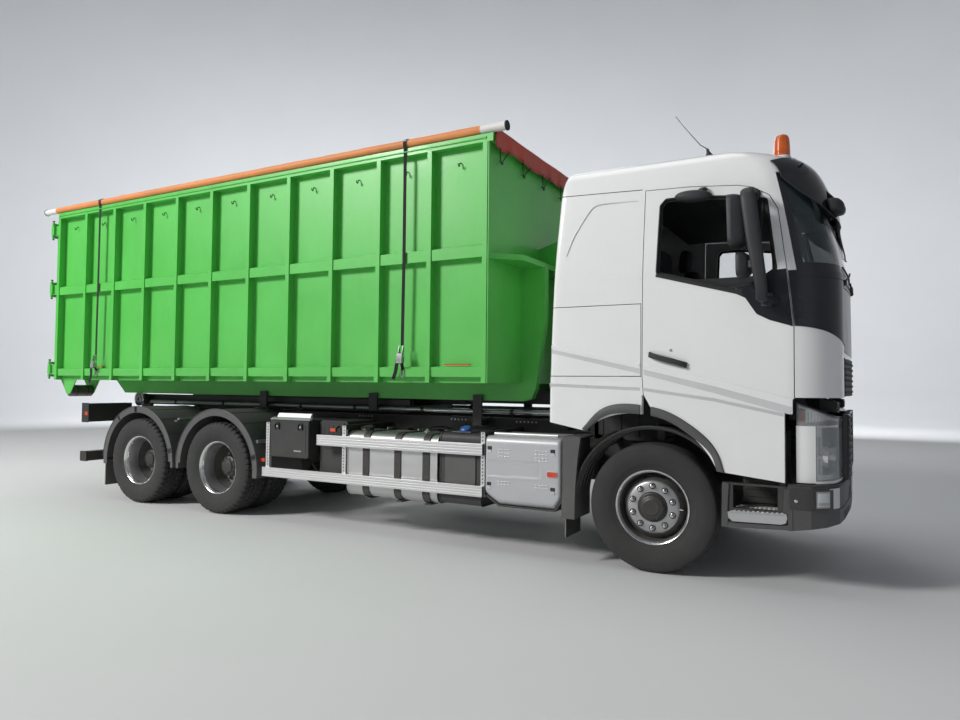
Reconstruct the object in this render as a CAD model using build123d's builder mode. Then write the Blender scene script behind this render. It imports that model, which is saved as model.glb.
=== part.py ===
from build123d import *
import os

# Hook-lift waste truck: three-axle chassis with a sleeper cab, a hook arm and
# a 6.6 m ribbed open-top waste container under a roll tarpaulin.
# Millimetres. +X is forward, +Y is left, +Z is up. The origin is on the ground
# under the middle of the overall length.
os.makedirs("parts", exist_ok=True)

# ---------------------------------------------------------------- dimensions
FRONT_AXLE = 3487.5          # x of the front axle
DRIVE_AXLE = -4900.0         # behind the front axle
REAR_AXLE = -6270.0
TYRE_R = 512.0               # outer radius of the tyres
AXLE_Z = 512.0
BEAD_R = 286.0               # where the tyre sits on the rim
FLANGE_R = 297.0             # rim flange
RIM_HALF = 114.0             # half the rim width between flanges
FRONT_Y = 1030.0             # centre plane of a front wheel
TWIN_OUT_Y = 1085.0          # centre planes of the twin wheels
TWIN_IN_Y = 735.0
KINGPIN_Y = 900.0

RAIL_OUT = 425.0             # frame rail: outer face, flange width, height
RAIL_FLANGE = 90.0
RAIL_Z0, RAIL_Z1 = 745.0, 1040.0
SUB_Z1 = 1140.0              # top of the lift subframe

CAB_W = 1245.0               # half width of the cab
CAB_WALL = 60.0
CAB_Z0 = 1400.0              # underside of the cab floor
CAB_FLOOR = 1480.0           # top of the cab floor
TILT_X, TILT_Z = 1150.0, 950.0   # cab tilt axis

SKID_Z = 1315.0              # underside of the container's rails
FLOOR_Z = 1485.0             # underside of its floor frame
SKID_Y0, SKID_Y1 = 490.0, 570.0
BOX_TOP = 3727.0
POST_FACE = 1250.0
WALL_FACE = 1170.0
POST_W = 48.0
POST_PITCH = 594.0
FIRST_POST = -1481.0
POSTS = 12
FRONT_WALL = -1440.0         # front face of the front wall
BAIL_X, BAIL_Z = -1215.0, 2885.0

TIP_X, TIP_Z = -7200.0, 1090.0       # tipping shaft
ARM_X, ARM_Z = -5750.0, 1270.0       # lift arm shaft
ROLLER_X, ROLLER_Z = -7170.0, 1235.0 # rear container rollers
BASE_X, BASE_Z = -3000.0, 1205.0     # lift cylinder base pins
EYE_X, EYE_Z = -4900.0, 1160.0       # lift cylinder rod eyes
RAM_X, RAM_Z = -3900.0, 900.0        # tipping cylinder base pin
RAM_EYE_X, RAM_EYE_Z = -5600.0, 1180.0
DOOR_PIN_X, DOOR_PIN_Y = -8130.0, 1262.0
DOOR_HINGE_X, DOOR_HINGE_Y = 1045.0, 1240.0


def sx(s):
    """x of a place given by its distance ahead of the front axle."""
    return FRONT_AXLE + s


def box(x0, x1, y0, y1, z0, z1, mode=Mode.ADD):
    """Block between two corners; x is measured from the front axle."""
    with Locations((sx((x0 + x1) / 2), (y0 + y1) / 2, (z0 + z1) / 2)):
        Box(abs(x1 - x0), abs(y1 - y0), abs(z1 - z0), mode=mode)


def rod(x, y, z, r, length, axis="Y", mode=Mode.ADD):
    """Round bar centred on a point; x is measured from the front axle."""
    turn = {"X": (0, 90, 0), "Y": (90, 0, 0), "Z": (0, 0, 0)}[axis]
    with Locations((sx(x), y, z)):
        Cylinder(r, length, rotation=turn, mode=mode)


def side_plate(outline, y0, y1, mode=Mode.ADD, grow=0.0, round_r=0.0):
    """Outline of (x from the front axle, z) corners, between two y planes.

    A corner of four numbers is the end of an arc and a point on the arc.
    """
    with BuildSketch(Plane.XZ.offset(-max(y0, y1))) as sk:
        with BuildLine():
            for start, end in zip(outline[-1:] + outline[:-1], outline):
                a = (sx(start[0]), start[1])
                b = (sx(end[0]), end[1])
                if len(end) == 4:
                    ThreePointArc(a, (sx(end[2]), end[3]), b)
                else:
                    Line(a, b)
        make_face()
        if grow:
            offset(amount=grow, kind=Kind.INTERSECTION)
        if round_r:
            fillet(sk.vertices(), radius=round_r)
    extrude(sk.sketch, amount=abs(y1 - y0), mode=mode)


def level_plate(outline, z0, z1, mode=Mode.ADD):
    """Outline of (x from the front axle, y) corners, between two heights."""
    with BuildSketch(Plane.XY.offset(z0)) as sk:
        with BuildLine():
            Polyline(*[(sx(x), y) for x, y in outline], close=True)
        make_face()
    extrude(sk.sketch, amount=z1 - z0, mode=mode)


def long_bar(outline, x0, x1, mode=Mode.ADD):
    """Outline of (y, z) corners, extruded along the truck."""
    with BuildSketch(Plane.YZ.offset(sx(x0))) as sk:
        with BuildLine():
            Polyline(*outline, close=True)
        make_face()
    extrude(sk.sketch, amount=x1 - x0, mode=mode)


def mirrored(outline, side):
    """Corners of a (y, z) outline on the given side of the truck."""
    return [(side * y, z) for y, z in outline]


def between(side, y0, y1):
    """Two y planes given for the left side, moved to the given side."""
    return (y0, y1) if side > 0 else (-y1, -y0)


def finish_piece(builder, name):
    builder.part.label = name
    export_step(builder.part, "parts/" + name + ".step")


# ------------------------------------------------------------------- chassis
with BuildPart() as chassis_frame:
    for side in (-1, 1):
        long_bar(mirrored([(RAIL_OUT, RAIL_Z0), (RAIL_OUT, RAIL_Z1),
                           (RAIL_OUT - RAIL_FLANGE, RAIL_Z1),
                           (RAIL_OUT - RAIL_FLANGE, RAIL_Z1 - 9),
                           (RAIL_OUT - 9, RAIL_Z1 - 9), (RAIL_OUT - 9, RAIL_Z0 + 9),
                           (RAIL_OUT - RAIL_FLANGE, RAIL_Z0 + 9),
                           (RAIL_OUT - RAIL_FLANGE, RAIL_Z0)], side), -7350, 1000)
        # cab tilt ears at the front ends of the rails
        side_plate([(900, 760), (1200, 760), (1200, 960), (1150, 1000), (1100, 960),
                    (900, 900)], *between(side, 395, 415))
        side_plate([(900, 760), (1200, 760), (1200, 960), (1150, 1000), (1100, 960),
                    (900, 900)], *between(side, 458, 478))
        box(900, 1000, *between(side, 395, 478), 745, 775)
        rod(TILT_X, side * 436, TILT_Z, 20, 84)
    # crossmembers: rear face, front face, bottom, top
    for x0, x1, z0, z1 in ((-7345, -7285, 760, 1030), (-6480, -6380, 800, 1000),
                           (-5640, -5540, 745, 815), (-3700, -3620, 800, 1020),
                           (-2100, -2020, 790, 1000), (-1150, -1070, 790, 1000),
                           (880, 960, 770, 900)):
        box(x0, x1, -416, 416, z0, z1)
    # ears of the tipping cylinder's base
    for y0, y1 in ((-75, -50), (50, 75)):
        side_plate([(-3700, 830), (-3700, 990), (-3890, 936), (-3932, 900),
                    (-3890, 864)], y0, y1)
    rod(RAM_X, 0, RAM_Z, 24, 150)
    # rear cab mount, a low portal over the rails
    for side in (-1, 1):
        box(-720, -640, *between(side, 425, 470), 900, 1350)
    box(-720, -640, -470, 470, 1350, 1392)
    # outriggers that carry the side equipment: side, x, bottom, top, reach
    for side, x, z0, z1, reach in ((-1, -3980, 900, 960, 620), (-1, -3640, 900, 960, 620),
                                   (-1, -2900, 700, 980, 600), (-1, -2150, 700, 980, 600),
                                   (-1, -1750, 760, 960, 620), (-1, -1300, 760, 960, 620),
                                   (-1, -900, 760, 960, 620), (1, -1300, 760, 960, 620),
                                   (1, -900, 760, 960, 620), (1, -2750, 960, 1020, 840),
                                   (1, -2050, 960, 1020, 840), (-1, -5585, 1000, 1030, 560),
                                   (1, -5585, 1000, 1030, 560)):
        box(x - 25, x + 25, *between(side, RAIL_OUT, reach), z0, z1)
    # four bolt holes for a drawbar coupling in the rear crossmember
    for y in (-80, 80):
        for z in (845, 945):
            rod(-7315, y, z, 10.5, 80, axis="X", mode=Mode.SUBTRACT)
finish_piece(chassis_frame, "chassis_frame")

with BuildPart() as lift_subframe:
    for side in (-1, 1):
        box(-7110, -1000, *between(side, 345, RAIL_OUT), RAIL_Z1, SUB_Z1)
        # low end plate and the bearing block of the tipping shaft
        box(-7345, -7100, *between(side, 345, RAIL_OUT), RAIL_Z1, 1056)
        side_plate([(-7250, 1050), (-7150, 1050), (-7155, 1098), (-7178, 1128),
                    (-7222, 1128), (-7245, 1098)], *between(side, 345, RAIL_OUT))
        # front lock guide beside the container rail
        box(-1930, -1870, *between(side, RAIL_OUT, 603), 1065, 1115)
        box(-1950, -1850, *between(side, 583, 603), 1065, 1370)
    for x0, x1 in ((-6480, -6400), (-3390, -3320), (-1300, -1220)):
        box(x0, x1, -345, 345, 1050, 1092)
    rod(TIP_X, 0, TIP_Z, 28, 960)
finish_piece(lift_subframe, "lift_subframe")

with BuildPart() as front_bumper:
    # shell of the bumper: plan corners of the outer and the inner face
    outer = [(1000, 1235), (1150, 1215), (1250, 1150), (1325, 1010), (1352, 800),
             (1378, 300), (1380, 0)]
    inner = [(1330, 0), (1328, 300), (1302, 780), (1280, 960), (1215, 1090),
             (1130, 1150), (1000, 1165)]
    level_plate(outer + [(x, -y) for x, y in reversed(outer[:-1])] +
                [(x, -y) for x, y in reversed(inner)] + inner[1:], 450, 780)
    # underside slopes up towards the front
    side_plate([(990, 440), (1390, 440), (1390, 505), (1010, 448)], -1260, 1260,
               mode=Mode.SUBTRACT)
    # grille between the lamps, with a gap in front of each cab arm
    for y0, y1 in ((-720, -495), (-350, 350), (495, 720)):
        level_plate([(1338, y0), (1338, y1), (1372, y1), (1372, y0)], 780, 1270)
    # beams that carry it on the frame
    for side in (-1, 1):
        box(1190, 1345, *between(side, 500, 560), 560, 740)
        box(1000, 1200, *between(side, 478, 560), 640, 745)
    box(1180, 1240, -560, 560, 560, 740)
    # towing eye socket, reached through a hole in the bumper's face
    rod(1270, -250, 650, 34, 60, axis="X")
    rod(1265, -250, 650, 20, 70, axis="X", mode=Mode.SUBTRACT)
    rod(1350, -250, 650, 45, 90, axis="X", mode=Mode.SUBTRACT)
finish_piece(front_bumper, "front_bumper")

with BuildPart() as headlights:
    for side in (-1, 1):
        pts = [(1058, 1196), (1150, 1184), (1240, 1128), (1305, 1000), (1333, 800),
               (1336, 724), (1286, 724), (1262, 960), (1190, 1080), (1058, 1130)]
        level_plate([(x, side * y) for x, y in pts], 786, 1380)
    side_plate([(1040, 1376), (1040, 1420), (1400, 1420), (1400, 1262)], -1260, 1260,
               mode=Mode.SUBTRACT)
finish_piece(headlights, "headlights")

with BuildPart() as step_boxes:
    for side in (-1, 1):
        # outer skin with the lowest tread, then the well behind the door
        box(552, 1000, *between(side, 1150, 1200), 445, 760)
        box(640, 985, *between(side, 800, 1150), 445, 560)
        box(640, 985, *between(side, 800, 840), 560, 1150)
        box(660, 960, *between(side, 840, 1130), 800, 860)
        box(940, 985, *between(side, 840, 1190), 560, 1150)
        box(800, 860, *between(side, RAIL_OUT, 800), 760, 820)
    for side in (-1, 1):
        # foot opening above the lowest tread
        box(620, 930, *between(side, 1130, 1210), 575, 745, mode=Mode.SUBTRACT)
finish_piece(step_boxes, "step_boxes")


def arch(x, z, r_in, r_out, y0, y1, a0, a1):
    """Bent strip round a wheel from angle a0 to a1, degrees from forward."""
    with BuildSketch(Plane.XZ.offset(-max(y0, y1))) as sk:
        with BuildLine():
            outer_arc = CenterArc((sx(x), z), r_out, a0, a1 - a0)
            inner_arc = CenterArc((sx(x), z), r_in, a0, a1 - a0)
            Line(outer_arc @ 0, inner_arc @ 0)
            Line(outer_arc @ 1, inner_arc @ 1)
        make_face()
    extrude(sk.sketch, amount=abs(y1 - y0))


with BuildPart() as front_mudguards:
    for side in (-1, 1):
        arch(0, AXLE_Z, 625, 645, *between(side, 860, 1190), 32, 176)
        box(-732, -622, *between(side, 860, 1225), 365, 1045)
        box(-722, -640, *between(side, 426, 860), 800, 850)
        box(-30, 30, *between(side, 426, 860), 1000, 1035)
        box(-30, 30, *between(side, 840, 860), 1000, 1157)
finish_piece(front_mudguards, "front_mudguards")

with BuildPart() as engine:
    box(-550, 800, -325, 325, 640, 1360)
    box(-1000, -550, -230, 230, 600, 1000)
    for side in (-1, 1):
        box(-300, -200, *between(side, 325, 416), 800, 900)
finish_piece(engine, "engine")

with BuildPart() as axles:
    # dropped front beam with its kingpin eyes
    side_plate([(-55, 380), (55, 380), (55, 490), (-55, 490)], -800, 800)
    for side in (-1, 1):
        rod(0, side * KINGPIN_Y, 512, 55, 120, axis="Z")
        box(-50, 50, *between(side, 780, 895), 455, 570)
        box(-60, 60, *between(side, 395, 475), 490, 610)
        rod(0, side * KINGPIN_Y, 512, 23, 140, axis="Z", mode=Mode.SUBTRACT)
    # rear housings with their drums
    for x in (DRIVE_AXLE, REAR_AXLE):
        box(x - 75, x + 75, -700, 700, 430, 594)
        rod(x, 0, AXLE_Z, 190, 260, axis="X")
        for side in (-1, 1):
            rod(x, side * 740, AXLE_Z, 205, 120)
            rod(x, side * 900, AXLE_Z, 45, 220)
finish_piece(axles, "axles")

with BuildPart() as propshafts:
    rod(-2860, 0, 640, 55, 3700, axis="X")
    rod(-1050, 0, 640, 85, 90, axis="X")
    rod(-4725, 0, 640, 85, 70, axis="X")
    rod(-5585, 0, 560, 55, 1090, axis="X")
finish_piece(propshafts, "propshafts")

with BuildPart() as springs:
    for side in (-1, 1):
        # front leaves under the rails
        box(-720, 720, *between(side, 395, 475), 612, 652)
        box(-300, 300, *between(side, 395, 475), 652, 690)
        for x in (-700, 700):
            box(x - 20, x + 20, *between(side, 395, 475), 652, 745)
        # rear bogie leaves outside the rails, on their saddle
        side_plate([(-6450, 606), (-6090, 606), (-5585, 700), (-5080, 606), (-4720, 606),
                    (-4720, 646), (-5080, 646), (-5400, 760), (-5770, 760), (-6090, 646),
                    (-6450, 646)], *between(side, 465, 540))
        box(-5660, -5510, *between(side, 427, 465), 700, 900)
        for x in (DRIVE_AXLE, REAR_AXLE):
            box(x - 60, x + 60, *between(side, 465, 540), 594, 606)
finish_piece(springs, "springs")

with BuildPart() as side_tanks:
    # fuel tank and the smaller additive tank in front of it
    for x0, x1, y0, y1, z0, z1, r in ((-3055, -1990, -1190, -600, 355, 1000, 95),
                                      (-1965, -1530, -1185, -620, 370, 1035, 60)):
        with BuildSketch(Plane.YZ.offset(sx(x0))) as section:
            with Locations(((y0 + y1) / 2, (z0 + z1) / 2)):
                RectangleRounded(y1 - y0, z1 - z0, r)
        extrude(amount=x1 - x0)
finish_piece(side_tanks, "side_tanks")

with BuildPart() as silencer_box:
    side_plate([(-1476, 500), (-1333, 420), (-815, 420), (-750, 500), (-750, 1030),
                (-1476, 1030)], -1220, -620)
finish_piece(silencer_box, "silencer_box")

with BuildPart() as toolbox:
    box(-4100, -3555, -1175, -620, 690, 1075)
    box(-4088, -3567, -1180, -632, 702, 1063, mode=Mode.SUBTRACT)
finish_piece(toolbox, "toolbox")

with BuildPart() as toolbox_lid:
    box(-4100, -3555, -1200, -1182, 693, 1075)
finish_piece(toolbox_lid, "toolbox_lid")

with BuildPart() as battery_box:
    box(-1476, -750, 620, 1200, 450, 1030)
finish_piece(battery_box, "battery_box")

with BuildPart() as air_tanks:
    for y, z in ((860, 780), (860, 520), (1052, 650)):
        rod(-2400, y, z, 118, 1250, axis="X")
    for x in (-2750, -2050):
        box(x - 20, x + 20, 840, 1070, 630, 670)
        box(x - 20, x + 20, 840, 880, 890, 1020)
finish_piece(air_tanks, "air_tanks")

with BuildPart() as rear_mudguards:
    for side in (-1, 1):
        for x in (DRIVE_AXLE, REAR_AXLE):
            arch(x, AXLE_Z, 617, 655, *between(side, 560, 1245), -4, 184)
        # mud flap, and the bridge between the two arches
        box(-6905, -6889, *between(side, 600, 1230), 170, 500)
        box(-5835, -5335, *between(side, 575, 625), 985, 1005)
        box(-5610, -5560, *between(side, 560, 1235), 1005, 1025)
finish_piece(rear_mudguards, "rear_mudguards")

with BuildPart() as side_guards:
    for side in (-1, 1):
        box(-4180, -1493, *between(side, 1205, 1235), 474, 570)
        box(-3420, -1493, *between(side, 1205, 1235), 840, 945)
        for x0, x1 in ((-4157, -4108), (-3111, -3063), (-1522, -1482)):
            box(x0, x1, *between(side, 1175, 1205), 474, 1050)
            box(x0, x1, *between(side, RAIL_OUT, 1205), 1050, 1085)
            box(x0, x1, *between(side, RAIL_OUT, 460), 1000, 1050)
finish_piece(side_guards, "side_guards")

with BuildPart() as tail_beam:
    for side in (-1, 1):
        box(-7410, -7285, *between(side, 622, 1235), 945, 1180)
        box(-7410, -7350, *between(side, 380, 440), 560, 940)
    box(-7410, -7350, -1235, 1235, 945, 985)
    box(-7410, -7350, -620, 620, 780, 945)
    box(-7450, -7330, -1210, 1210, 440, 560)
    # opening for a drawbar coupling
    box(-7420, -7340, -110, 110, 815, 975, mode=Mode.SUBTRACT)
finish_piece(tail_beam, "tail_beam")

with BuildPart() as tail_lights:
    for side in (-1, 1):
        box(-7440, -7410, *between(side, 860, 1220), 1000, 1120)
finish_piece(tail_lights, "tail_lights")

# ------------------------------------------------------ steering and wheels
tyre_section = ((BEAD_R, 114), (FLANGE_R, 114), (FLANGE_R + 20, 127), (345, 146),
                (410, 156), (462, 150), (500, 135), (TYRE_R, 112))


def tyre_at(x, y):
    """Tyre round an axle centre, revolved from its half section."""
    with BuildSketch(Plane.YZ.offset(sx(x))) as sk:
        with BuildLine():
            Polyline(*[(y + w, AXLE_Z + r) for r, w in tyre_section],
                     *[(y - w, AXLE_Z + r) for r, w in reversed(tyre_section)], close=True)
        make_face()
    revolve(sk.sketch, axis=Axis((sx(x), y, AXLE_Z), (0, 1, 0)))


def turned(x, side, outline):
    """Solid of revolution on an axle; corners are (distance out in y, radius)."""
    with BuildSketch(Plane.YZ.offset(sx(x))) as sk:
        with BuildLine():
            Polyline(*[(side * y, AXLE_Z + r) for y, r in outline], close=True)
        make_face()
    revolve(sk.sketch, axis=Axis((sx(x), 0, AXLE_Z), (0, 1, 0)))


def rim_barrel(y):
    """Half section of a rim barrel centred on plane y."""
    return [(y - RIM_HALF - 12, FLANGE_R), (y - RIM_HALF, FLANGE_R), (y - RIM_HALF, BEAD_R),
            (y + RIM_HALF, BEAD_R), (y + RIM_HALF, FLANGE_R), (y + RIM_HALF + 12, FLANGE_R),
            (y + RIM_HALF + 12, 272), (y + 60, 262), (y - 60, 262), (y - RIM_HALF - 12, 272)]


for name, side in (("right", -1), ("left", 1)):
    with BuildPart() as knuckle:
        rod(0, side * KINGPIN_Y, 512, 22, 240, axis="Z")
        for z0, z1 in ((372, 446), (578, 626)):
            box(-55, 55, *between(side, 850, 990), z0, z1)
        box(-70, 70, *between(side, 962, 990), 398, 626)
        rod(0, side * 1060, AXLE_Z, 38, 160)
        # steering lever
        box(-260, 50, *between(side, 855, 885), 340, 372)
    finish_piece(knuckle, name + "_knuckle")

    with BuildPart() as rim:
        turned(0, side, rim_barrel(FRONT_Y))
        # disc, hub and cap, open at the back for the stub axle
        turned(0, side, [(1010, 262), (1035, 262), (1118, 205), (1128, 180), (1128, 118),
                         (1160, 110), (1172, 80), (1172, 0), (1145, 0), (1145, 39),
                         (1004, 39), (1004, 125), (1104, 125), (1104, 175), (1090, 195),
                         (1010, 250)])
    finish_piece(rim, "front_" + name + "_rim")

    with BuildPart() as tyre:
        tyre_at(0, side * FRONT_Y)
    finish_piece(tyre, "front_" + name + "_tyre")

    for axle_name, x in (("drive", DRIVE_AXLE), ("rear", REAR_AXLE)):
        with BuildPart() as rim:
            turned(x, side, rim_barrel(TWIN_OUT_Y))
            turned(x, side, rim_barrel(TWIN_IN_Y))
            # two discs bolted face to face and the hub that passes through them
            turned(x, side, [(1060, 262), (1030, 262), (905, 225), (895, 200), (895, 130),
                             (880, 130), (880, 46), (1018, 46), (1018, 0), (1075, 0),
                             (1085, 90), (1070, 128), (925, 140), (925, 195), (940, 212),
                             (1060, 245)])
            turned(x, side, [(790, 262), (820, 262), (885, 225), (895, 200), (895, 140),
                             (880, 140), (880, 195), (865, 215), (790, 246)])
        finish_piece(rim, axle_name + "_" + name + "_rims")

        with BuildPart() as tyre:
            tyre_at(x, side * TWIN_OUT_Y)
            tyre_at(x, side * TWIN_IN_Y)
        finish_piece(tyre, axle_name + "_" + name + "_tyres")

# ----------------------------------------------------------------------- cab
# Level sections of the cab: height, rear x, front x in the middle, front x at
# 780 out, where the side starts to turn in, half width.
cab_sections = ((1400, -852, 1385, 1335, 1015, 1245),
                (2250, -823, 1380, 1330, 1000, 1245),
                (3020, -772, 1185, 1135, 860, 1212),
                (3200, -748, 1070, 1020, 780, 1170),
                (3320, -690, 720, 670, 430, 1040))


def cab_loft(inset, mode=Mode.ADD, bottom=None):
    """Cab body drawn in by inset all round, through its level sections."""
    for lower, upper in zip(cab_sections[:-1], cab_sections[1:]):
        faces = []
        for z, rear, front, quarter, turn, half in (lower, upper):
            if bottom is not None and z == 1400:
                z = bottom
            if inset > 20 and z > 3250:
                z = z - inset
            w = half - inset
            with BuildSketch(Plane.XY.offset(z), mode=Mode.PRIVATE) as level:
                with BuildLine():
                    Polyline((sx(turn), w), (sx(rear + inset), w), (sx(rear + inset), -w),
                             (sx(turn), -w))
                    corner_x = (turn + quarter) / 2 + 0.30 * (quarter - turn)
                    corner_y = 780 + (w - 780) * 0.72
                    ThreePointArc((sx(turn), w), (sx(corner_x - inset), corner_y),
                                  (sx(quarter - inset), 760))
                    ThreePointArc((sx(turn), -w), (sx(corner_x - inset), -corner_y),
                                  (sx(quarter - inset), -760))
                    ThreePointArc((sx(quarter - inset), 760), (sx(front - inset), 0),
                                  (sx(quarter - inset), -760))
                make_face()
            faces.append(level.sketch.face())
        loft(faces, ruled=True, mode=mode)


door_outline = [(773, 2955), (885, 2882), (942, 2775), (1005, 2298), (1045, 1916),
                (1045, 1405), (-40, 1405), (-50, 1546), (-47, 2331), (-31, 3030),
                (314, 3018), (667, 2984)]
window_outline = [(62, 2355), (86, 2942), (330, 2942), (630, 2905),
                  (868, 2858), (932, 2330), (780, 2230), (600, 2205)]
locker_outline = [(-832, 1552), (-66, 1552), (-66, 2122), (-822, 2122)]
HATCH_Y, HATCH_Z0, HATCH_Z1 = 860.0, 1406.0, 2244.0

with BuildPart() as cab_outer:
    cab_loft(0)

with BuildPart() as cab_shell:
    cab_loft(0)
    cab_loft(CAB_WALL, mode=Mode.SUBTRACT, bottom=CAB_FLOOR)
    # firewall behind the front hatch
    box(1130, 1180, -1150, 1150, CAB_FLOOR - 10, 2290)
    for side in (-1, 1):
        # door and locker openings, 6 mm wider than the pieces in them
        side_plate(door_outline, *between(side, 1140, 1300), mode=Mode.SUBTRACT, grow=6)
        side_plate(locker_outline, *between(side, 1140, 1300), mode=Mode.SUBTRACT, grow=6)
        # lower rear side panel with its half of the wheel arch
        side_plate([(-852, 1165), (-540, 1105), (-56, 1250, -300, 1232), (-56, 1405),
                    (-852, 1405)], *between(side, 1205, 1245))
        box(-852, -62, *between(side, 1205, 1245), 1400, 1470)
        # arm down to the tilt axis
        side_plate([(1060, 1410), (1122, 950), (1128, 920), (1172, 920), (1178, 950),
                    (1178, 1410)], *between(side, 421, 451))
        rod(TILT_X, side * 436, TILT_Z, 22, 60, mode=Mode.SUBTRACT)
    # front hatch opening
    box(1195, 1460, -HATCH_Y - 6, HATCH_Y + 6, 1380, HATCH_Z1 + 6, mode=Mode.SUBTRACT)
    # windscreen opening
    side_plate([(1000, 2990), (1500, 2990), (1500, 2375), (1180, 2375)], -1040, 1040,
               mode=Mode.SUBTRACT)
finish_piece(cab_shell, "cab_shell")

with BuildPart() as windscreen:
    cab_loft(6)
    cab_loft(16, mode=Mode.SUBTRACT)
    side_plate([(1000, 2990), (1500, 2990), (1500, 2375), (1180, 2375)], -1040, 1040,
               mode=Mode.INTERSECT)
finish_piece(windscreen, "windscreen")

with BuildPart() as front_hatch:
    cab_loft(0)
    cab_loft(CAB_WALL, mode=Mode.SUBTRACT, bottom=1390)
    box(1195, 1460, -HATCH_Y, HATCH_Y, HATCH_Z0, HATCH_Z1, mode=Mode.INTERSECT)
finish_piece(front_hatch, "front_hatch")

with BuildPart() as sun_visor:
    cab_loft(-100)
    cab_loft(-86, mode=Mode.SUBTRACT)
    side_plate([(700, 3208), (1500, 3208), (1500, 2915), (1000, 2915)], -1130, 1130,
               mode=Mode.INTERSECT)
    for y in (-700, 0, 700):
        side_plate([(1035, 3080), (1250, 3080), (1230, 3110), (1040, 3110)],
                   y - 15, y + 15)
    add(cab_outer.part, mode=Mode.SUBTRACT)
finish_piece(sun_visor, "sun_visor")

with BuildPart() as roof_beacon:
    rod(940, -880, 3225, 66, 90, axis="Z")
    rod(940, -880, 3350, 58, 160, axis="Z")
    add(cab_outer.part, mode=Mode.SUBTRACT)
finish_piece(roof_beacon, "roof_beacon")

with BuildPart() as dashboard:
    side_plate([(1130, 1900), (1130, 2290), (900, 2290), (760, 2180), (760, 2080),
                (960, 1900)], -1120, 1120)
    # steering column and wheel on the left
    with BuildSketch(Plane(origin=(sx(770), 620, 2150), z_dir=(-0.62, 0, 0.785))) as column:
        Circle(35)
    extrude(amount=160)
    with BuildSketch(Plane(origin=(sx(770 - 99), 620, 2150 + 125.6),
                           z_dir=(-0.62, 0, 0.785))) as wheel:
        Circle(225)
        Circle(198, mode=Mode.SUBTRACT)
        Rectangle(400, 34)
        Rectangle(34, 400)
    extrude(amount=24)
finish_piece(dashboard, "dashboard")

with BuildPart() as seats:
    for side in (-1, 1):
        y = side * 640
        box(-60, 380, y - 190, y + 190, CAB_FLOOR, 1800)
        box(-120, 480, y - 260, y + 260, 1800, 1960)
        side_plate([(-120, 1960), (40, 1960), (-60, 2640), (-180, 2640)], y - 250, y + 250)
        side_plate([(-75, 2620), (-165, 2620), (-180, 2860), (-100, 2860)],
                   y - 140, y + 140)
    # bunk across the rear wall
    box(-750, -260, -1100, 1100, 1900, 2090)
    box(-740, -280, -1100, 1100, CAB_FLOOR, 1900)
    box(-715, -305, -1110, 1110, CAB_FLOOR, 1880, mode=Mode.SUBTRACT)
finish_piece(seats, "seats")

lower_door = [(-40, 1440), (-40, 1405), (18, 1300), (18, 1241), (518, 842, 330, 1096),
              (569, 835), (982, 789), (982, 1330), (1045, 1395), (1045, 1440)]
for name, side in (("right", -1), ("left", 1)):
    with BuildPart() as door:
        add(cab_outer.part)
        side_plate(door_outline, *between(side, 1185, 1300), mode=Mode.INTERSECT)
        side_plate(window_outline, *between(side, 1100, 1300), mode=Mode.SUBTRACT,
                   round_r=22)
        side_plate(lower_door, *between(side, 1205, 1245))
    finish_piece(door, name + "_door")

    with BuildPart() as locker:
        add(cab_outer.part)
        side_plate(locker_outline, *between(side, 1185, 1300), mode=Mode.INTERSECT)
    finish_piece(locker, name + "_locker_lid")

    with BuildPart() as mirrors:
        # arched arm, its feet on the door, and the two heads
        side_plate([(850, 2040), (920, 2050), (830, 2800), (820, 2900), (720, 2880),
                    (735, 2760)], *between(side, 1380, 1440))
        side_plate([(850, 2040), (985, 2060), (985, 2150), (840, 2120)],
                   *between(side, 1200, 1400))
        side_plate([(730, 2860), (830, 2860), (830, 2905), (735, 2905)],
                   *between(side, 1190, 1440))
        box(630, 770, *between(side, 1440, 1550), 2470, 2860)
        box(680, 790, *between(side, 1440, 1540), 2240, 2450)
        rod(700, side * 1400, 2700, 18, 100)
        add(cab_outer.part, mode=Mode.SUBTRACT)
    finish_piece(mirrors, name + "_mirrors")

# ----------------------------------------------------------------- hook lift
with BuildPart() as tipping_frame:
    for side in (-1, 1):
        box(-7290, -2820, *between(side, 370, 450), 1165, 1300)
        # lug round the tipping shaft
        side_plate([(-7290, 1300), (-7290, 1120), (-7240, 1040), (-7160, 1040),
                    (-7080, 1165), (-7080, 1300)], *between(side, 435, 472))
        # roller stub
        rod(ROLLER_X, side * 540, ROLLER_Z, 22, 150)
        # two guide brackets beside the container rail
        for x in (-4840, -3200):
            box(x - 30, x + 30, *between(side, 450, 603), 1190, 1240)
            box(x - 55, x + 55, *between(side, 583, 603), 1185, 1370)
    box(-6350, -6200, -370, 370, 1170, 1295)
    box(-2900, -2820, -370, 370, 1165, 1235)
    rod(ARM_X, 0, ARM_Z, 30, 800)
    rod(BASE_X, 0, BASE_Z, 29, 760)
    for y0, y1 in ((-82, -54), (54, 82)):
        side_plate([(-6210, 1175), (-6210, 1290), (-5700, 1310), (-5560, 1230),
                    (-5555, 1150), (-5600, 1130), (-5660, 1140)], y0, y1)
    for side in (-1, 1):
        rod(TIP_X, side * 453, TIP_Z, 30, 60, mode=Mode.SUBTRACT)
finish_piece(tipping_frame, "tipping_frame")

with BuildPart() as rear_rollers:
    for side in (-1, 1):
        rod(ROLLER_X, side * 541, ROLLER_Z, 75, 86)
        rod(ROLLER_X, side * 593, ROLLER_Z, 93, 20)
        rod(ROLLER_X, side * 540, ROLLER_Z, 23, 160, mode=Mode.SUBTRACT)
finish_piece(rear_rollers, "rear_rollers")

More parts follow.
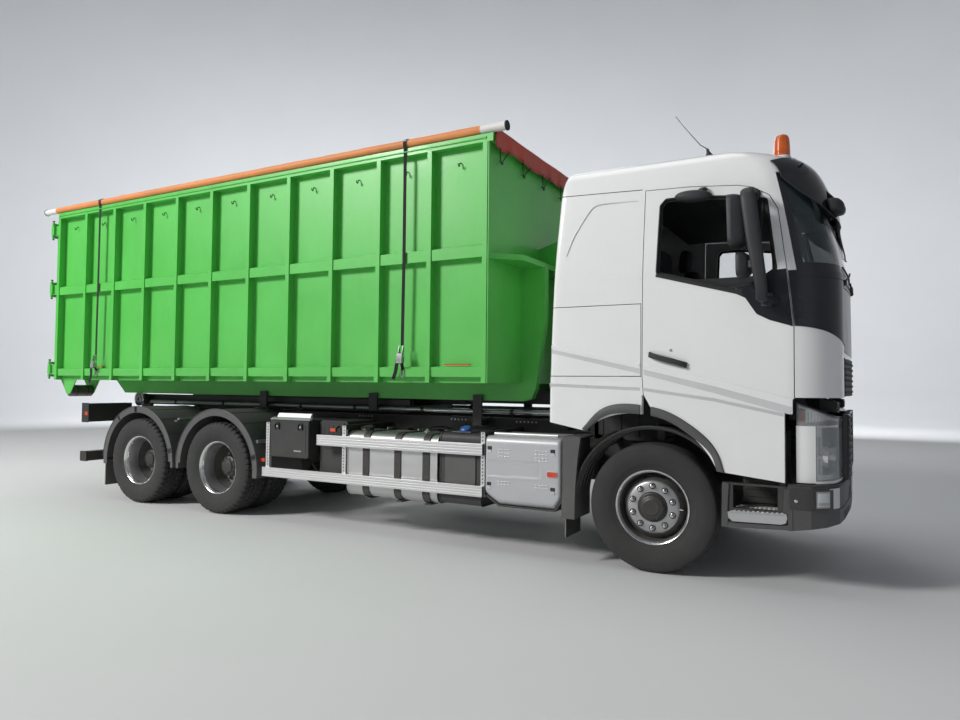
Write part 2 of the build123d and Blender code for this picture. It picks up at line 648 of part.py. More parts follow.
with BuildPart() as lift_arm:
    for side in (-1, 1):
        box(ARM_X, -3500, *between(side, 275, 345), 1203, 1337)
        rod(ARM_X, side * 310, ARM_Z, 67, 70)
        # rod eye lug
        side_plate([(-5020, 1240), (-4780, 1240), (-4850, 1110), (-4950, 1110)],
                   *between(side, 275, 338))
        rod(ARM_X, side * 310, ARM_Z, 32, 90, mode=Mode.SUBTRACT)
    box(-4450, -2300, -125, 125, 1250, 1450)
    for x0, x1 in ((-4430, -4250), (-3700, -3500)):
        box(x0, x1, -345, 345, 1275, 1337)
    box(-4480, -2280, -110, 110, 1265, 1435, mode=Mode.SUBTRACT)
finish_piece(lift_arm, "lift_arm")

with BuildPart() as hook_jib:
    box(-3450, -1100, -100, 100, 1275, 1425)
    side_plate([(-1300, 1275), (-1080, 1275), (-1020, 1335), (-1020, 2640), (-1060, 2740),
                (-1110, 2800), (-1160, 2700), (-1160, 1500), (-1300, 1425)], -90, 90)
    # hook that takes the container's bail
    side_plate([(-1060, 2740), (-1030, 2830), (-1060, 2920), (-1110, 2960), (-1160, 2960),
                (-1177, 2930), (-1180, 2870), (-1200, 2848), (-1230, 2848), (-1255, 2880),
                (-1262, 2925), (-1300, 2930), (-1310, 2860), (-1280, 2790), (-1220, 2755),
                (-1160, 2740), (-1160, 2700)], -40, 40)
finish_piece(hook_jib, "hook_jib")

# Cylinders: base pin, rod eye, share of the length that is barrel.
def cylinder_pair(x0, z0, x1, z1, ys, r_barrel, r_rod, eye_half, bore, barrel):
    """Barrel with its base eye, or the rod with its end eye."""
    length = ((x1 - x0) ** 2 + (z1 - z0) ** 2) ** 0.5
    ux, uz = (x1 - x0) / length, (z1 - z0) / length
    for y in ys:
        if barrel:
            with BuildSketch(Plane(origin=(sx(x0 + 45 * ux), y, z0 + 45 * uz),
                                   z_dir=(ux, 0, uz))) as sk:
                Circle(r_barrel)
            extrude(sk.sketch, amount=length * 0.80)
            rod(x0, y, z0, 52, 2 * eye_half)
            with BuildSketch(Plane(origin=(sx(x0 + 90 * ux), y, z0 + 90 * uz),
                                   z_dir=(ux, 0, uz))) as hollow:
                Circle(r_rod + 2)
            extrude(hollow.sketch, amount=length, mode=Mode.SUBTRACT)
            rod(x0, y, z0, bore, 4 * eye_half, mode=Mode.SUBTRACT)
        else:
            with BuildSketch(Plane(origin=(sx(x0 + 130 * ux), y, z0 + 130 * uz),
                                   z_dir=(ux, 0, uz))) as sk:
                Circle(r_rod)
            extrude(sk.sketch, amount=length - 160)
            rod(x1, y, z1, 45, 2 * eye_half)


with BuildPart() as lift_barrels:
    cylinder_pair(BASE_X, BASE_Z, EYE_X, EYE_Z, (-190, 190), 54, 32, 40, 31, True)
finish_piece(lift_barrels, "lift_barrels")

with BuildPart() as lift_rods:
    cylinder_pair(BASE_X, BASE_Z, EYE_X, EYE_Z, (-190, 190), 54, 32, 50, 31, False)
finish_piece(lift_rods, "lift_rods")

with BuildPart() as tipping_barrel:
    cylinder_pair(RAM_X, RAM_Z, RAM_EYE_X, RAM_EYE_Z, (0,), 65, 42, 40, 26, True)
finish_piece(tipping_barrel, "tipping_barrel")

with BuildPart() as tipping_rod:
    cylinder_pair(RAM_X, RAM_Z, RAM_EYE_X, RAM_EYE_Z, (0,), 65, 42, 47, 26, False)
finish_piece(tipping_rod, "tipping_rod")

# ----------------------------------------------------------------- container
LAST_POST = FIRST_POST - (POSTS - 1) * POST_PITCH
REAR_END = LAST_POST - POST_W / 2

with BuildPart() as container:
    # floor plate, its cross bearers and the two long rails
    box(REAR_END, FRONT_WALL, -1170, 1170, 1553, 1563)
    for i in range(POSTS):
        x = FIRST_POST - i * POST_PITCH
        box(x - 24, x + 24, -1170, 1170, FLOOR_Z, 1553)
    for side in (-1, 1):
        side_plate([(-7520, SKID_Z), (-1400, SKID_Z), (-1320, 1340), (-1280, 1430),
                    (-1215, 1900), (-1185, 2090), (-1185, 2600), (-1448, 2600),
                    (-1448, 1485), (-7710, 1485)], *between(side, SKID_Y0, SKID_Y1))
        # side wall, posts and the three long ribs
        box(REAR_END, FRONT_WALL, *between(side, 1162, WALL_FACE), FLOOR_Z, BOX_TOP)
        for i in range(POSTS):
            x = FIRST_POST - i * POST_PITCH
            box(x - POST_W / 2, x + POST_W / 2, *between(side, WALL_FACE, POST_FACE),
                FLOOR_Z, 3700)
        for rib in ([(1170, 1540), (1232, 1540), (1238, 1630), (1170, 1642)],
                    [(1170, 2620), (1240, 2620), (1240, 2723), (1170, 2749)],
                    [(1130, 3655), (1250, 3655), (1250, BOX_TOP), (1130, BOX_TOP)]):
            long_bar(mirrored(rib, side), REAR_END, FRONT_WALL)
        # bail plates on the shelf
        side_plate([(-1448, 2650), (-1190, 2650), (-1185, 2900), (-1230, 2930),
                    (-1448, 2860)], *between(side, 140, 160))
        # hinge brackets of the rear doors
        for z in (1625, 2700, 3500):
            box(-8150, -8095, *between(side, 1214, 1279), z - 60, z + 60)
            box(-8100, -8020, *between(side, 1214, 1250), z - 60, z + 60)
            rod(DOOR_PIN_X, side * DOOR_PIN_Y, z, 11, 220, axis="Z")
        # brackets of the ground rollers
        for y in (835, 1155):
            side_plate([(-8030, 1485), (-7690, 1485), (-7820, 1300), (-7900, 1300)],
                       *between(side, y - 6, y + 6))
        rod(-7860, side * 995, 1340, 18, 332)
    # front wall and its shelf, with a gusset at each corner
    box(-1448, FRONT_WALL, -1250, 1250, FLOOR_Z, BOX_TOP)
    box(-1500, FRONT_WALL + 40, -1250, 1250, 3655, BOX_TOP)
    level_plate([(-1448, -1245), (-1205, -1000), (-1205, 1000), (-1448, 1245)], 2600, 2650)
    # rear sill
    box(REAR_END, REAR_END + 60, -1170, 1170, FLOOR_Z, 1563)
    rod(BAIL_X, 0, BAIL_Z, 25, 300)
finish_piece(container, "container")

with BuildPart() as ground_rollers:
    for side in (-1, 1):
        rod(-7860, side * 995, 1340, 76, 280)
        rod(-7860, side * 995, 1340, 19, 300, mode=Mode.SUBTRACT)
finish_piece(ground_rollers, "ground_rollers")

with BuildPart() as tarp:
    # sheet over the top, a flap on the left, the rolled edge on the right
    long_bar([(1262, 3640), (1262, 3745), (1200, 3792), (-1190, 3792), (-1190, 3780),
              (1194, 3780), (1254, 3738), (1254, 3640)], -8050, FRONT_WALL + 50)
    rod((-8360 - 1270) / 2, -1222, 3776, 43, 8360 - 1270, axis="X")
    # skirt over the top of the front wall
    box(-1396, -1388, -1180, 1254, 3630, 3785)
finish_piece(tarp, "tarp")

for name, side in (("right", -1), ("left", 1)):
    with BuildPart() as leaf:
        box(-8125, -8117, *between(side, 6, 1205), 1500, 3640)
        for y0, y1 in ((6, 60), (580, 630), (1145, 1205)):
            box(-8117, -8046, *between(side, y0, y1), 1500, 3640)
        for z0, z1 in ((1500, 1570), (2180, 2230), (2900, 2950), (3570, 3640)):
            box(-8117, -8046, *between(side, 6, 1205), z0, z1)
        # hinge straps and knuckles
        for z in (1625, 2700, 3500):
            for z0 in (z - 100, z + 66):
                box(-8137, -8125, *between(side, 1000, 1255), z0, z0 + 34)
                rod(DOOR_PIN_X, side * DOOR_PIN_Y, z0 + 17, 21, 34, axis="Z")
                rod(DOOR_PIN_X, side * DOOR_PIN_Y, z0 + 17, 12, 60, axis="Z",
                    mode=Mode.SUBTRACT)
    finish_piece(leaf, name + "_container_door")
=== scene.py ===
import math

import bmesh
import bpy
from mathutils import Matrix, Vector


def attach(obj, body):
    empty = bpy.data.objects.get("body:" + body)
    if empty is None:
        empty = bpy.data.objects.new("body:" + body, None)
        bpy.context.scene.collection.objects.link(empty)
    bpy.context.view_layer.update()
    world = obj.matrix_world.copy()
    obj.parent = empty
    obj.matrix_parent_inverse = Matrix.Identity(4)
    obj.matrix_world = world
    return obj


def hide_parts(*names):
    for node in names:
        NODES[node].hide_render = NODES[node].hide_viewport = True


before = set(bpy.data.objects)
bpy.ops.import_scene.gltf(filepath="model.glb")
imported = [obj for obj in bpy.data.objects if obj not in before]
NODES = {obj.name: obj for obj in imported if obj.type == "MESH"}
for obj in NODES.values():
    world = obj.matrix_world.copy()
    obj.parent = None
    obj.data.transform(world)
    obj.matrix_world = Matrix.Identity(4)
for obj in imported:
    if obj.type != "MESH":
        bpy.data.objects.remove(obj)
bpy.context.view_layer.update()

# Places are given as (s, y, z) in metres: s is measured ahead of the front axle.
FA = 3.4875


def P(s, y, z):
    return Vector((FA + s, y, z))


# ------------------------------------------------------------------ camera
def set_camera():
    yaw, pitch, roll = (math.radians(a) for a in (28.973, 1.992, 0.53))
    fwd = Vector((-math.sin(yaw) * math.cos(pitch), math.cos(yaw) * math.cos(pitch), math.sin(pitch)))
    right = Vector((math.cos(yaw), math.sin(yaw), 0))
    up = right.cross(fwd)
    r2 = right * math.cos(roll) + up * math.sin(roll)
    u2 = -right * math.sin(roll) + up * math.cos(roll)
    data = bpy.data.cameras.new("camera")
    data.sensor_fit = "HORIZONTAL"
    data.sensor_width = 36
    data.lens = 26.278
    data.clip_end = 300
    cam = bpy.data.objects.new("camera", data)
    m = Matrix((r2, u2, -fwd)).transposed().to_4x4()
    m.translation = P(1.508, -6.708, 1.474)
    cam.matrix_world = m
    bpy.context.scene.collection.objects.link(cam)
    bpy.context.scene.camera = cam


set_camera()


# --------------------------------------------------------------- materials
MATS = {}


def nodes_of(m):
    m.use_nodes = True
    nt = m.node_tree
    return nt, nt.nodes["Principled BSDF"]


def finish_mat(name, color, rough=0.5, metal=0.0, coat=0.0, vary=0.06, scale=2.5, dust=0.0,
               dust_color=(0.36, 0.33, 0.28), dust_low=0.1, dust_high=1.5, bump=0.0,
               bump_scale=120.0, speck=0.0, spec=0.5, rough_vary=0.12, stretch=None,
               alpha=1.0, transmission=0.0, grime=0.0, wave=None, emit=None):
    """Principled surface with blotchy colour, dust that thickens towards the ground,
    grime in broad patches and fine bump."""
    m = bpy.data.materials.new(name)
    nt, b = nodes_of(m)
    new, link = nt.nodes.new, nt.links.new
    tc = new("ShaderNodeTexCoord")
    source = tc.outputs["Object"]
    mp = new("ShaderNodeMapping")
    mp.inputs["Scale"].default_value = stretch or (1, 1, 1)
    link(source, mp.inputs["Vector"])
    n1 = new("ShaderNodeTexNoise")
    n1.inputs["Scale"].default_value = scale
    n1.inputs["Detail"].default_value = 7
    n1.inputs["Roughness"].default_value = 0.62
    link(mp.outputs[0], n1.inputs["Vector"])
    ramp = new("ShaderNodeValToRGB")
    lo = [max(0.0, c * (1 - vary)) for c in color]
    hi = [min(1.0, c * (1 + vary)) for c in color]
    ramp.color_ramp.elements[0].position = 0.3
    ramp.color_ramp.elements[1].position = 0.72
    ramp.color_ramp.elements[0].color = (*lo, 1)
    ramp.color_ramp.elements[1].color = (*hi, 1)
    link(n1.outputs["Fac"], ramp.inputs["Fac"])
    out = ramp.outputs["Color"]

    def mix(a, fac, other):
        x = new("ShaderNodeMix")
        x.data_type = "RGBA"
        link(fac, x.inputs["Factor"])
        link(a, x.inputs[6])
        if isinstance(other, tuple):
            x.inputs[7].default_value = (*other, 1)
        else:
            link(other, x.inputs[7])
        return x.outputs[2]

    def math_node(op, a, bval, clamp=False):
        x = new("ShaderNodeMath")
        x.operation = op
        x.use_clamp = clamp
        for i, val in enumerate((a, bval)):
            if isinstance(val, (int, float)):
                x.inputs[i].default_value = val
            elif val is not None:
                link(val, x.inputs[i])
        return x.outputs[0]

    rough_out = None
    if dust > 0:
        sep = new("ShaderNodeSeparateXYZ")
        link(source, sep.inputs[0])
        mr = new("ShaderNodeMapRange")
        mr.inputs["From Min"].default_value = dust_high
        mr.inputs["From Max"].default_value = dust_low
        link(sep.outputs["Z"], mr.inputs["Value"])
        n2 = new("ShaderNodeTexNoise")
        n2.inputs["Scale"].default_value = 6.0
        n2.inputs["Detail"].default_value = 8
        n2.inputs["Roughness"].default_value = 0.7
        link(source, n2.inputs["Vector"])
        k = math_node("MULTIPLY", mr.outputs[0], n2.outputs["Fac"])
        k = math_node("MULTIPLY", k, dust * 1.7, True)
        out = mix(out, k, dust_color)
        rough_out = k
    if grime > 0:
        n4 = new("ShaderNodeTexNoise")
        n4.inputs["Scale"].default_value = 1.4
        n4.inputs["Detail"].default_value = 9
        n4.inputs["Roughness"].default_value = 0.75
        mp4 = new("ShaderNodeMapping")
        mp4.inputs["Scale"].default_value = (2.2, 2.2, 0.5)
        link(source, mp4.inputs["Vector"])
        link(mp4.outputs[0], n4.inputs["Vector"])
        r4 = new("ShaderNodeMapRange")
        r4.inputs["From Min"].default_value = 0.5
        r4.inputs["From Max"].default_value = 0.8
        r4.inputs["To Max"].default_value = grime
        link(n4.outputs["Fac"], r4.inputs["Value"])
        out = mix(out, r4.outputs[0], tuple(c * 0.45 + 0.02 for c in color))
    if speck > 0:
        n3 = new("ShaderNodeTexNoise")
        n3.inputs["Scale"].default_value = 260.0
        n3.inputs["Detail"].default_value = 2
        link(source, n3.inputs["Vector"])
        r3 = new("ShaderNodeMapRange")
        r3.inputs["From Min"].default_value = 0.62
        r3.inputs["From Max"].default_value = 0.72
        r3.inputs["To Max"].default_value = speck
        link(n3.outputs["Fac"], r3.inputs["Value"])
        out = mix(out, r3.outputs[0], dust_color)
    link(out, b.inputs["Base Color"])
    rr = new("ShaderNodeMapRange")
    rr.inputs["From Min"].default_value = 0.3
    rr.inputs["From Max"].default_value = 0.7
    rr.inputs["To Min"].default_value = max(0.02, rough * (1 - rough_vary))
    rr.inputs["To Max"].default_value = min(1.0, rough * (1 + rough_vary))
    link(n1.outputs["Fac"], rr.inputs["Value"])
    ro = rr.outputs[0]
    if rough_out is not None:
        ro = math_node("ADD", ro, math_node("MULTIPLY", rough_out, 0.35), True)
    link(ro, b.inputs["Roughness"])
    b.inputs["Metallic"].default_value = metal
    b.inputs["Specular IOR Level"].default_value = spec
    b.inputs["Coat Weight"].default_value = coat
    b.inputs["Coat Roughness"].default_value = 0.08
    b.inputs["Alpha"].default_value = alpha
    b.inputs["Transmission Weight"].default_value = transmission
    if emit:
        b.inputs["Emission Color"].default_value = (*color, 1)
        b.inputs["Emission Strength"].default_value = emit
    if bump > 0:
        n5 = new("ShaderNodeTexNoise")
        n5.inputs["Scale"].default_value = bump_scale
        n5.inputs["Detail"].default_value = 4
        link(mp.outputs[0], n5.inputs["Vector"])
        height = n5.outputs["Fac"]
        if wave:
            w = new("ShaderNodeTexWave")
            w.wave_type = "BANDS"
            w.bands_direction = wave[0]
            w.inputs["Scale"].default_value = wave[1]
            w.inputs["Distortion"].default_value = 0.4
            link(source, w.inputs["Vector"])
            height = math_node("ADD", height, w.outputs["Fac"])
        bp = new("ShaderNodeBump")
        bp.inputs["Strength"].default_value = 1.0
        bp.inputs["Distance"].default_value = bump
        link(height, bp.inputs["Height"])
        link(bp.outputs[0], b.inputs["Normal"])
    MATS[name] = m
    return m


finish_mat("white_paint", (0.83, 0.835, 0.84), 0.22, coat=0.5, vary=0.012, dust=0.10,
           dust_low=0.6, dust_high=1.7, bump=0.00005, bump_scale=60, grime=0.03)
finish_mat("green_paint", (0.085, 0.50, 0.075), 0.42, coat=0.12, vary=0.07, scale=1.6, dust=0.10,
           dust_low=1.2, dust_high=2.2, bump=0.0004, bump_scale=26, grime=0.22)
finish_mat("dark_green", (0.02, 0.16, 0.03), 0.5, vary=0.15, bump=0.0003, grime=0.3)
finish_mat("frame_paint", (0.018, 0.018, 0.020), 0.48, vary=0.35, dust=0.16, bump=0.0003,
           bump_scale=45, speck=0.12)
finish_mat("grey_plastic", (0.072, 0.073, 0.077), 0.62, vary=0.08, dust=0.18, bump=0.00035,
           bump_scale=420, speck=0.06)
finish_mat("dark_plastic", (0.020, 0.021, 0.024), 0.55, vary=0.12, dust=0.14, bump=0.0003,
           bump_scale=420)
finish_mat("black_gloss", (0.009, 0.011, 0.016), 0.30, coat=0.2, vary=0.1, dust=0.03)
finish_mat("black_rubber", (0.012, 0.012, 0.013), 0.7, vary=0.2, dust=0.12, bump=0.0003,
           bump_scale=260)
finish_mat("bumper_grey", (0.050, 0.052, 0.060), 0.5, vary=0.06, dust=0.16, bump=0.00025,
           bump_scale=420)
finish_mat("tread_grey", (0.42, 0.43, 0.45), 0.5, vary=0.08, dust=0.2, bump=0.0003,
           bump_scale=200, speck=0.1)
finish_mat("tyre_rubber", (0.024, 0.024, 0.025), 0.78, vary=0.12, scale=9, dust=0.22,
           dust_color=(0.12, 0.115, 0.105), dust_low=-0.2, dust_high=1.3, bump=0.0005,
           bump_scale=180, speck=0.05)
finish_mat("rim_silver", (0.46, 0.46, 0.47), 0.34, metal=0.75, vary=0.06, dust=0.12,
           dust_color=(0.13, 0.12, 0.11), bump=0.0003, bump_scale=90, grime=0.15)
finish_mat("rim_bright", (0.70, 0.70, 0.70), 0.2, metal=0.95, vary=0.04, bump=0.0001, grime=0.08)
finish_mat("rim_shadow", (0.045, 0.045, 0.047), 0.5, vary=0.25, dust=0.2, bump=0.0004,
           bump_scale=70)
finish_mat("nut_chrome", (0.72, 0.72, 0.73), 0.18, metal=1.0, vary=0.06, bump=0.0001)
finish_mat("hub_iron", (0.016, 0.016, 0.017), 0.42, vary=0.3, dust=0.12, bump=0.0004,
           bump_scale=60)
finish_mat("tank_metal", (0.56, 0.56, 0.57), 0.36, metal=0.85, vary=0.05, dust=0.14,
           bump=0.00025, bump_scale=30, stretch=(0.4, 6, 6))
finish_mat("rail_metal", (0.66, 0.66, 0.67), 0.40, metal=0.7, vary=0.04, dust=0.08,
           bump=0.0002, bump_scale=80, stretch=(0.15, 8, 8))
finish_mat("cover_silver", (0.50, 0.505, 0.53), 0.42, metal=0.3, coat=0.15, vary=0.03,
           dust=0.12, bump=0.0001, bump_scale=200)
finish_mat("galvanised", (0.40, 0.41, 0.42), 0.45, metal=0.8, vary=0.14, scale=24, dust=0.1,
           bump=0.0002, bump_scale=60)
finish_mat("steel_worn", (0.16, 0.155, 0.15), 0.42, metal=0.85, vary=0.35, scale=18,
           bump=0.0004, bump_scale=40)
finish_mat("rod_chrome", (0.70, 0.71, 0.73), 0.1, metal=1.0, vary=0.03, bump=0.00005)
finish_mat("iron", (0.022, 0.021, 0.020), 0.66, vary=0.35, dust=0.25, bump=0.0008, bump_scale=30)
finish_mat("tarp_orange", (0.62, 0.155, 0.03), 0.55, vary=0.12, scale=3.2, bump=0.0005,
           bump_scale=240, grime=0.2, wave=("X", 180))
finish_mat("tarp_roll_orange", (0.66, 0.24, 0.075), 0.6, vary=0.16, scale=2.2, bump=0.0007,
           bump_scale=150, grime=0.35, stretch=(0.4, 3, 3))
# orange cloth darkened to red for the front skirt: painted shade
finish_mat("tarp_skirt_painted_shade", (0.50, 0.060, 0.032), 0.55, vary=0.14, scale=3.2, bump=0.0005,
           bump_scale=240, grime=0.2)
finish_mat("webbing", (0.010, 0.010, 0.011), 0.8, vary=0.2, bump=0.0006, bump_scale=300,
           wave=("Z", 220))
finish_mat("amber_lens", (0.75, 0.13, 0.012), 0.12, coat=0.6, vary=0.18, scale=14,
           bump=0.0006, bump_scale=60, wave=("Z", 60), transmission=0.25)
finish_mat("red_lens", (0.42, 0.012, 0.01), 0.15, coat=0.5, vary=0.15, scale=20, bump=0.0004,
           bump_scale=90)
finish_mat("orange_lens", (0.62, 0.06, 0.02), 0.2, coat=0.4, vary=0.2, scale=30, bump=0.0004,
           bump_scale=90)
finish_mat("white_lens", (0.62, 0.64, 0.66), 0.12, coat=0.6, vary=0.1, scale=30, bump=0.0005,
           bump_scale=60)
finish_mat("cab_lining", (0.020, 0.021, 0.023), 0.85, vary=0.12, bump=0.0005, bump_scale=220)
finish_mat("seat_cloth", (0.030, 0.031, 0.036), 0.9, vary=0.2, scale=30, bump=0.0008,
           bump_scale=400, wave=("X", 120))
finish_mat("dash_grain", (0.035, 0.035, 0.038), 0.6, vary=0.1, bump=0.0004, bump_scale=380)
finish_mat("blue_cap", (0.03, 0.12, 0.42), 0.4, coat=0.2, vary=0.12, dust=0.08, bump=0.0002,
           bump_scale=120)
finish_mat("hose_red", (0.36, 0.03, 0.02), 0.5, vary=0.1, bump=0.0002)
# pale grey for the bumper end's trim and the step's dots; also the painted shade below the raised side stripe
finish_mat("grey_trim_and_stripe_shade", (0.60, 0.61, 0.62), 0.3, coat=0.4, vary=0.03, dust=0.05)
finish_mat("stripe_shadow", (0.56, 0.56, 0.565), 0.3, coat=0.4, vary=0.03, dust=0.05)
finish_mat("plate_white", (0.75, 0.75, 0.74), 0.4, vary=0.04, dust=0.1, bump=0.0001)
finish_mat("mirror_face", (0.80, 0.82, 0.84), 0.03, metal=1.0, vary=0.01, dust=0.01)


def glass_mat(name, color, rough=0.02, alpha=0.35, metal=0.0):
    m = bpy.data.materials.new(name)
    nt, b = nodes_of(m)
    n = nt.nodes.new("ShaderNodeTexNoise")
    n.inputs["Scale"].default_value = 3.0
    n.inputs["Detail"].default_value = 6
    tc = nt.nodes.new("ShaderNodeTexCoord")
    nt.links.new(tc.outputs["Object"], n.inputs["Vector"])
    r = nt.nodes.new("ShaderNodeValToRGB")
    r.color_ramp.elements[0].color = (*[c * 0.9 for c in color], 1)
    r.color_ramp.elements[1].color = (*[min(1, c * 1.1) for c in color], 1)
    nt.links.new(n.outputs["Fac"], r.inputs["Fac"])
    nt.links.new(r.outputs["Color"], b.inputs["Base Color"])
    b.inputs["Roughness"].default_value = rough
    b.inputs["Metallic"].default_value = metal
    b.inputs["Alpha"].default_value = alpha
    b.inputs["Specular IOR Level"].default_value = 0.8
    b.inputs["Coat Weight"].default_value = 0.5
    b.inputs["Coat Roughness"].default_value = 0.02
    MATS[name] = m
    return m


glass_mat("glass", (0.016, 0.034, 0.038), alpha=0.50)
glass_mat("side_glass", (0.10, 0.12, 0.12), alpha=0.14)
glass_mat("clear_cover", (0.55, 0.58, 0.60), alpha=0.30)


# ------------------------------------------------------------ mesh helpers
class Shape:
    """Faces under construction, each with a material number and a smooth flag."""

    def __init__(self):
        self.v, self.f, self.m, self.s = [], [], [], []

    def put(self, verts, faces, mat=0, smooth=True):
        k = len(self.v)
        self.v += [tuple(p) for p in verts]
        self.f += [tuple(i + k for i in f) for f in faces]
        self.m += [mat] * len(faces)
        self.s += [smooth] * len(faces)

    def hexa(self, corners, mat=0):
        """Eight corners: the bottom four in order, then the four above them."""
        self.put(corners, [(3, 2, 1, 0), (4, 5, 6, 7), (0, 1, 5, 4), (1, 2, 6, 5),
                           (2, 3, 7, 6), (3, 0, 4, 7)], mat)

    def box(self, s0, s1, y0, y1, z0, z1, mat=0):
        s0, s1 = sorted((s0, s1))
        y0, y1 = sorted((y0, y1))
        z0, z1 = sorted((z0, z1))
        self.hexa([P(s0, y0, z0), P(s1, y0, z0), P(s1, y1, z0), P(s0, y1, z0),
                   P(s0, y0, z1), P(s1, y0, z1), P(s1, y1, z1), P(s0, y1, z1)], mat)

    def prism(self, outline, axis, a0, a1, mat=0, side_mat=None):
        """Outline in the two other coordinates, in s, y, z order."""
        def at(p, a):
            if axis == "x":
                return P(a, p[0], p[1])
            if axis == "y":
                return P(p[0], a, p[1])
            return P(p[0], p[1], a)
        n = len(outline)
        verts = [at(p, a0) for p in outline] + [at(p, a1) for p in outline]
        self.put(verts, [tuple(range(n)), tuple(range(2 * n - 1, n - 1, -1))], mat, False)
        k = len(self.v)
        self.put(verts, [(i, (i + 1) % n, n + (i + 1) % n, n + i) for i in range(n)],
                 mat if side_mat is None else side_mat)

    def lathe(self, centre, axis, profile, n=48, mat=0, mats=None, closed=False, notch=None,
              start=0.0):
        """Profile of (distance along axis, radius) turned about the axis."""
        axis = Vector(axis).normalized()
        side = axis.orthogonal().normalized()
        other = axis.cross(side)
        m = len(profile)
        verts = []
        for i in range(n):
            a = start + 2 * math.pi * i / n
            d = side * math.cos(a) + other * math.sin(a)
            for j, (h, r) in enumerate(profile):
                if notch:
                    h, r = notch(i, j, h, r)
                verts.append(centre + axis * h + d * r)
        segs = m if closed else m - 1
        for j in range(segs):
            jj = (j + 1) % m
            faces = []
            for i in range(n):
                ii = (i + 1) % n
                q = [i * m + j, i * m + jj, ii * m + jj, ii * m + j]
                if profile[j][1] < 1e-6:
                    q = [i * m + j, i * m + jj, ii * m + jj]
                elif profile[jj][1] < 1e-6:
                    q = [i * m + j, i * m + jj, ii * m + j]
                faces.append(tuple(q))
            if j == 0:
                self.put(verts, faces, mats[j] if mats else mat)
                base = len(self.v) - len(verts)
            else:
                self.f += [tuple(x + base for x in q) for q in faces]
                self.m += [mats[j] if mats else mat] * len(faces)
                self.s += [True] * len(faces)

    def rod(self, p0, p1, r0, r1=None, n=16, mat=0, round_end=0.0):
        r1 = r0 if r1 is None else r1
        d = p1 - p0
        ln = d.length
        e = round_end
        if e:
            prof = [(0, 0), (0, r0 - e), (e * 0.3, r0 - e * 0.3), (e, r0), (ln - e, r1),
                    (ln - e * 0.3, r1 - e * 0.3), (ln, r1 - e), (ln, 0)]
        else:
            prof = [(0, 0), (0, r0), (ln, r1), (ln, 0)]
        self.lathe(p0, d, prof, n, mat)

    def tube(self, pts, r, n=10, mat=0, smooth_steps=0, flat=None, closed=False):
        """Round or flat strip along points. flat is (width, thickness, width direction)."""
        if smooth_steps:
            pts = curve_through(pts, smooth_steps, closed)
        pts = [Vector(p) for p in pts]
        m = len(pts)
        verts = []
        if flat:
            sec = [(-0.5, -0.5), (0.5, -0.5), (0.5, 0.5), (-0.5, 0.5)]
            n = 4
        prev = None
        for i, p in enumerate(pts):
            a = pts[(i - 1) % m] if closed else pts[max(0, i - 1)]
            b = pts[(i + 1) % m] if closed else pts[min(m - 1, i + 1)]
            t = (b - a).normalized()
            if flat:
                w = Vector(flat[2])
                w = (w - t * w.dot(t)).normalized()
                h = t.cross(w)
                for x, y in sec:
                    verts.append(p + w * flat[0] * x + h * flat[1] * y)
            else:
                if prev is None:
                    side = t.orthogonal().normalized()
                else:
                    side = (prev - t * prev.dot(t)).normalized()
                prev = side
                other = t.cross(side)
                rr = r[i] if isinstance(r, (list, tuple)) else r
                for k in range(n):
                    a2 = 2 * math.pi * k / n
                    verts.append(p + side * rr * math.cos(a2) + other * rr * math.sin(a2))
        faces = []
        for i in range(m if closed else m - 1):
            ii = (i + 1) % m
            for k in range(n):
                kk = (k + 1) % n
                faces.append((i * n + k, i * n + kk, ii * n + kk, ii * n + k))
        if not closed:
            faces.append(tuple(range(n - 1, -1, -1)))
            faces.append(tuple((m - 1) * n + k for k in range(n)))
        self.put(verts, faces, mat)

    def bar(self, p0, p1, w, h, up=(0, 0, 1), mat=0):
        """Rectangular bar; h is measured along up."""
        t = (p1 - p0).normalized()
        u = Vector(up)
        u = (u - t * u.dot(t)).normalized()
        v = t.cross(u)
        c = []
        for p in (p0, p1):
            c += [p - v * w / 2 - u * h / 2, p + v * w / 2 - u * h / 2,
                  p + v * w / 2 + u * h / 2, p - v * w / 2 + u * h / 2]
        self.hexa(c, mat)

    def bolt(self, p, axis, r=0.011, h=0.010, mat=0):
        """Washer and hexagon head."""
        axis = Vector(axis).normalized()
        self.lathe(p, axis, [(0, 0), (0, r * 1.35), (h * 0.2, r * 1.35), (h * 0.2, 0)], 12, mat)
        self.lathe(p + axis * h * 0.2, axis, [(0, 0), (0, r), (h * 0.7, r), (h * 0.8, r * 0.85),
                                              (h * 0.8, 0)], 6, mat)

    def rivet(self, p, axis, r=0.008, mat=0, n=8):
        self.lathe(p, axis, [(0, r), (r * 0.35, r * 0.85), (r * 0.6, r * 0.45), (r * 0.68, 0)],
                   n, mat)

    def make(self, name, mats, body, bevel=0.0, segments=2, angle=38, seam=True,
             replaces=()):
        me = bpy.data.meshes.new(name)
        me.from_pydata(self.v, [], self.f)
        me.polygons.foreach_set("material_index", self.m)
        me.polygons.foreach_set("use_smooth", self.s)
        bm = bmesh.new()
        bm.from_mesh(me)
        if seam:
            bmesh.ops.remove_doubles(bm, verts=bm.verts, dist=1e-6)
        bmesh.ops.dissolve_degenerate(bm, edges=bm.edges, dist=1e-6)
        bmesh.ops.recalc_face_normals(bm, faces=bm.faces)
        loose = [v for v in bm.verts if not v.link_faces]
        bmesh.ops.delete(bm, geom=loose, context="VERTS")
        bm.to_mesh(me)
        bm.free()
        me.set_sharp_from_angle(angle=math.radians(angle))
        for k in mats:
            me.materials.append(MATS[k])
        ob = bpy.data.objects.new(name, me)
        bpy.context.scene.collection.objects.link(ob)
        if bevel:
            soften(ob, bevel, segments, angle)
        if body == "stage":
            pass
        else:
            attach(ob, body)
        if replaces:
            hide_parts(*replaces)
        return ob


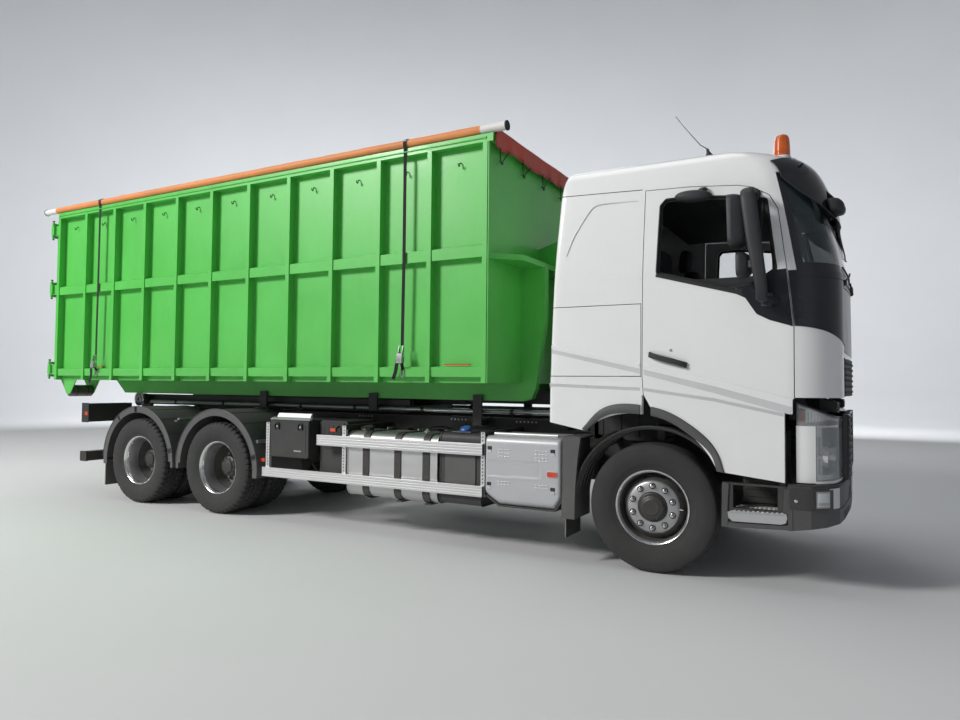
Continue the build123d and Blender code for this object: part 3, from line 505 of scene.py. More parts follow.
def curve_through(pts, steps, closed=False):
    """Catmull-Rom points through the given ones."""
    pts = [Vector(p) for p in pts]
    n = len(pts)
    out = []
    for i in range(n if closed else n - 1):
        p0 = pts[(i - 1) % n] if closed or i > 0 else pts[0] * 2 - pts[1]
        p1, p2 = pts[i], pts[(i + 1) % n]
        p3 = pts[(i + 2) % n] if closed or i + 2 < n else p2 * 2 - p1
        for k in range(steps):
            t = k / steps
            out.append(0.5 * ((2 * p1) + (p2 - p0) * t + (2 * p0 - 5 * p1 + 4 * p2 - p3) * t * t
                              + (3 * p1 - p0 - 3 * p2 + p3) * t ** 3))
    if not closed:
        out.append(pts[-1])
    return out


def soften(ob, width, segments=2, angle=38):
    b = ob.modifiers.new("edges", "BEVEL")
    b.width = width
    b.segments = segments
    b.limit_method = "ANGLE"
    b.angle_limit = math.radians(angle)
    b.harden_normals = True
    b.use_clamp_overlap = True
    return ob


def dress(node, mats, bevel=0.003, segments=2, slot=None, angle=38):
    """Finish for a construction node that stays as it is."""
    ob = NODES[node]
    ob.data.materials.clear()
    for k in (mats if isinstance(mats, (list, tuple)) else [mats]):
        ob.data.materials.append(MATS[k])
    for p in ob.data.polygons:
        p.material_index = 0
        p.use_smooth = True
    ob.data.set_sharp_from_angle(angle=math.radians(angle))
    if bevel:
        soften(ob, bevel, segments, angle)
    return ob


# ------------------------------------------------------------------ wheels
def tyre_half(drive):
    """(half width, radius) from bead to crown."""
    side = [(0.100, 0.2865), (0.1145, 0.288), (0.1185, 0.297), (0.1275, 0.311),
            (0.1290, 0.318), (0.1355, 0.329), (0.1440, 0.350), (0.1450, 0.354),
            (0.1505, 0.378), (0.1550, 0.405), (0.1545, 0.428), (0.1530, 0.444),
            (0.1500, 0.455), (0.1500, 0.461), (0.1470, 0.470)]
    if drive:
        tread = [(0.1450, 0.480), (0.1400, 0.492), (0.1330, 0.5015), (0.1210, 0.5070),
                 (0.0950, 0.5090), (0.0925, 0.4960), (0.0830, 0.4960), (0.0805, 0.5100),
                 (0.0330, 0.5115), (0.0310, 0.4980), (0.0220, 0.4980), (0.0200, 0.5120)]
    else:
        tread = [(0.1440, 0.482), (0.1385, 0.494), (0.1290, 0.5025), (0.1180, 0.5065),
                 (0.0930, 0.5090), (0.0915, 0.4970), (0.0850, 0.4970), (0.0835, 0.5097),
                 (0.0360, 0.5115), (0.0345, 0.4990), (0.0270, 0.4990), (0.0255, 0.5120)]
    return side + tread


def tyre_shape(sh, s, y, drive):
    half = tyre_half(drive)
    prof = half + [(-w, r) for w, r in reversed(half)]
    m = len(prof)
    n = 240 if drive else 200

    def notch(i, j, h, r):
        if drive:
            outer = i % 5 == 0
            inner = (i + 2) % 5 == 0
            if abs(h) > 0.094 and r > 0.476 and outer:
                return h * 0.992, r - 0.0125
            if 0.020 < abs(h) < 0.0806 and r > 0.505 and inner:
                return h, r - 0.010
            if abs(h) < 0.0215 and r > 0.505 and i % 5 == 1:
                return h, r - 0.008
        else:
            if abs(h) > 0.125 and r > 0.499 and i % 4 == 0:
                return h * 0.995, r - 0.003
        return h, r
    sh.lathe(P(s, y, 0.512), (0, 1, 0), prof, n, closed=True, notch=notch)


def nuts(sh, s, y, side, r, count, mat, collar, size=0.0165, height=0.036):
    for k in range(count):
        a = 2 * math.pi * (k + 0.5) / count
        p = P(s + r * math.cos(a), y, 0.512 + r * math.sin(a))
        ax = (0, side, 0)
        sh.lathe(p, ax, [(0.0, 0), (0.0, size * 1.62), (0.004, size * 1.62), (0.0045, size * 1.3),
                         (0.0045, 0)], 16, collar)
        sh.lathe(p, ax, [(0.002, size * 1.15), (0.008, size * 1.1), (0.009, size),
                         (height - 0.010, size * 0.93), (height - 0.003, size * 0.72),
                         (height, size * 0.3), (height, 0)], 12, mat)


def front_rim(side, name):
    sh = Shape()
    c = P(0, 0, 0.512)
    out = [(0.904, 0.2965), (0.914, 0.2965), (0.918, 0.288), (1.142, 0.288), (1.146, 0.2965),
           (1.153, 0.2968), (1.156, 0.2940), (1.154, 0.2860), (1.146, 0.2790), (1.120, 0.2700),
           (1.060, 0.2640), (1.045, 0.2590), (1.060, 0.2500), (1.092, 0.2280), (1.110, 0.2110),
           (1.122, 0.2030), (1.128, 0.1930), (1.1285, 0.1210), (1.124, 0.1160),
           (1.106, 0.1160), (1.106, 0.1850), (1.096, 0.1960), (1.030, 0.2470), (0.990, 0.2560),
           (0.930, 0.2640), (0.908, 0.2750), (0.904, 0.2870)]
    mats = [0, 0, 0, 0, 1, 1, 1, 1, 0, 2, 2, 2, 2, 2, 0, 0, 0, 0, 0] + [2] * 8
    sh.lathe(c, (0, side, 0), out, 96, mats=mats, closed=True)
    # hand holes in the slope of the disc, drawn as dark discs: painted shade of the openings
    for k in range(10):
        a = 2 * math.pi * k / 10
        d = Vector((math.cos(a), 0, math.sin(a)))
        p = c + d * 0.236 + Vector((0, side * 1.0745, 0))
        nrm = (Vector((0, side, 0)) * 0.60 + d * 0.80).normalized()
        sh.lathe(p + nrm * 0.0015, nrm, [(0.0, 0.0), (0.0, 0.0150), (0.0010, 0.0175),
                                         (0.0022, 0.0165), (0.0022, 0.0)], 16, 3)
    # hub with its cap
    sh.lathe(c, (0, side, 0), [(1.100, 0.1150), (1.131, 0.1130), (1.133, 0.1080),
                               (1.136, 0.1040), (1.155, 0.0980), (1.163, 0.0900),
                               (1.166, 0.0780), (1.168, 0.0640), (1.172, 0.0600),
                               (1.172, 0.0)], 48, 3)
    for k in range(6):
        a = 2 * math.pi * k / 6
        sh.bolt(c + Vector((0.092 * math.cos(a), side * 1.158, 0.092 * math.sin(a))),
                (0, side, 0), 0.006, 0.006, 3)
    nuts(sh, 0, side * 1.128, side, 0.1675, 10, 4, 3)
    # valve
    sh.tube([P(0.20, side * 1.115, 0.51), P(0.22, side * 1.135, 0.51), P(0.245, side * 1.14, 0.51)],
            0.004, 8, 4, smooth_steps=3)
    return sh.make(name, ["rim_silver", "rim_bright", "rim_shadow", "hub_iron", "nut_chrome"],
                   "front_right_wheel" if side < 0 else "front_left_wheel",
                   replaces=[name_of_rim(side)])


def name_of_rim(side):
    return "front_right_rim" if side < 0 else "front_left_rim"


def rear_rims(s, side, body, node):
    sh = Shape()
    c = P(s, 0, 0.512)
    barrel = [(1.211, 0.2935), (1.208, 0.2968), (1.201, 0.2965), (1.197, 0.288), (0.973, 0.288),
              (0.969, 0.2965), (0.962, 0.2965), (0.959, 0.290), (0.961, 0.276), (0.985, 0.267),
              (1.020, 0.262)]
    disc = [(1.030, 0.262), (1.00, 0.258), (0.935, 0.236), (0.912, 0.222), (0.901, 0.203),
            (0.8985, 0.190), (0.8985, 0.120)]
    disc_face = [(0.925, 0.120), (0.9255, 0.192), (0.931, 0.207), (0.945, 0.219),
                 (1.005, 0.243), (1.045, 0.2505), (1.090, 0.2570), (1.165, 0.2660),
                 (1.190, 0.2735), (1.206, 0.2830)]
    prof = barrel + disc + disc_face
    mats = [1] * 3 + [0] * 7 + [2] * 9 + [2] * 4 + [0] * 2 + [1] * 3
    sh.lathe(c, (0, side, 0), prof, 96, mats=mats, closed=True)
    inner = [(0.609, 0.2965), (0.616, 0.2965), (0.620, 0.288), (0.848, 0.288), (0.852, 0.2965),
             (0.859, 0.2965), (0.861, 0.285), (0.850, 0.270), (0.845, 0.262), (0.872, 0.240),
             (0.889, 0.215), (0.8935, 0.190), (0.8935, 0.120), (0.868, 0.120), (0.868, 0.188),
             (0.862, 0.205), (0.835, 0.235), (0.795, 0.252), (0.700, 0.262), (0.625, 0.268),
             (0.611, 0.280)]
    sh.lathe(c, (0, side, 0), inner, 72, mat=0, closed=True)
    # hub, stepped, with the flange bolts of the half shaft
    sh.lathe(c, (0, side, 0), [(0.870, 0.1190), (0.945, 0.1180), (0.950, 0.1140),
                               (1.030, 0.1100), (1.036, 0.1140), (1.050, 0.1140),
                               (1.055, 0.1080), (1.060, 0.0800), (1.075, 0.0720),
                               (1.082, 0.0500), (1.084, 0.0)], 48, 3)
    for k in range(10):
        a = 2 * math.pi * k / 10
        sh.bolt(c + Vector((0.098 * math.cos(a), side * 1.052, 0.098 * math.sin(a))),
                (0, side, 0), 0.0085, 0.014, 3)
        # hand hole, drawn as a dark disc: painted shade of the opening
        a += math.pi / 10
        d = Vector((math.cos(a), 0, math.sin(a)))
        nrm = (Vector((0, side, 0)) * 0.92 + d * -0.38).normalized()
        p = c + d * 0.2215 + Vector((0, side * 0.9515, 0))
        sh.lathe(p, nrm, [(0.0, 0.0), (0.0, 0.0180), (0.0012, 0.0205), (0.0032, 0.0190),
                          (0.0032, 0.0)], 16, 4)
    nuts(sh, s, side * 0.925, side, 0.1675, 10, 5, 3, height=0.040)
    return sh.make(node + "_looks", ["rim_silver", "rim_bright", "rim_shadow", "hub_iron",
                                     "black_rubber", "galvanised"], body,
                   replaces=[node])


for side, word in ((-1, "right"), (1, "left")):
    sh = Shape()
    tyre_shape(sh, 0, side * 1.030, False)
    sh.make("front_%s_tyre_looks" % word, ["tyre_rubber"], "front_%s_wheel" % word, angle=30,
            replaces=["front_%s_tyre" % word])
    front_rim(side, "front_%s_rim_looks" % word)
    for axle, s in (("drive", -4.900), ("rear", -6.270)):
        sh = Shape()
        tyre_shape(sh, s, side * 1.085, True)
        tyre_shape(sh, s, side * 0.735, True)
        sh.make("%s_%s_tyres_looks" % (axle, word), ["tyre_rubber"],
                "%s_%s_wheels" % (axle, word), angle=30,
                replaces=["%s_%s_tyres" % (axle, word)])
        rear_rims(s, side, "%s_%s_wheels" % (axle, word), "%s_%s_rims" % (axle, word))

# --------------------------------------------------------------------- cab
def spline(points):
    """Monotone cubic through (x, y) points."""
    xs, ys = [p[0] for p in points], [p[1] for p in points]
    n = len(xs)
    d = [(ys[i + 1] - ys[i]) / (xs[i + 1] - xs[i]) for i in range(n - 1)]
    m = [d[0]] + [0.0 if d[i - 1] * d[i] <= 0 else 2 * d[i - 1] * d[i] / (d[i - 1] + d[i])
                  for i in range(1, n - 1)] + [d[-1]]

    def f(x):
        x = min(max(x, xs[0]), xs[-1])
        i = 0
        while i < n - 2 and x > xs[i + 1]:
            i += 1
        h = xs[i + 1] - xs[i]
        t = (x - xs[i]) / h
        return ((2 * t ** 3 - 3 * t * t + 1) * ys[i] + (t ** 3 - 2 * t * t + t) * h * m[i]
                + (3 * t * t - 2 * t ** 3) * ys[i + 1] + (t ** 3 - t * t) * h * m[i + 1])
    return f


REAR = spline([(0.70, -0.858), (1.40, -0.852), (2.25, -0.823), (3.02, -0.772), (3.14, -0.762),
               (3.24, -0.742), (3.305, -0.700)])
FRONT = spline([(0.70, 1.385), (1.40, 1.385), (2.25, 1.380), (3.02, 1.185), (3.14, 1.125),
                (3.20, 1.060), (3.25, 0.950), (3.28, 0.830), (3.305, 0.620)])
TURN = spline([(0.70, 1.015), (1.40, 1.015), (2.25, 1.000), (3.02, 0.860), (3.14, 0.800),
               (3.20, 0.740), (3.25, 0.640), (3.28, 0.520), (3.305, 0.320)])
HALF = spline([(0.70, 1.245), (1.40, 1.245), (2.25, 1.245), (3.02, 1.212), (3.14, 1.190),
               (3.20, 1.172), (3.25, 1.142), (3.28, 1.105), (3.305, 1.030)])


def circle3(a, b, c):
    """Centre, radius, first angle and sweep of the arc from a through b to c."""
    ax, ay, bx, by, cx, cy = *a, *b, *c
    d = 2 * (ax * (by - cy) + bx * (cy - ay) + cx * (ay - by))
    ux = ((ax * ax + ay * ay) * (by - cy) + (bx * bx + by * by) * (cy - ay)
          + (cx * cx + cy * cy) * (ay - by)) / d
    uy = ((ax * ax + ay * ay) * (cx - bx) + (bx * bx + by * by) * (ax - cx)
          + (cx * cx + cy * cy) * (bx - ax)) / d
    a0, a1 = math.atan2(ay - uy, ax - ux), math.atan2(cy - uy, cx - ux)
    return ux, uy, math.hypot(ax - ux, ay - uy), a0, a1 - a0


def arcs(z, inset=0.0):
    f, t, w = FRONT(z) - inset, TURN(z), HALF(z) - inset
    q = f - 0.05
    cx = t + 0.8 * (q + inset - t) - inset
    return (circle3((t, w), (cx, 0.78 + (w - 0.78) * 0.72), (q, 0.76)),
            circle3((q, 0.76), (f, 0.0), (q, -0.76)))


def outline_at(z, t, inset=0.0, cache={}):
    """(s, y) on the +y half of a level section. t below 0 is metres behind the turn,
    0 to 1 the corner, 1 to 2 the front from the corner to the middle."""
    if t < 0:
        return TURN(z) + t, HALF(z) - inset
    key = (z, inset)
    if key not in cache:
        cache[key] = arcs(z, inset)
    c, f = cache[key]
    if t <= 1:
        a = c[3] + c[4] * t
        return c[0] + c[2] * math.cos(a), c[1] + c[2] * math.sin(a)
    a = f[3] + f[4] * (t - 1) * 0.5
    return f[0] + f[2] * math.cos(a), f[1] + f[2] * math.sin(a)


def skin(z, t, off=0.0, side=1):
    """Point on the cab's outer surface, moved outward by off."""
    if t > 2:
        t, side = 4 - t, -side
    s, y = outline_at(z, t)
    if off:
        h = 0.004
        s1, y1 = outline_at(z, t + h) if t < 1.99 else (s, y - h)
        s0, y0 = outline_at(z, t - h)
        if t >= 1.99:
            s1 = s0
            y1 = y0 - 2 * h
        za, zb = z - h, min(z + h, 3.305)
        sa, ya = outline_at(za, t)
        sb, yb = outline_at(zb, t)
        nrm = Vector((s1 - s0, y1 - y0, 0)).cross(Vector((sb - sa, yb - ya, zb - za)))
        nrm.normalize()
        if nrm.x * 0.6 + nrm.y < 0 and t < 1 or t >= 1 and nrm.x < 0:
            nrm = -nrm
        s, y, z = s + nrm.x * off, y + nrm.y * off, z + nrm.z * off
    return P(s, side * y, z)


def t_of_s(z, s):
    if s <= TURN(z):
        return s - TURN(z)
    lo, hi = 0.0, 1.0
    for _ in range(30):
        mid = (lo + hi) / 2
        if outline_at(z, mid)[0] < s:
            lo = mid
        else:
            hi = mid
    return lo


def t_of_y(z, y):
    y = abs(y)
    lo, hi = (0.0, 1.0) if y > 0.76 else (1.0, 2.0)
    for _ in range(30):
        mid = (lo + hi) / 2
        if outline_at(z, mid)[1] > y:
            lo = mid
        else:
            hi = mid
    return lo


def slab(sh, fn, nu, nv, d0, d1, mat=0, side=1, edge_mat=None):
    """Closed sheet over the cab's skin. fn(u, v) gives (z, t); d0 and d1 are how far out
    its back and its face lie, as numbers or as functions of (u, v)."""
    def grid(d):
        out = []
        for j in range(nv + 1):
            for i in range(nu + 1):
                u, v = i / nu, j / nv
                z, t = fn(u, v)
                out.append(skin(z, t, d(u, v) if callable(d) else d, side))
        return out
    top, bot = grid(d1), grid(d0)
    n = nu + 1
    k = len(top)
    faces, mats = [], []
    for j in range(nv):
        for i in range(nu):
            a = j * n + i
            m = mat((i + 0.5) / nu, (j + 0.5) / nv) if callable(mat) else mat
            faces += [(a, a + 1, a + n + 1, a + n), (k + a, k + a + n, k + a + n + 1, k + a + 1)]
            mats += [m, m]
    rim = ([(i, 0) for i in range(nu)] + [(nu, j) for j in range(nv)]
           + [(i, nv) for i in range(nu, 0, -1)] + [(0, j) for j in range(nv, 0, -1)])
    m = edge_mat if edge_mat is not None else (mat if not callable(mat) else mat(0.5, 0.5))
    for (i, j), (i2, j2) in zip(rim, rim[1:] + rim[:1]):
        a, b = j * n + i, j2 * n + i2
        faces.append((a, b, k + b, k + a))
        mats.append(m)
    base = len(sh.v)
    sh.v += [tuple(p) for p in top + bot]
    sh.f += [tuple(x + base for x in f) for f in faces]
    sh.m += mats
    sh.s += [True] * len(faces)


def between_lines(low, high, s0, s1):
    """Patch on the side between two z(s) lines, for slab."""
    def fn(u, v):
        s = s0 + (s1 - s0) * u
        z = low(s) + (high(s) - low(s)) * v
        return z, t_of_s(z, s)
    return fn


def line(*pts):
    """Straight stretches through (s, z) points as a z(s) function."""
    def f(s):
        if s <= pts[0][0]:
            return pts[0][1]
        for (a, za), (b, zb) in zip(pts[:-1], pts[1:]):
            if s <= b:
                return za + (zb - za) * (s - a) / (b - a)
        return pts[-1][1]
    return f


def mm(pts):
    return [(a / 1000, b / 1000) for a, b in pts]


def grow(outline, d):
    """Polygon moved outward by d, corners kept sharp."""
    n = len(outline)
    area2 = sum(outline[i][0] * outline[(i + 1) % n][1] - outline[(i + 1) % n][0] * outline[i][1]
                for i in range(n))
    sgn = 1 if area2 > 0 else -1
    out = []
    for i in range(n):
        a, b, c = (Vector(outline[(i + k) % n]) for k in (-1, 0, 1))
        e0, e1 = (b - a).normalized(), (c - b).normalized()
        n0, n1 = Vector((e0.y, -e0.x)) * sgn, Vector((e1.y, -e1.x)) * sgn
        m = (n0 + n1)
        m = m / max(0.3, m.length_squared / 2)
        out.append(tuple(b + m * d))
    return out


def rounded(outline, r, steps=5):
    """Polygon with its corners rounded by radius r."""
    out = []
    n = len(outline)
    for i in range(n):
        a, b, c = (Vector(outline[(i + k) % n]) for k in (-1, 0, 1))
        e0, e1 = (a - b), (c - b)
        ang = e0.angle(e1)
        d = min(r / math.tan(ang / 2), e0.length * 0.45, e1.length * 0.45)
        p, q = b + e0.normalized() * d, b + e1.normalized() * d
        if ang > math.radians(172):
            out.append(tuple(b))
            continue
        for k in range(steps + 1):
            t = k / steps
            out.append(tuple(p * (1 - t) ** 2 + b * 2 * t * (1 - t) + q * t * t))
    return out


def arc_points(a, b, c, n):
    cx, cy, r, a0, sweep = circle3(a, b, c)
    return [(cx + r * math.cos(a0 + sweep * k / n), cy + r * math.sin(a0 + sweep * k / n))
            for k in range(n + 1)]


ARCH = arc_points((0.518, 0.842), (0.330, 1.096), (0.018, 1.241), 14)
DOOR = (mm([(773, 2955), (885, 2882), (942, 2775), (1005, 2298), (1045, 1916), (1045, 1395),
            (982, 1330), (982, 789), (569, 835)]) + ARCH
        + mm([(18, 1300), (-40, 1405), (-50, 1546), (-47, 2331), (-31, 3030), (314, 3018),
              (667, 2984)]))
WINDOW = mm([(62, 2355), (88, 2895), (130, 2942), (330, 2942), (630, 2905), (868, 2858),
             (932, 2330), (780, 2230), (600, 2205)])
LOCKER = mm([(-832, 1552), (-66, 1552), (-66, 2122), (-822, 2122)])
SCREEN = mm([(925, 3060), (1600, 3060), (1600, 2310), (1066, 2310), (1030, 2530), (978, 2820)])


def ring(z, inset=0.0):
    """Whole level section, starting behind the middle of the rear wall."""
    r, t, w = REAR(z) + inset, TURN(z), HALF(z) - inset
    rr = 0.045
    half = [(r, w * k / 8 * 0.94) for k in range(8)]
    half += [(r + rr - rr * math.cos(a), w - rr + rr * math.sin(a))
             for a in (math.pi / 2 * k / 6 for k in range(7))]
    n = 44
    half += [(r + rr + (t - r - rr) * k / n, w) for k in range(1, n + 1)]
    half += [outline_at(z, k / 24, inset) for k in range(1, 25)]
    half += [outline_at(z, 1 + k / 12, inset) for k in range(1, 13)]
    return half + [(s, -y) for s, y in reversed(half[1:-1])]


def cab_body():
    """Closed hollow body, open below, with a crowned roof."""
    zs = [0.70 + 0.0407 * k for k in range(61)] + [3.17, 3.195, 3.217, 3.236, 3.252, 3.266,
                                                   3.278, 3.288, 3.297, 3.305]
    inner_zs = [0.70 + 0.127 * k for k in range(20)] + [3.17, 3.21]
    verts, faces = [], []
    rows = []

    def add_ring(points, z):
        rows.append(len(verts))
        verts.extend(P(s, y, z) for s, y in points)

    for z in zs:
        add_ring(ring(z), z)
    last = ring(3.305)
    m = len(last)
    for k, z in ((0.93, 3.3115), (0.82, 3.3185), (0.62, 3.3255), (0.35, 3.3300)):
        add_ring([((s + 0.03) * k - 0.03, y * k) for s, y in last], z)
    outer_top = len(rows) - 1
    verts.append(P(-0.03, 0, 3.3315))
    tip = len(verts) - 1
    for i in range(m):
        faces.append((rows[outer_top] + i, rows[outer_top] + (i + 1) % m, tip))
    for a, b in zip(rows[:outer_top], rows[1:outer_top + 1]):
        for i in range(m):
            j = (i + 1) % m
            faces.append((a + i, a + j, b + j, b + i))
    first_inner = len(rows)
    for z in inner_zs:
        add_ring(ring(z, 0.06), z)
    for a, b in zip(rows[first_inner:-1], rows[first_inner + 1:]):
        for i in range(m):
            j = (i + 1) % m
            faces.append((a + i, b + i, b + j, a + j))
    verts.append(P(-0.03, 0, 3.25))
    tip = len(verts) - 1
    for i in range(m):
        faces.append((rows[-1] + (i + 1) % m, rows[-1] + i, tip))
    for i in range(m):
        j = (i + 1) % m
        faces.append((rows[0] + j, rows[0] + i, rows[first_inner] + i, rows[first_inner] + j))
    me = bpy.data.meshes.new("cab_body")
    me.from_pydata([tuple(p) for p in verts], [], faces)
    bm = bmesh.new()
    bm.from_mesh(me)
    bmesh.ops.recalc_face_normals(bm, faces=bm.faces)
    bm.to_mesh(me)
    bm.free()
    return me


def prism_mesh(outline, axis, a0, a1):
    sh = Shape()
    sh.prism(outline, axis, a0, a1)
    me = bpy.data.meshes.new("cutter")
    me.from_pydata(sh.v, [], sh.f)
    bm = bmesh.new()
    bm.from_mesh(me)
    bmesh.ops.remove_doubles(bm, verts=bm.verts, dist=1e-6)
    bmesh.ops.recalc_face_normals(bm, faces=bm.faces)
    bm.to_mesh(me)
    bm.free()
    return me


def carve(me, steps):
    """Mesh after each (operation, cutter mesh) in turn."""
    scene = bpy.context.scene
    ob = bpy.data.objects.new("carve", me.copy())
    scene.collection.objects.link(ob)
    for op, cutter in steps:
        co = bpy.data.objects.new("cutter", cutter)
        scene.collection.objects.link(co)
        mod = ob.modifiers.new("b", "BOOLEAN")
        mod.operation = op
        mod.solver = "EXACT"
        mod.object = co
        dg = bpy.context.evaluated_depsgraph_get()
        new = bpy.data.meshes.new_from_object(ob.evaluated_get(dg))
        ob.modifiers.clear()
        ob.data = new
        bpy.data.objects.remove(co)
    out = ob.data
    bpy.data.objects.remove(ob)
    return out


def place(me, name, mats, body, bevel=0.0025, replaces=(), slot=None, matfn=None, angle=40):
    bm = bmesh.new()
    bm.from_mesh(me)
    bmesh.ops.remove_doubles(bm, verts=bm.verts, dist=2e-5)
    bmesh.ops.dissolve_degenerate(bm, edges=bm.edges, dist=2e-5)
    bmesh.ops.recalc_face_normals(bm, faces=bm.faces)
    for f in bm.faces:
        f.smooth = True
        f.material_index = matfn(f.calc_center_median(), f.normal) if matfn else 0
    bm.to_mesh(me)
    bm.free()
    me.materials.clear()
    for k in mats:
        me.materials.append(MATS[k])
    me.set_sharp_from_angle(angle=math.radians(angle))
    ob = bpy.data.objects.new(name, me)
    bpy.context.scene.collection.objects.link(ob)
    if bevel:
        soften(ob, bevel, 2, angle)
    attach(ob, body)
    if replaces:
        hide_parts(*replaces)
    return ob


def inner_lining(c, n):
    """1 on faces that look into the cab, 0 on the outside."""
    s, y, z = c.x - FA, c.y, c.z
    if z > 3.14:
        return 1 if z < 3.27 and n.z < 0.2 and HALF(min(z, 3.3)) - abs(y) > 0.03 else 0
    if s < REAR(z) + 0.05:
        return 1 if n.x > 0.5 else 0
    if s > 1.05 and abs(y) < 1.1:
        return 1 if n.x < -0.3 else 0
    return 1 if n.y * (1 if y > 0 else -1) < -0.3 else 0


BODY = cab_body()
cuts = []
for sd in (-1, 1):
    y0, y1 = (1.0, 1.4) if sd > 0 else (-1.4, -1.0)
    cuts.append(("DIFFERENCE", prism_mesh(grow(DOOR, 0.006), "y", y0, y1)))
    cuts.append(("DIFFERENCE", prism_mesh(grow(LOCKER, 0.006), "y", y0, y1)))
# everything below the floor but the rear side panels
side_low = mm([(-852, 1165), (-540, 1105)]) + arc_points((-0.540, 1.105), (-0.300, 1.232),
                                                        (-0.056, 1.250), 10)[1:]
low = ([(-1.2, 0.5), (-1.2, 1.168)] + side_low + [(-0.056, 1.3995), (1.5, 1.3995), (1.5, 0.5)])
cuts.append(("DIFFERENCE", prism_mesh(low, "y", -1.4, 1.4)))
cuts.append(("DIFFERENCE", prism_mesh([(-1.2, 0.5), (1.5, 0.5), (1.5, 1.399), (-1.2, 1.399)], "y",
                                      -1.19, 1.19)))
cuts.append(("DIFFERENCE", prism_mesh(rounded([(-0.866, 1.38), (0.866, 1.38), (0.866, 2.25),
                                               (-0.866, 2.25)], 0.02), "x", 1.19, 1.6)))
cuts.append(("DIFFERENCE", prism_mesh(SCREEN, "y", -1.4, 1.4)))
place(carve(BODY, cuts), "cab_skin", ["white_paint", "cab_lining"], "cab",
      replaces=["cab_shell"], slot="white_paint", matfn=inner_lining)

WIN = rounded(WINDOW, 0.028)
for sd, word in ((-1, "right"), (1, "left")):
    y0, y1 = (1.0, 1.4) if sd > 0 else (-1.4, -1.0)
    me = carve(BODY, [("INTERSECT", prism_mesh(DOOR, "y", y0, y1)),
                      ("DIFFERENCE", prism_mesh(WIN, "y", y0, y1))])
    place(me, word + "_door_skin", ["white_paint", "cab_lining"], word + "_door",
          replaces=[word + "_door"], slot="white_paint", matfn=inner_lining)
    me = carve(BODY, [("INTERSECT", prism_mesh(LOCKER, "y", y0, y1))])
    place(me, word + "_locker_skin", ["white_paint", "cab_lining"], word + "_locker_lid",
          replaces=[word + "_locker_lid"], slot="white_paint", matfn=inner_lining)
me = carve(BODY, [("INTERSECT", prism_mesh(
    rounded([(-0.86, 1.406), (0.86, 1.406), (0.86, 2.244), (-0.86, 2.244)], 0.02), "x",
    1.195, 1.6))])
place(me, "hatch_skin", ["white_paint", "dark_plastic"], "front_hatch",
      replaces=["front_hatch"], slot="white_paint", matfn=inner_lining)

# windscreen, black round its edge
def screen_fn(u, v):
    z = 2.314 + (3.056 - 2.314) * v
    pts = [(2.31, 1.070), (2.53, 1.034), (2.82, 0.982), (3.06, 0.929)]
    s = line(*pts)(z)
    t0 = t_of_s(z, s)
    return z, t0 + (4 - 2 * t0) * u


def screen_mat(u, v):
    return 1 if u < 0.020 or u > 0.980 or v < 0.06 or v > 0.95 else 0


sh = Shape()
slab(sh, screen_fn, 100, 26, -0.010, -0.003, mat=screen_mat, edge_mat=1)
sh.make("windscreen_glass", ["glass", "black_gloss"], "cab",
        replaces=["windscreen"], angle=50)

# black band below the windscreen: on the hatch, on the corners and on the door
def band_low(t):
    """Lower edge of the black band, from the door seam round to the middle."""
    return spline([(-0.4, 1.925), (0.1, 1.912), (0.35, 1.885), (0.75, 1.800), (1.0, 1.765),
                   (1.4, 1.735), (2.0, 1.725)])(t)


sh = Shape()
for sd in (-1, 1):
    def corner_fn(u, v):
        z0 = band_low(0.75 * u + 0.1)
        z1 = 2.316
        z = z0 + (z1 - z0) * v
        ta, tb = t_of_s(z, 1.0525 if z < 1.92 else 1.0525 - (z - 1.916) * 0.1043), t_of_y(z, 0.868)
        t = ta + (tb - ta) * u
        z0 = band_low(t)
        z = z0 + (z1 - z0) * v
        return z, t
    slab(sh, corner_fn, 24, 12, -0.004, 0.004, mat=0, side=sd)
    slab(sh, lambda u, v: (2.262 + 0.006 * v, t_of_s(2.26, 1.055) + (0.98 - t_of_s(2.26, 1.055)) * u),
         20, 1, 0.0035, 0.0046, mat=1, side=sd)
sh.make("corner_black_bands", ["black_gloss", "black_rubber"], "cab", bevel=0.0015,
        angle=40)
sh = Shape()
def hatch_band(u, v):
    t0 = t_of_y(1.85, 0.858)
    t = t0 + (4 - 2 * t0) * u
    z0 = band_low(t if t < 2 else 4 - t)
    return z0 + (2.242 - z0) * v, t
slab(sh, hatch_band, 60, 10, -0.004, 0.004)
sh.make("hatch_black_band", ["black_gloss"], "front_hatch", bevel=0.0015)
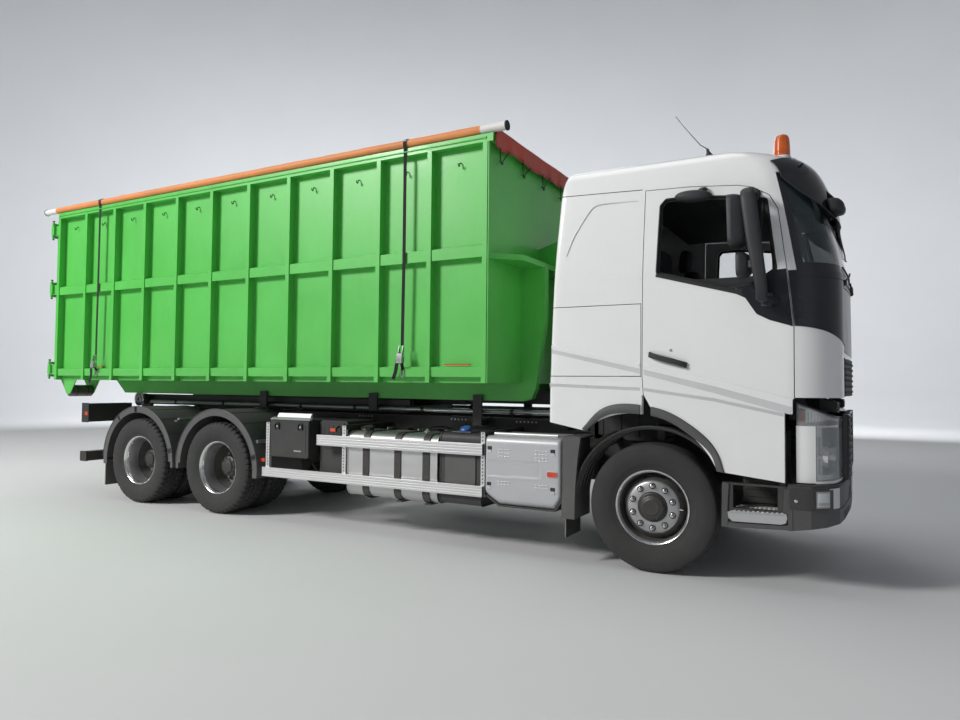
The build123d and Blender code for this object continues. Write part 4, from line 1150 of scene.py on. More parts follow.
# cowl between the hatch and the windscreen, with the wipers
sh = Shape()
def cowl_fn(u, v):
    z = 2.252 + (2.318 - 2.252) * v
    t0 = t_of_y(z, 0.866)
    return z, t0 + (4 - 2 * t0) * u
slab(sh, cowl_fn, 50, 4, -0.006, 0.004)
for k in range(34):
    y = -0.80 + 0.0485 * k
    t = t_of_y(2.285, y)
    p = skin(2.268, t, 0.004, 1 if y > 0 else -1)
    q = skin(2.302, t, 0.004, 1 if y > 0 else -1)
    sh.bar(p, q, 0.010, 0.003, up=(1, 0, 0), mat=1)
for y0 in (-0.62, 0.10, 0.72):
    t = t_of_y(2.29, y0)
    p = skin(2.285, t, 0.004, 1 if y0 > 0 else -1)
    sh.lathe(p, (1, 0, 0.1), [(0, 0.026), (0.012, 0.024), (0.022, 0.016), (0.024, 0)], 16, 1)
    y1 = y0 + 0.36 * (1 if y0 < 0.5 else -1)
    a = skin(2.40, t_of_y(2.40, y1), 0.024, 1 if y1 > 0 else -1)
    ym = (y0 + y1) / 2
    b = skin(2.35, t_of_y(2.35, ym), 0.026, 1 if ym > 0 else -1)
    sh.tube([skin(2.300, t, 0.020, 1 if y0 > 0 else -1), b, a], 0.0075, 8, 1, smooth_steps=4)
    # blade lies on the glass
    pts = []
    for k in range(9):
        yy = y1 + (k / 8 - 0.45) * 0.72
        yy = max(-1.0, min(1.0, yy))
        zz = 2.385 + 0.055 * abs(k / 8 - 0.45)
        pts.append(skin(zz, t_of_y(zz, yy), 0.006, 1 if yy > 0 else -1))
    sh.tube(pts, 0, mat=2, flat=(0.012, 0.014, (1, 0, 0.3)))
sh.make("cowl_and_wipers", ["black_gloss", "dark_plastic", "black_rubber"], "cab", bevel=0.0012)


def edge_tube(sh, outline, off, r, mat, side, flat=None, step=0.06):
    """Tube on the skin along a closed (s, z) outline."""
    pts = []
    n = len(outline)
    for i in range(n):
        a, b = Vector(outline[i]), Vector(outline[(i + 1) % n])
        m = max(1, int((b - a).length / step))
        for k in range(m):
            s, z = a + (b - a) * k / m
            pts.append(skin(z, t_of_s(z, s), off, side))
    sh.tube(pts, r, 8, mat, closed=True)


for sd, word in ((-1, "right"), (1, "left")):
    y = lambda a, sd=sd: sd * a
    # window: seal and lower rubber lip; the glass is up on the left, wound down on the right
    sh = Shape()
    edge_tube(sh, grow(WIN, 0.001), -0.001, 0.0085, 0, sd)
    edge_tube(sh, grow(WIN, -0.010), -0.020, 0.011, 0, sd)
    glass_line = grow(WIN, 0.004)
    n = len(glass_line)
    pa = [skin(z, t_of_s(z, s), -0.022, sd) for s, z in glass_line]
    pb = [skin(z, t_of_s(z, s), -0.027, sd) for s, z in glass_line]
    if sd > 0:
        sh.put(pa + pb, [tuple(range(n)), tuple(range(2 * n - 1, n - 1, -1))]
               + [(i, (i + 1) % n, n + (i + 1) % n, n + i) for i in range(n)], 1, False)
    # divider in front of the glass run
    a, b = skin(2.345, t_of_s(2.345, 0.80), -0.018, sd), skin(2.875, t_of_s(2.875, 0.845), -0.018, sd)
    sh.bar(a, b, 0.016, 0.02, up=(0, 1, 0), mat=0)
    # inner door card with an arm rest and a pull
    sh.box(0.02, 0.93, y(1.150), y(1.184), 1.50, 2.30, mat=2)
    sh.box(0.10, 0.70, y(1.090), y(1.152), 1.92, 1.97, mat=2)
    sh.box(0.15, 0.62, y(1.135), y(1.152), 2.02, 2.14, mat=3)
    sh.make(word + "_window_fittings", ["black_rubber", "side_glass", "cab_lining", "seat_cloth"],
            word + "_door", bevel=0.004, angle=45)

    # black panel below the window with the mirror foot
    sh = Shape()
    tri_low = line((0.640, 2.172), (0.720, 2.131), (0.797, 2.009), (0.887, 1.961), (1.041, 1.911))
    tri_top = line((0.600, 2.202), (0.780, 2.228), (0.925, 2.325), (1.001, 2.330), (1.041, 2.00))

    def tri(u, v):
        s = 0.66 + (1.040 - 0.66) * u
        lo, hi = tri_low(s), tri_top(s)
        if s > 1.000:
            hi = 2.330 - (s - 1.000) * 10.2
            hi = max(hi, lo + 0.012)
        z = lo + (hi - lo) * v
        return z, t_of_s(z, s)
    slab(sh, tri, 38, 10, -0.003, 0.0035, side=sd)
    slab(sh, between_lines(line((0.06, 2.330), (0.60, 2.180), (0.70, 2.152)),
                           line((0.06, 2.352), (0.60, 2.203), (0.70, 2.200)), 0.055, 0.70),
         24, 2, -0.003, 0.005, side=sd, mat=1)
    sh.make(word + "_window_triangle", ["black_gloss", "black_rubber"], word + "_door",
            bevel=0.0012)

    # raised stripe along the side, on the locker lid and on the door; the flat grey band below its bead is painted
    # shade
    top = line((-0.817, 1.806), (-0.051, 1.648), (0.496, 1.530), (1.042, 1.391))
    mid = line((-0.817, 1.773), (-0.051, 1.606), (0.496, 1.477), (1.042, 1.330))
    low_l = line((-0.817, 1.741), (-0.051, 1.564), (0.496, 1.425), (1.008, 1.281))
    for body, sa, sb in ((word + "_locker_lid", -0.826, -0.072), (word + "_door", -0.040, 1.036)):
        sh = Shape()
        slab(sh, between_lines(mid, top, sa, sb), 40, 6, -0.001,
             lambda u, v: 0.0005 + 0.0060 * math.sin(math.pi * min(1, v * 1.25) / 2) ** 2
             * (1 if v < 0.85 else (1 - v) / 0.15), mat=0, side=sd)
        slab(sh, between_lines(low_l, mid, sa, sb), 40, 4, -0.001,
             lambda u, v: 0.0006 + 0.0006 * v, mat=1, side=sd)
        sh.make(word + "_stripe_" + body.split("_")[1], ["white_paint", "grey_trim_and_stripe_shade"], body,
                angle=60)
    # fine crease below it, on the panel behind the door and on the door
    crease = line((-0.842, 1.488), (-0.051, 1.461), (0.496, 1.387), (1.008, 1.281))
    for body, sa, sb in (("cab", -0.842, -0.070), (word + "_door", -0.038, 0.976)):
        sh = Shape()
        slab(sh, between_lines(lambda s: crease(s) - 0.0035, lambda s: crease(s) + 0.0035, sa, sb),
             40, 2, -0.001, lambda u, v: 0.0004 + 0.0022 * math.sin(math.pi * v), mat=0, side=sd)
        slab(sh, between_lines(lambda s: crease(s) - 0.026, lambda s: crease(s) - 0.0035, sa, sb),
             40, 2, -0.001, 0.0006, mat=1, side=sd)
        sh.make(word + "_crease_" + ("door" if sa > -0.1 else "panel"),
                ["white_paint", "stripe_shadow"], body, angle=60)

    # groove and embossed edge on the upper side
    sh = Shape()
    groove = curve_through([Vector((a, 0, b)) for a, b in
                            ((-0.700, 2.548), (-0.689, 2.576), (-0.638, 2.704), (-0.552, 2.843),
                             (-0.476, 2.940), (-0.400, 2.964), (-0.252, 2.962), (-0.091, 2.957))],
                           5)
    pts = [skin(p.z, t_of_s(p.z, p.x), 0.0002, sd) for p in groove]
    m = len(pts)
    sh.tube(pts, [0.0025 + 0.0042 * min(1, 4 * min(k, m - 1 - k) / m) for k in range(m)], 10, 0)
    sh.make(word + "_side_groove", ["stripe_shadow"], "cab", angle=60)
    sh = Shape()
    emb = line((-0.690, 2.520), (-0.631, 2.496), (-0.377, 2.420), (-0.070, 2.333))
    slab(sh, between_lines(lambda s: emb(s) - 0.03, emb, -0.69, -0.066), 30, 4, -0.001,
         lambda u, v: 0.0003 + 0.0030 * math.sin(math.pi * v) ** 2, mat=0, side=sd)
    # seam under the roof side, a dark fine line
    seam = line((-0.759, 3.072), (-0.038, 3.044), (0.314, 3.026), (0.640, 2.998))
    slab(sh, between_lines(lambda s: seam(s) - 0.003, lambda s: seam(s) + 0.003, -0.755, -0.060),
         30, 1, -0.001, 0.0006, mat=1, side=sd)
    sh.make(word + "_side_lines", ["white_paint", "cab_lining"], "cab",
            angle=60)

    # door handle in its recess, with the lock
    sh = Shape()
    def recess(u, v):
        s = -0.020 + 0.345 * u
        mid_z = 1.722 - 0.11 * u
        h = 0.068 * math.sin(math.pi * min(0.98, max(0.02, u))) ** 0.6
        z = mid_z - h * 0.55 + h * 1.75 * v
        return z, t_of_s(z, s)
    slab(sh, recess, 26, 8, -0.001, lambda u, v: 0.0006 + 0.0035 * abs(v - 0.5) ** 2 * 4, mat=0,
         side=sd)
    def inner_rec(u, v):
        s = 0.004 + 0.292 * u
        mid_z = 1.716 - 0.098 * u
        h = 0.052 * math.sin(math.pi * min(0.97, max(0.03, u))) ** 0.45
        z = mid_z - h * 0.5 + h * v * 1.3
        return z, t_of_s(z, s)
    slab(sh, inner_rec, 24, 4, -0.001, 0.0042, mat=1, side=sd)
    pts = [skin(z, t_of_s(z, s), o, sd) for s, z, o in
           ((0.006, 1.722, 0.004), (0.030, 1.712, 0.026), (0.10, 1.690, 0.034),
            (0.20, 1.664, 0.034), (0.275, 1.642, 0.026), (0.292, 1.634, 0.004))]
    sh.tube(pts, 0, mat=2, flat=(0.042, 0.016, (0, 0, 1)), smooth_steps=5)
    p = skin(1.752, t_of_s(1.752, 0.172), 0.002, sd)
    sh.lathe(p, (0, sd, 0), [(0, 0.011), (0.004, 0.010), (0.005, 0.006), (0.004, 0.003),
                             (0.004, 0)], 16, 3)
    sh.make(word + "_door_handle", ["white_paint", "stripe_shadow", "dark_plastic", "galvanised"],
            word + "_door", bevel=0.003, angle=50)

    # wheel arch trims: on the panel behind the door and on the door
    outer = [(-0.850, 1.152), (-0.550, 1.121), (-0.397, 1.277), (-0.222, 1.330), (0.020, 1.312),
             (0.206, 1.251), (0.407, 1.117), (0.516, 0.988), (0.569, 0.835)]
    inner = [(-0.850, 1.118), (-0.524, 1.098), (-0.371, 1.218), (-0.221, 1.253), (0.020, 1.241),
             (0.183, 1.188), (0.363, 1.070), (0.473, 0.963), (0.516, 0.843)]
    oc = curve_through([Vector((a, 0, b)) for a, b in outer[1:]], 8)
    ic = curve_through([Vector((a, 0, b)) for a, b in inner[1:]], 8)
    k_split = min(range(len(oc)), key=lambda k: abs(oc[k].x - 0.0))
    for body, rng in (("cab", range(0, k_split - 1)), (word + "_door", range(k_split + 1, len(oc)))):
        sh = Shape()
        idx = list(rng)
        if body == "cab":
            idx = [k for k in idx if oc[k].x < -0.058 and ic[k].x < -0.058]
        else:
            idx = [k for k in idx if oc[k].x > -0.030 and ic[k].x > -0.030]
        sec = []
        for k in idx:
            o, i = oc[k], ic[k]
            sec.append([P(o.x, sd * 1.243, o.z), P(o.x, sd * 1.251, o.z),
                        P(o.x * .88 + i.x * .12, sd * 1.262, o.z * .88 + i.z * .12),
                        P(o.x * .3 + i.x * .7, sd * 1.266, o.z * .3 + i.z * .7),
                        P(i.x, sd * 1.258, i.z), P(i.x, sd * 1.205, i.z),
                        P(i.x, sd * 1.200, i.z + 0.006), P(o.x * .5 + i.x * .5, sd * 1.243,
                                                           o.z * .5 + i.z * .5)])
        m = len(sec)
        w = len(sec[0])
        verts = [p for row in sec for p in row]
        faces = [(a * w + b, a * w + (b + 1) % w, (a + 1) * w + (b + 1) % w, (a + 1) * w + b)
                 for a in range(m - 1) for b in range(w)]
        faces += [tuple(range(w - 1, -1, -1)), tuple((m - 1) * w + b for b in range(w))]
        sh.put(verts, faces, 0)
        sh.make(word + "_arch_trim_" + ("panel" if body == "cab" else "door"), ["grey_plastic"],
                body, angle=50)

# floor, firewall, tilt arms and roof console of the cab
sh = Shape()
sh.box(-0.79, 1.12, -1.183, 1.183, 1.402, 1.480, mat=0)
sh.box(1.130, 1.180, -1.150, 1.150, 1.470, 2.290, mat=0)
sh.box(1.02, 1.132, -1.12, 1.12, 1.42, 1.50, mat=0)
for sd in (-1, 1):
    sh.prism([(1.060, 1.410), (1.122, 0.950), (1.128, 0.920), (1.172, 0.920), (1.178, 0.950),
              (1.178, 1.410)], "y", sd * 0.421, sd * 0.451, mat=1)
    sh.lathe(P(1.150, sd * 0.451, 0.950), (0, sd, 0), [(0, 0.034), (0.012, 0.034), (0.014, 0.028),
                                                       (0.014, 0)], 20, 1)
    # ribs under the floor
for s in (-0.70, -0.35, 0.0, 0.35, 0.70):
    sh.box(s - 0.03, s + 0.03, -1.0, 1.0, 1.375 if abs(s) > 0.6 or s == 0 else 1.38, 1.403, mat=1)
sh.box(-0.20, 0.92, -1.05, 1.05, 3.02, 3.10, mat=2)
sh.box(0.45, 0.80, -0.95, 0.95, 2.965, 3.03, mat=2)
sh.make("cab_floor_and_firewall", ["frame_paint", "iron", "cab_lining"], "cab", bevel=0.006)

# ------------------------------------------------------------ chassis looks
BUMPER_PLAN = [(1.000, 1.235), (1.150, 1.215), (1.250, 1.150), (1.325, 1.010), (1.352, 0.800),
               (1.378, 0.300), (1.380, 0.0)]
LAMP_PLAN = [(1.052, 1.171), (1.150, 1.163), (1.240, 1.118), (1.305, 1.000), (1.333, 0.800),
             (1.336, 0.724)]


def plan_point(plan, t, cache={}):
    """Point and outward normal t metres along a plan line, which starts at the side."""
    key = tuple(plan)
    if key not in cache:
        pts = [Vector((a, b, 0)) for a, b in plan]
        pts = curve_through(pts, 8)
        run = [0.0]
        for a, b in zip(pts, pts[1:]):
            run.append(run[-1] + (b - a).length)
        cache[key] = (pts, run)
    pts, run = cache[key]
    t = max(0.0, min(run[-1] - 1e-6, t))
    i = max(k for k in range(len(run) - 1) if run[k] <= t + 1e-9)
    k = (t - run[i]) / (run[i + 1] - run[i])
    p = pts[i].lerp(pts[i + 1], k)
    a = pts[max(0, i - 1)]
    b = pts[min(len(pts) - 1, i + 2)]
    d = (b - a).normalized()
    return p, Vector((-d.y, d.x, 0))


def plan_length(plan):
    pts = curve_through([Vector((a, b, 0)) for a, b in plan], 8)
    return sum((b - a).length for a, b in zip(pts, pts[1:]))


def plan_band(sh, plan, t0, t1, z0, z1, d0, d1, mat, side, n=16, nz=1):
    """Closed band that follows a plan line; z0, z1 are heights or functions of t."""
    def grid(d):
        out = []
        for j in range(nz + 1):
            for i in range(n + 1):
                t = t0 + (t1 - t0) * i / n
                p, nrm = plan_point(plan, t)
                if nrm.y < 0 and abs(nrm.y) > abs(nrm.x) or nrm.x < -1e-6:
                    nrm = -nrm
                lo = z0(t) if callable(z0) else z0
                hi = z1(t) if callable(z1) else z1
                z = lo + (hi - lo) * j / nz
                out.append(P(p.x + nrm.x * d, side * (p.y + nrm.y * d), z))
        return out
    top, bot = grid(d1), grid(d0)
    m, k = n + 1, len(top)
    faces = []
    for j in range(nz):
        for i in range(n):
            a = j * m + i
            faces += [(a, a + 1, a + m + 1, a + m), (k + a, k + a + m, k + a + m + 1, k + a + 1)]
    rim = ([(i, 0) for i in range(n)] + [(n, j) for j in range(nz)]
           + [(i, nz) for i in range(n, 0, -1)] + [(0, j) for j in range(nz, 0, -1)])
    for (i, j), (i2, j2) in zip(rim, rim[1:] + rim[:1]):
        a, b = j * m + i, j2 * m + i2
        faces.append((a, b, k + b, k + a))
    sh.put(top + bot, faces, mat)


LAMP_T = plan_length(LAMP_PLAN)
BUMP_T = plan_length(BUMPER_PLAN)


def lamp_top(t):
    return 1.370 - 0.41 * (plan_point(LAMP_PLAN, t)[0].x - 1.058)


for side, word in ((-1, "right"), (1, "left")):
    sh = Shape()
    end = LAMP_T - 0.004
    # painted surround, dark housing with floor and cap, reflector tiers
    plan_band(sh, LAMP_PLAN, 0.0, 0.128, 0.790, 1.196, -0.035, 0.001, 0, side)
    plan_band(sh, LAMP_PLAN, 0.128, end, 0.786, lambda t: 0.802 + 0.010 * t, -0.10, 0.001, 0, side, 24)
    plan_band(sh, LAMP_PLAN, 0.0, end, lambda t: lamp_top(t) - 0.013, lamp_top, -0.060, 0.0, 1, side, 24)
    plan_band(sh, LAMP_PLAN, 0.0, end, 1.186, 1.2015, -0.060, -0.0045, 3, side, 24)
    plan_band(sh, LAMP_PLAN, 0.02, end, 0.796, lambda t: lamp_top(t) - 0.013, -0.118, -0.100, 1, side, 24)
    plan_band(sh, LAMP_PLAN, 0.124, 0.134, 0.796, 1.196, -0.100, -0.004, 1, side, 2)
    plan_band(sh, LAMP_PLAN, end - 0.012, end, 0.796, lambda t: lamp_top(t) - 0.013, -0.100, -0.002, 1,
              side, 2)
    plan_band(sh, LAMP_PLAN, 0.0, 0.014, 1.2, lambda t: lamp_top(t) - 0.012, -0.060, -0.002, 1, side, 2)
    # blade lamp: amber end, striped light guide, bright lower edge
    plan_band(sh, LAMP_PLAN, 0.014, 0.055, 1.206, lambda t: lamp_top(t) - 0.050, -0.050, -0.030, 6, side, 4)
    for k in range(22):
        t = 0.062 + 0.0235 * k
        if t + 0.018 < end:
            plan_band(sh, LAMP_PLAN, t, t + 0.018, lambda t: 1.212 + 0.03 * min(1, t / 0.3),
                      lambda t: lamp_top(t) - 0.034, -0.044, -0.026, 5, side, 2)
    plan_band(sh, LAMP_PLAN, 0.02, end - 0.02, lambda t: lamp_top(t) - 0.034,
              lambda t: lamp_top(t) - 0.022, -0.040, -0.012, 3, side, 24)
    # upright slots between bright frames near the outer end
    for ta, tb, mt in ((0.142, 0.152, 3), (0.152, 0.171, 1), (0.171, 0.182, 3)):
        for za, zb in ((0.845, 0.965), (0.985, 1.115)):
            plan_band(sh, LAMP_PLAN, ta, tb, za, zb, -0.040, -0.022 if mt == 3 else -0.034, mt, side, 2)
    plan_band(sh, LAMP_PLAN, 0.134, 0.215, 0.806, 1.186, -0.060, -0.045, 5, side, 6)
    plan_band(sh, LAMP_PLAN, 0.142, 0.200, 0.965, 0.985, -0.044, -0.018, 3, side, 4)
    plan_band(sh, LAMP_PLAN, 0.150, end - 0.03, 0.812, 0.846, -0.060, -0.030, 5, side, 18)
    # main beam and dipped beam
    for t, z, r in ((0.290, 0.985, 0.082), (0.468, 0.975, 0.078)):
        p, nrm = plan_point(LAMP_PLAN, t)
        c = P(p.x - 0.100, side * p.y, z)
        sh.lathe(c, (1, 0, 0), [(0.0, 0.0), (0.004, 0.030), (0.018, r * 0.62), (0.050, r * 0.93),
                                (0.060, r), (0.066, r), (0.066, r + 0.007), (0.030, r + 0.008),
                                (0.0, r * 0.5)], 36, 3)
        sh.lathe(c, (1, 0, 0), [(0.004, 0.0), (0.006, 0.030), (0.030, 0.034), (0.046, 0.030),
                                (0.056, 0.018), (0.059, 0.0)], 28, 5)
        sh.lathe(c, (1, 0, 0), [(0.020, r * 0.60), (0.024, r * 0.66), (0.028, r * 0.60)], 28, 1, closed=True)
    plan_band(sh, LAMP_PLAN, 0.215, end - 0.012, 0.846, 1.186, -0.100, -0.088, 4, side, 18)
    sh.make("headlight_inside_%s" % word,
            ["white_paint", "black_gloss", "clear_cover", "nut_chrome", "dark_plastic",
             "white_lens", "amber_lens"], "chassis", bevel=0.0012,
            replaces=["headlights"], angle=40)
    sh = Shape()
    plan_band(sh, LAMP_PLAN, 0.126, end, 0.800, 1.1855, -0.0035, 0.0, 0, side, 36, 6)
    plan_band(sh, LAMP_PLAN, 0.004, end, 1.2025, lambda t: lamp_top(t) - 0.012, -0.0035, 0.0, 0, side,
              36, 2)
    sh.make("headlight_cover_%s" % word, ["clear_cover"], "chassis", bevel=0.0008,
            angle=40)

    # bumper end: dark recess with the fog lamp, knob, lower lip, step seam
    sh = Shape()
    plan_band(sh, BUMPER_PLAN, 0.010, 0.175, 0.606, 0.757, -0.002, 0.003, 0, side, 12)
    plan_band(sh, BUMPER_PLAN, 0.180, 0.330, 0.612, 0.748, -0.002, 0.0045, 4, side, 12)
    plan_band(sh, BUMPER_PLAN, 0.186, 0.290, 0.622, 0.738, 0.004, 0.0085, 1, side, 12)
    plan_band(sh, BUMPER_PLAN, 0.194, 0.282, 0.632, 0.727, 0.008, 0.0105, 2, side, 12, 4)
    for k in range(7):
        plan_band(sh, BUMPER_PLAN, 0.196 + 0.012 * k, 0.204 + 0.012 * k, 0.640, 0.662, 0.010, 0.0118, 1,
                  side, 2)
    plan_band(sh, BUMPER_PLAN, 0.294, 0.420, 0.612, 0.755, -0.001, 0.0040, 3, side, 12)
    plan_band(sh, BUMPER_PLAN, 0.0, BUMP_T, lambda t: 0.770, 0.7815, -0.010, 0.0025, 0, side, 40)
    plan_band(sh, BUMPER_PLAN, 0.430, BUMP_T, 0.600, 0.606, -0.002, 0.0022, 0, side, 30)
    p, nrm = plan_point(BUMPER_PLAN, 0.055)
    sh.lathe(P(p.x, side * (p.y + 0.003), 0.665), (nrm.x, side * nrm.y, 0),
             [(0, 0.013), (0.004, 0.013), (0.007, 0.009), (0.010, 0.0095), (0.012, 0.004), (0.012, 0)], 16, 5)
    # openings low in the front, drawn as dark patches: painted shade of the openings
    for k in range(5):
        t = 0.62 + 0.075 * k
        plan_band(sh, BUMPER_PLAN, t, t + 0.055, 0.520, 0.560, 0.0005, 0.0026, 0, side, 3)
    plan_band(sh, BUMPER_PLAN, 0.0, 0.030, 0.455, 0.600, 0.0, 0.003, 4, side, 3)
    sh.make("bumper_end_%s" % word, ["dark_plastic", "galvanised", "white_lens", "grey_trim_and_stripe_shade",
                                     "bumper_grey", "nut_chrome"], "chassis", bevel=0.0012,
            angle=40)

    # lowest step: pale tread with raised dots, grey frame, dark well with a kick panel
    sh = Shape()
    o = side
    tread = [(0.585, 0.545), (0.592, 0.500), (0.622, 0.478), (0.952, 0.486), (0.985, 0.498),
             (0.996, 0.535), (0.992, 0.556)]
    sh.prism(tread, "y", o * 1.196, o * 1.222, 0)
    sh.hexa([P(0.600, o * 1.222, 0.540), P(0.990, o * 1.222, 0.550), P(0.975, o * 1.020, 0.566),
             P(0.650, o * 1.020, 0.562), P(0.600, o * 1.222, 0.552), P(0.990, o * 1.222, 0.562),
             P(0.975, o * 1.020, 0.578), P(0.650, o * 1.020, 0.574)], 0)
    for i in range(11):
        for j in range(5):
            x = 0.635 + 0.0325 * i
            y = 1.205 - 0.034 * j
            z = 0.5525 + 0.0008 + (x - 0.6) * 0.026 + (1.222 - y) * 0.075
            sh.lathe(P(x, o * y, z), (0, 0, 1), [(0, 0.0105), (0.004, 0.0090), (0.0045, 0.0040),
                                                 (0.001, 0.0030), (0.001, 0)], 10, 1)
    frame_l = [(0.540, 0.430), (0.584, 0.432), (0.590, 0.500), (0.584, 0.560), (0.594, 0.752),
               (0.545, 0.762)]
    sh.prism(frame_l, "y", o * 1.199, o * 1.212, 2)
    sh.prism([(0.584, 0.430), (0.998, 0.448), (1.000, 0.486), (0.960, 0.478), (0.622, 0.466),
              (0.590, 0.470)], "y", o * 1.197, o * 1.214, 3)
    sh.prism([(0.966, 0.560), (1.000, 0.545), (1.000, 0.742), (0.976, 0.735)], "y",
             o * 1.197, o * 1.207, 3)
    sh.box(0.645, 0.978, o * 0.842, o * 0.856, 0.575, 0.800, 4)
    for k in range(3):
        sh.box(0.660, 0.960, o * 0.856, o * 0.862, 0.62 + 0.055 * k, 0.645 + 0.055 * k, 4)
    # middle tread behind the door
    sh.box(0.655, 0.965, o * 0.850, o * 1.135, 0.859, 0.868, 0)
    for i in range(9):
        for j in range(6):
            sh.lathe(P(0.680 + 0.0325 * i, o * (0.90 + 0.04 * j), 0.868), (0, 0, 1),
                     [(0, 0.0105), (0.004, 0.0090), (0.0045, 0)], 8, 1)
    sh.make("step_%s" % word, ["tread_grey", "grey_trim_and_stripe_shade", "bumper_grey", "bumper_grey",
                               "dark_plastic"], "chassis", bevel=0.0025, angle=40)

    # front mudguard: curved rear panel, outer lip, fasteners, strip below
    sh = Shape()
    panel = []
    for k in range(13):
        z = 0.365 + (1.045 - 0.365) * k / 12
        panel.append((-0.622 + 0.050 * ((z - 0.365) / 0.68) ** 2.2, z))
    back = [(-0.738 + 0.075 * ((z - 0.365) / 0.68) ** 2.2, z) for _, z in panel]
    sh.prism(panel + back[::-1], "y", o * 1.190, o * 1.2285, 0)
    sh.prism([(-0.700, 1.030), (-0.585, 1.030), (-0.560, 1.046), (-0.660, 1.052)], "y",
             o * 0.90, o * 1.224, 0)
    for k in range(9):
        sh.box(-0.706, -0.698, o * 1.186, o * 1.2275, 0.212 + 0.017 * k, 0.224 + 0.017 * k, 2)
    sh.box(-0.712, -0.692, o * 0.90, o * 1.222, 0.210, 0.366, 1)
    lip = []
    for k in range(41):
        a = math.radians(34 + (174 - 34) * k / 40)
        lip.append(P(0.636 * math.cos(a), o * 1.194, 0.512 + 0.636 * math.sin(a)))
    sh.tube(lip, 0, 4, 1, flat=(0.022, 0.010, (0, 1, 0)))
    for a in (50, 88, 126, 164):
        r = math.radians(a)
        sh.bolt(P(0.646 * math.cos(r), o * 1.06, 0.512 + 0.646 * math.sin(r)),
                (math.cos(r), 0, math.sin(r)), 0.008, 0.007, 2)
    for k in range(4):
        r0 = 0.621
        pts = []
        for q in range(31):
            a = math.radians(40 + 130 * q / 30)
            pts.append(P(r0 * math.cos(a), o * (0.90 + 0.075 * k), 0.512 + r0 * math.sin(a)))
        sh.tube(pts, 0.006, 6, 0)
    sh.make("front_mudguard_trim_%s" % word, ["grey_plastic", "black_rubber", "galvanised"], "chassis",
            bevel=0.003, angle=40)

    # rear mudguards: outer lips, ribs, skirts and flap ribs
    sh = Shape()
    for s in (-4.900, -6.270):
        for a0, a1 in ((2, 178),):
            outer, inner = [], []
            n = 44
            for k in range(n + 1):
                a = math.radians(a0 + (a1 - a0) * k / n)
                outer.append((s + 0.657 * math.cos(a), 0.512 + 0.657 * math.sin(a)))
                inner.append((s + 0.585 * math.cos(a), 0.512 + 0.585 * math.sin(a)))
            for k in range(n):
                q = [outer[k], outer[k + 1], inner[k + 1], inner[k]]
                sh.hexa([P(q[0][0], o * 1.238, q[0][1]), P(q[1][0], o * 1.238, q[1][1]),
                         P(q[2][0], o * 1.238, q[2][1]), P(q[3][0], o * 1.238, q[3][1]),
                         P(q[0][0], o * 1.2465, q[0][1]), P(q[1][0], o * 1.2465, q[1][1]),
                         P(q[2][0], o * 1.2445, q[2][1]), P(q[3][0], o * 1.2445, q[3][1])], 0)
            sh.tube([P(x, o * 1.2465, z) for x, z in outer], 0.0055, 8, 1)
            sh.tube([P(x, o * 1.2445, z) for x, z in inner], 0.0040, 6, 0)
        # straight ends
        for e, d in ((s + 0.600, 1), (s - 0.600, -1)):
            if d > 0 and s < -6 or d < 0 and s > -5:
                continue
            sh.box(e - 0.015 + 0.035 * (d - 1) / 2, e + 0.050 + 0.035 * (d - 1) / 2, o * 1.2375, o * 1.246,
                   0.440, 0.530, 0)
            sh.box(s + d * 0.622, s + d * 0.650, o * 0.565, o * 1.242, 0.440, 0.520, 0)
        # cross ribs on the back of the arch
        for k in range(9):
            a = math.radians(14 + 19 * k)
            c, si = math.cos(a), math.sin(a)
            if abs(k - 4) * 19 < 8:
                continue
            sh.bar(P(s + 0.6565 * c, o * 0.575, 0.512 + 0.6565 * si),
                   P(s + 0.6565 * c, o * 1.236, 0.512 + 0.6565 * si), 0.016, 0.005,
                   up=(c, 0, si), mat=0)
    # carriers between arch and frame
    for s in (-4.300, -5.585, -6.890):
        z = 1.010 if s == -5.585 else 0.83
        sh.tube([P(s, o * 0.430, z + (0.02 if s == -5.585 else 0)), P(s, o * 1.20, z + (0.02 if s == -5.585 else 0))],
                0.019, 12, 2)
    for k in range(12):
        y = 0.625 + 0.052 * k
        sh.box(-6.9095, -6.9045, o * y - 0.006, o * y + 0.006, 0.20, 0.47, 3)
    sh.box(-6.915, -6.885, o * 0.600, o * 1.230, 0.486, 0.514, 3)
    for y in (0.66, 0.80, 1.03, 1.17):
        sh.bolt(P(-6.915, o * y, 0.500), (-1, 0, 0), 0.008, 0.008, 2)
    sh.make("rear_mudguard_trim_%s" % word, ["grey_plastic", "bumper_grey", "galvanised", "black_rubber"],
            "chassis", bevel=0.0, angle=40)

    # side guards: rails with three grooves, perforated posts, bolted brackets
    sh = Shape()

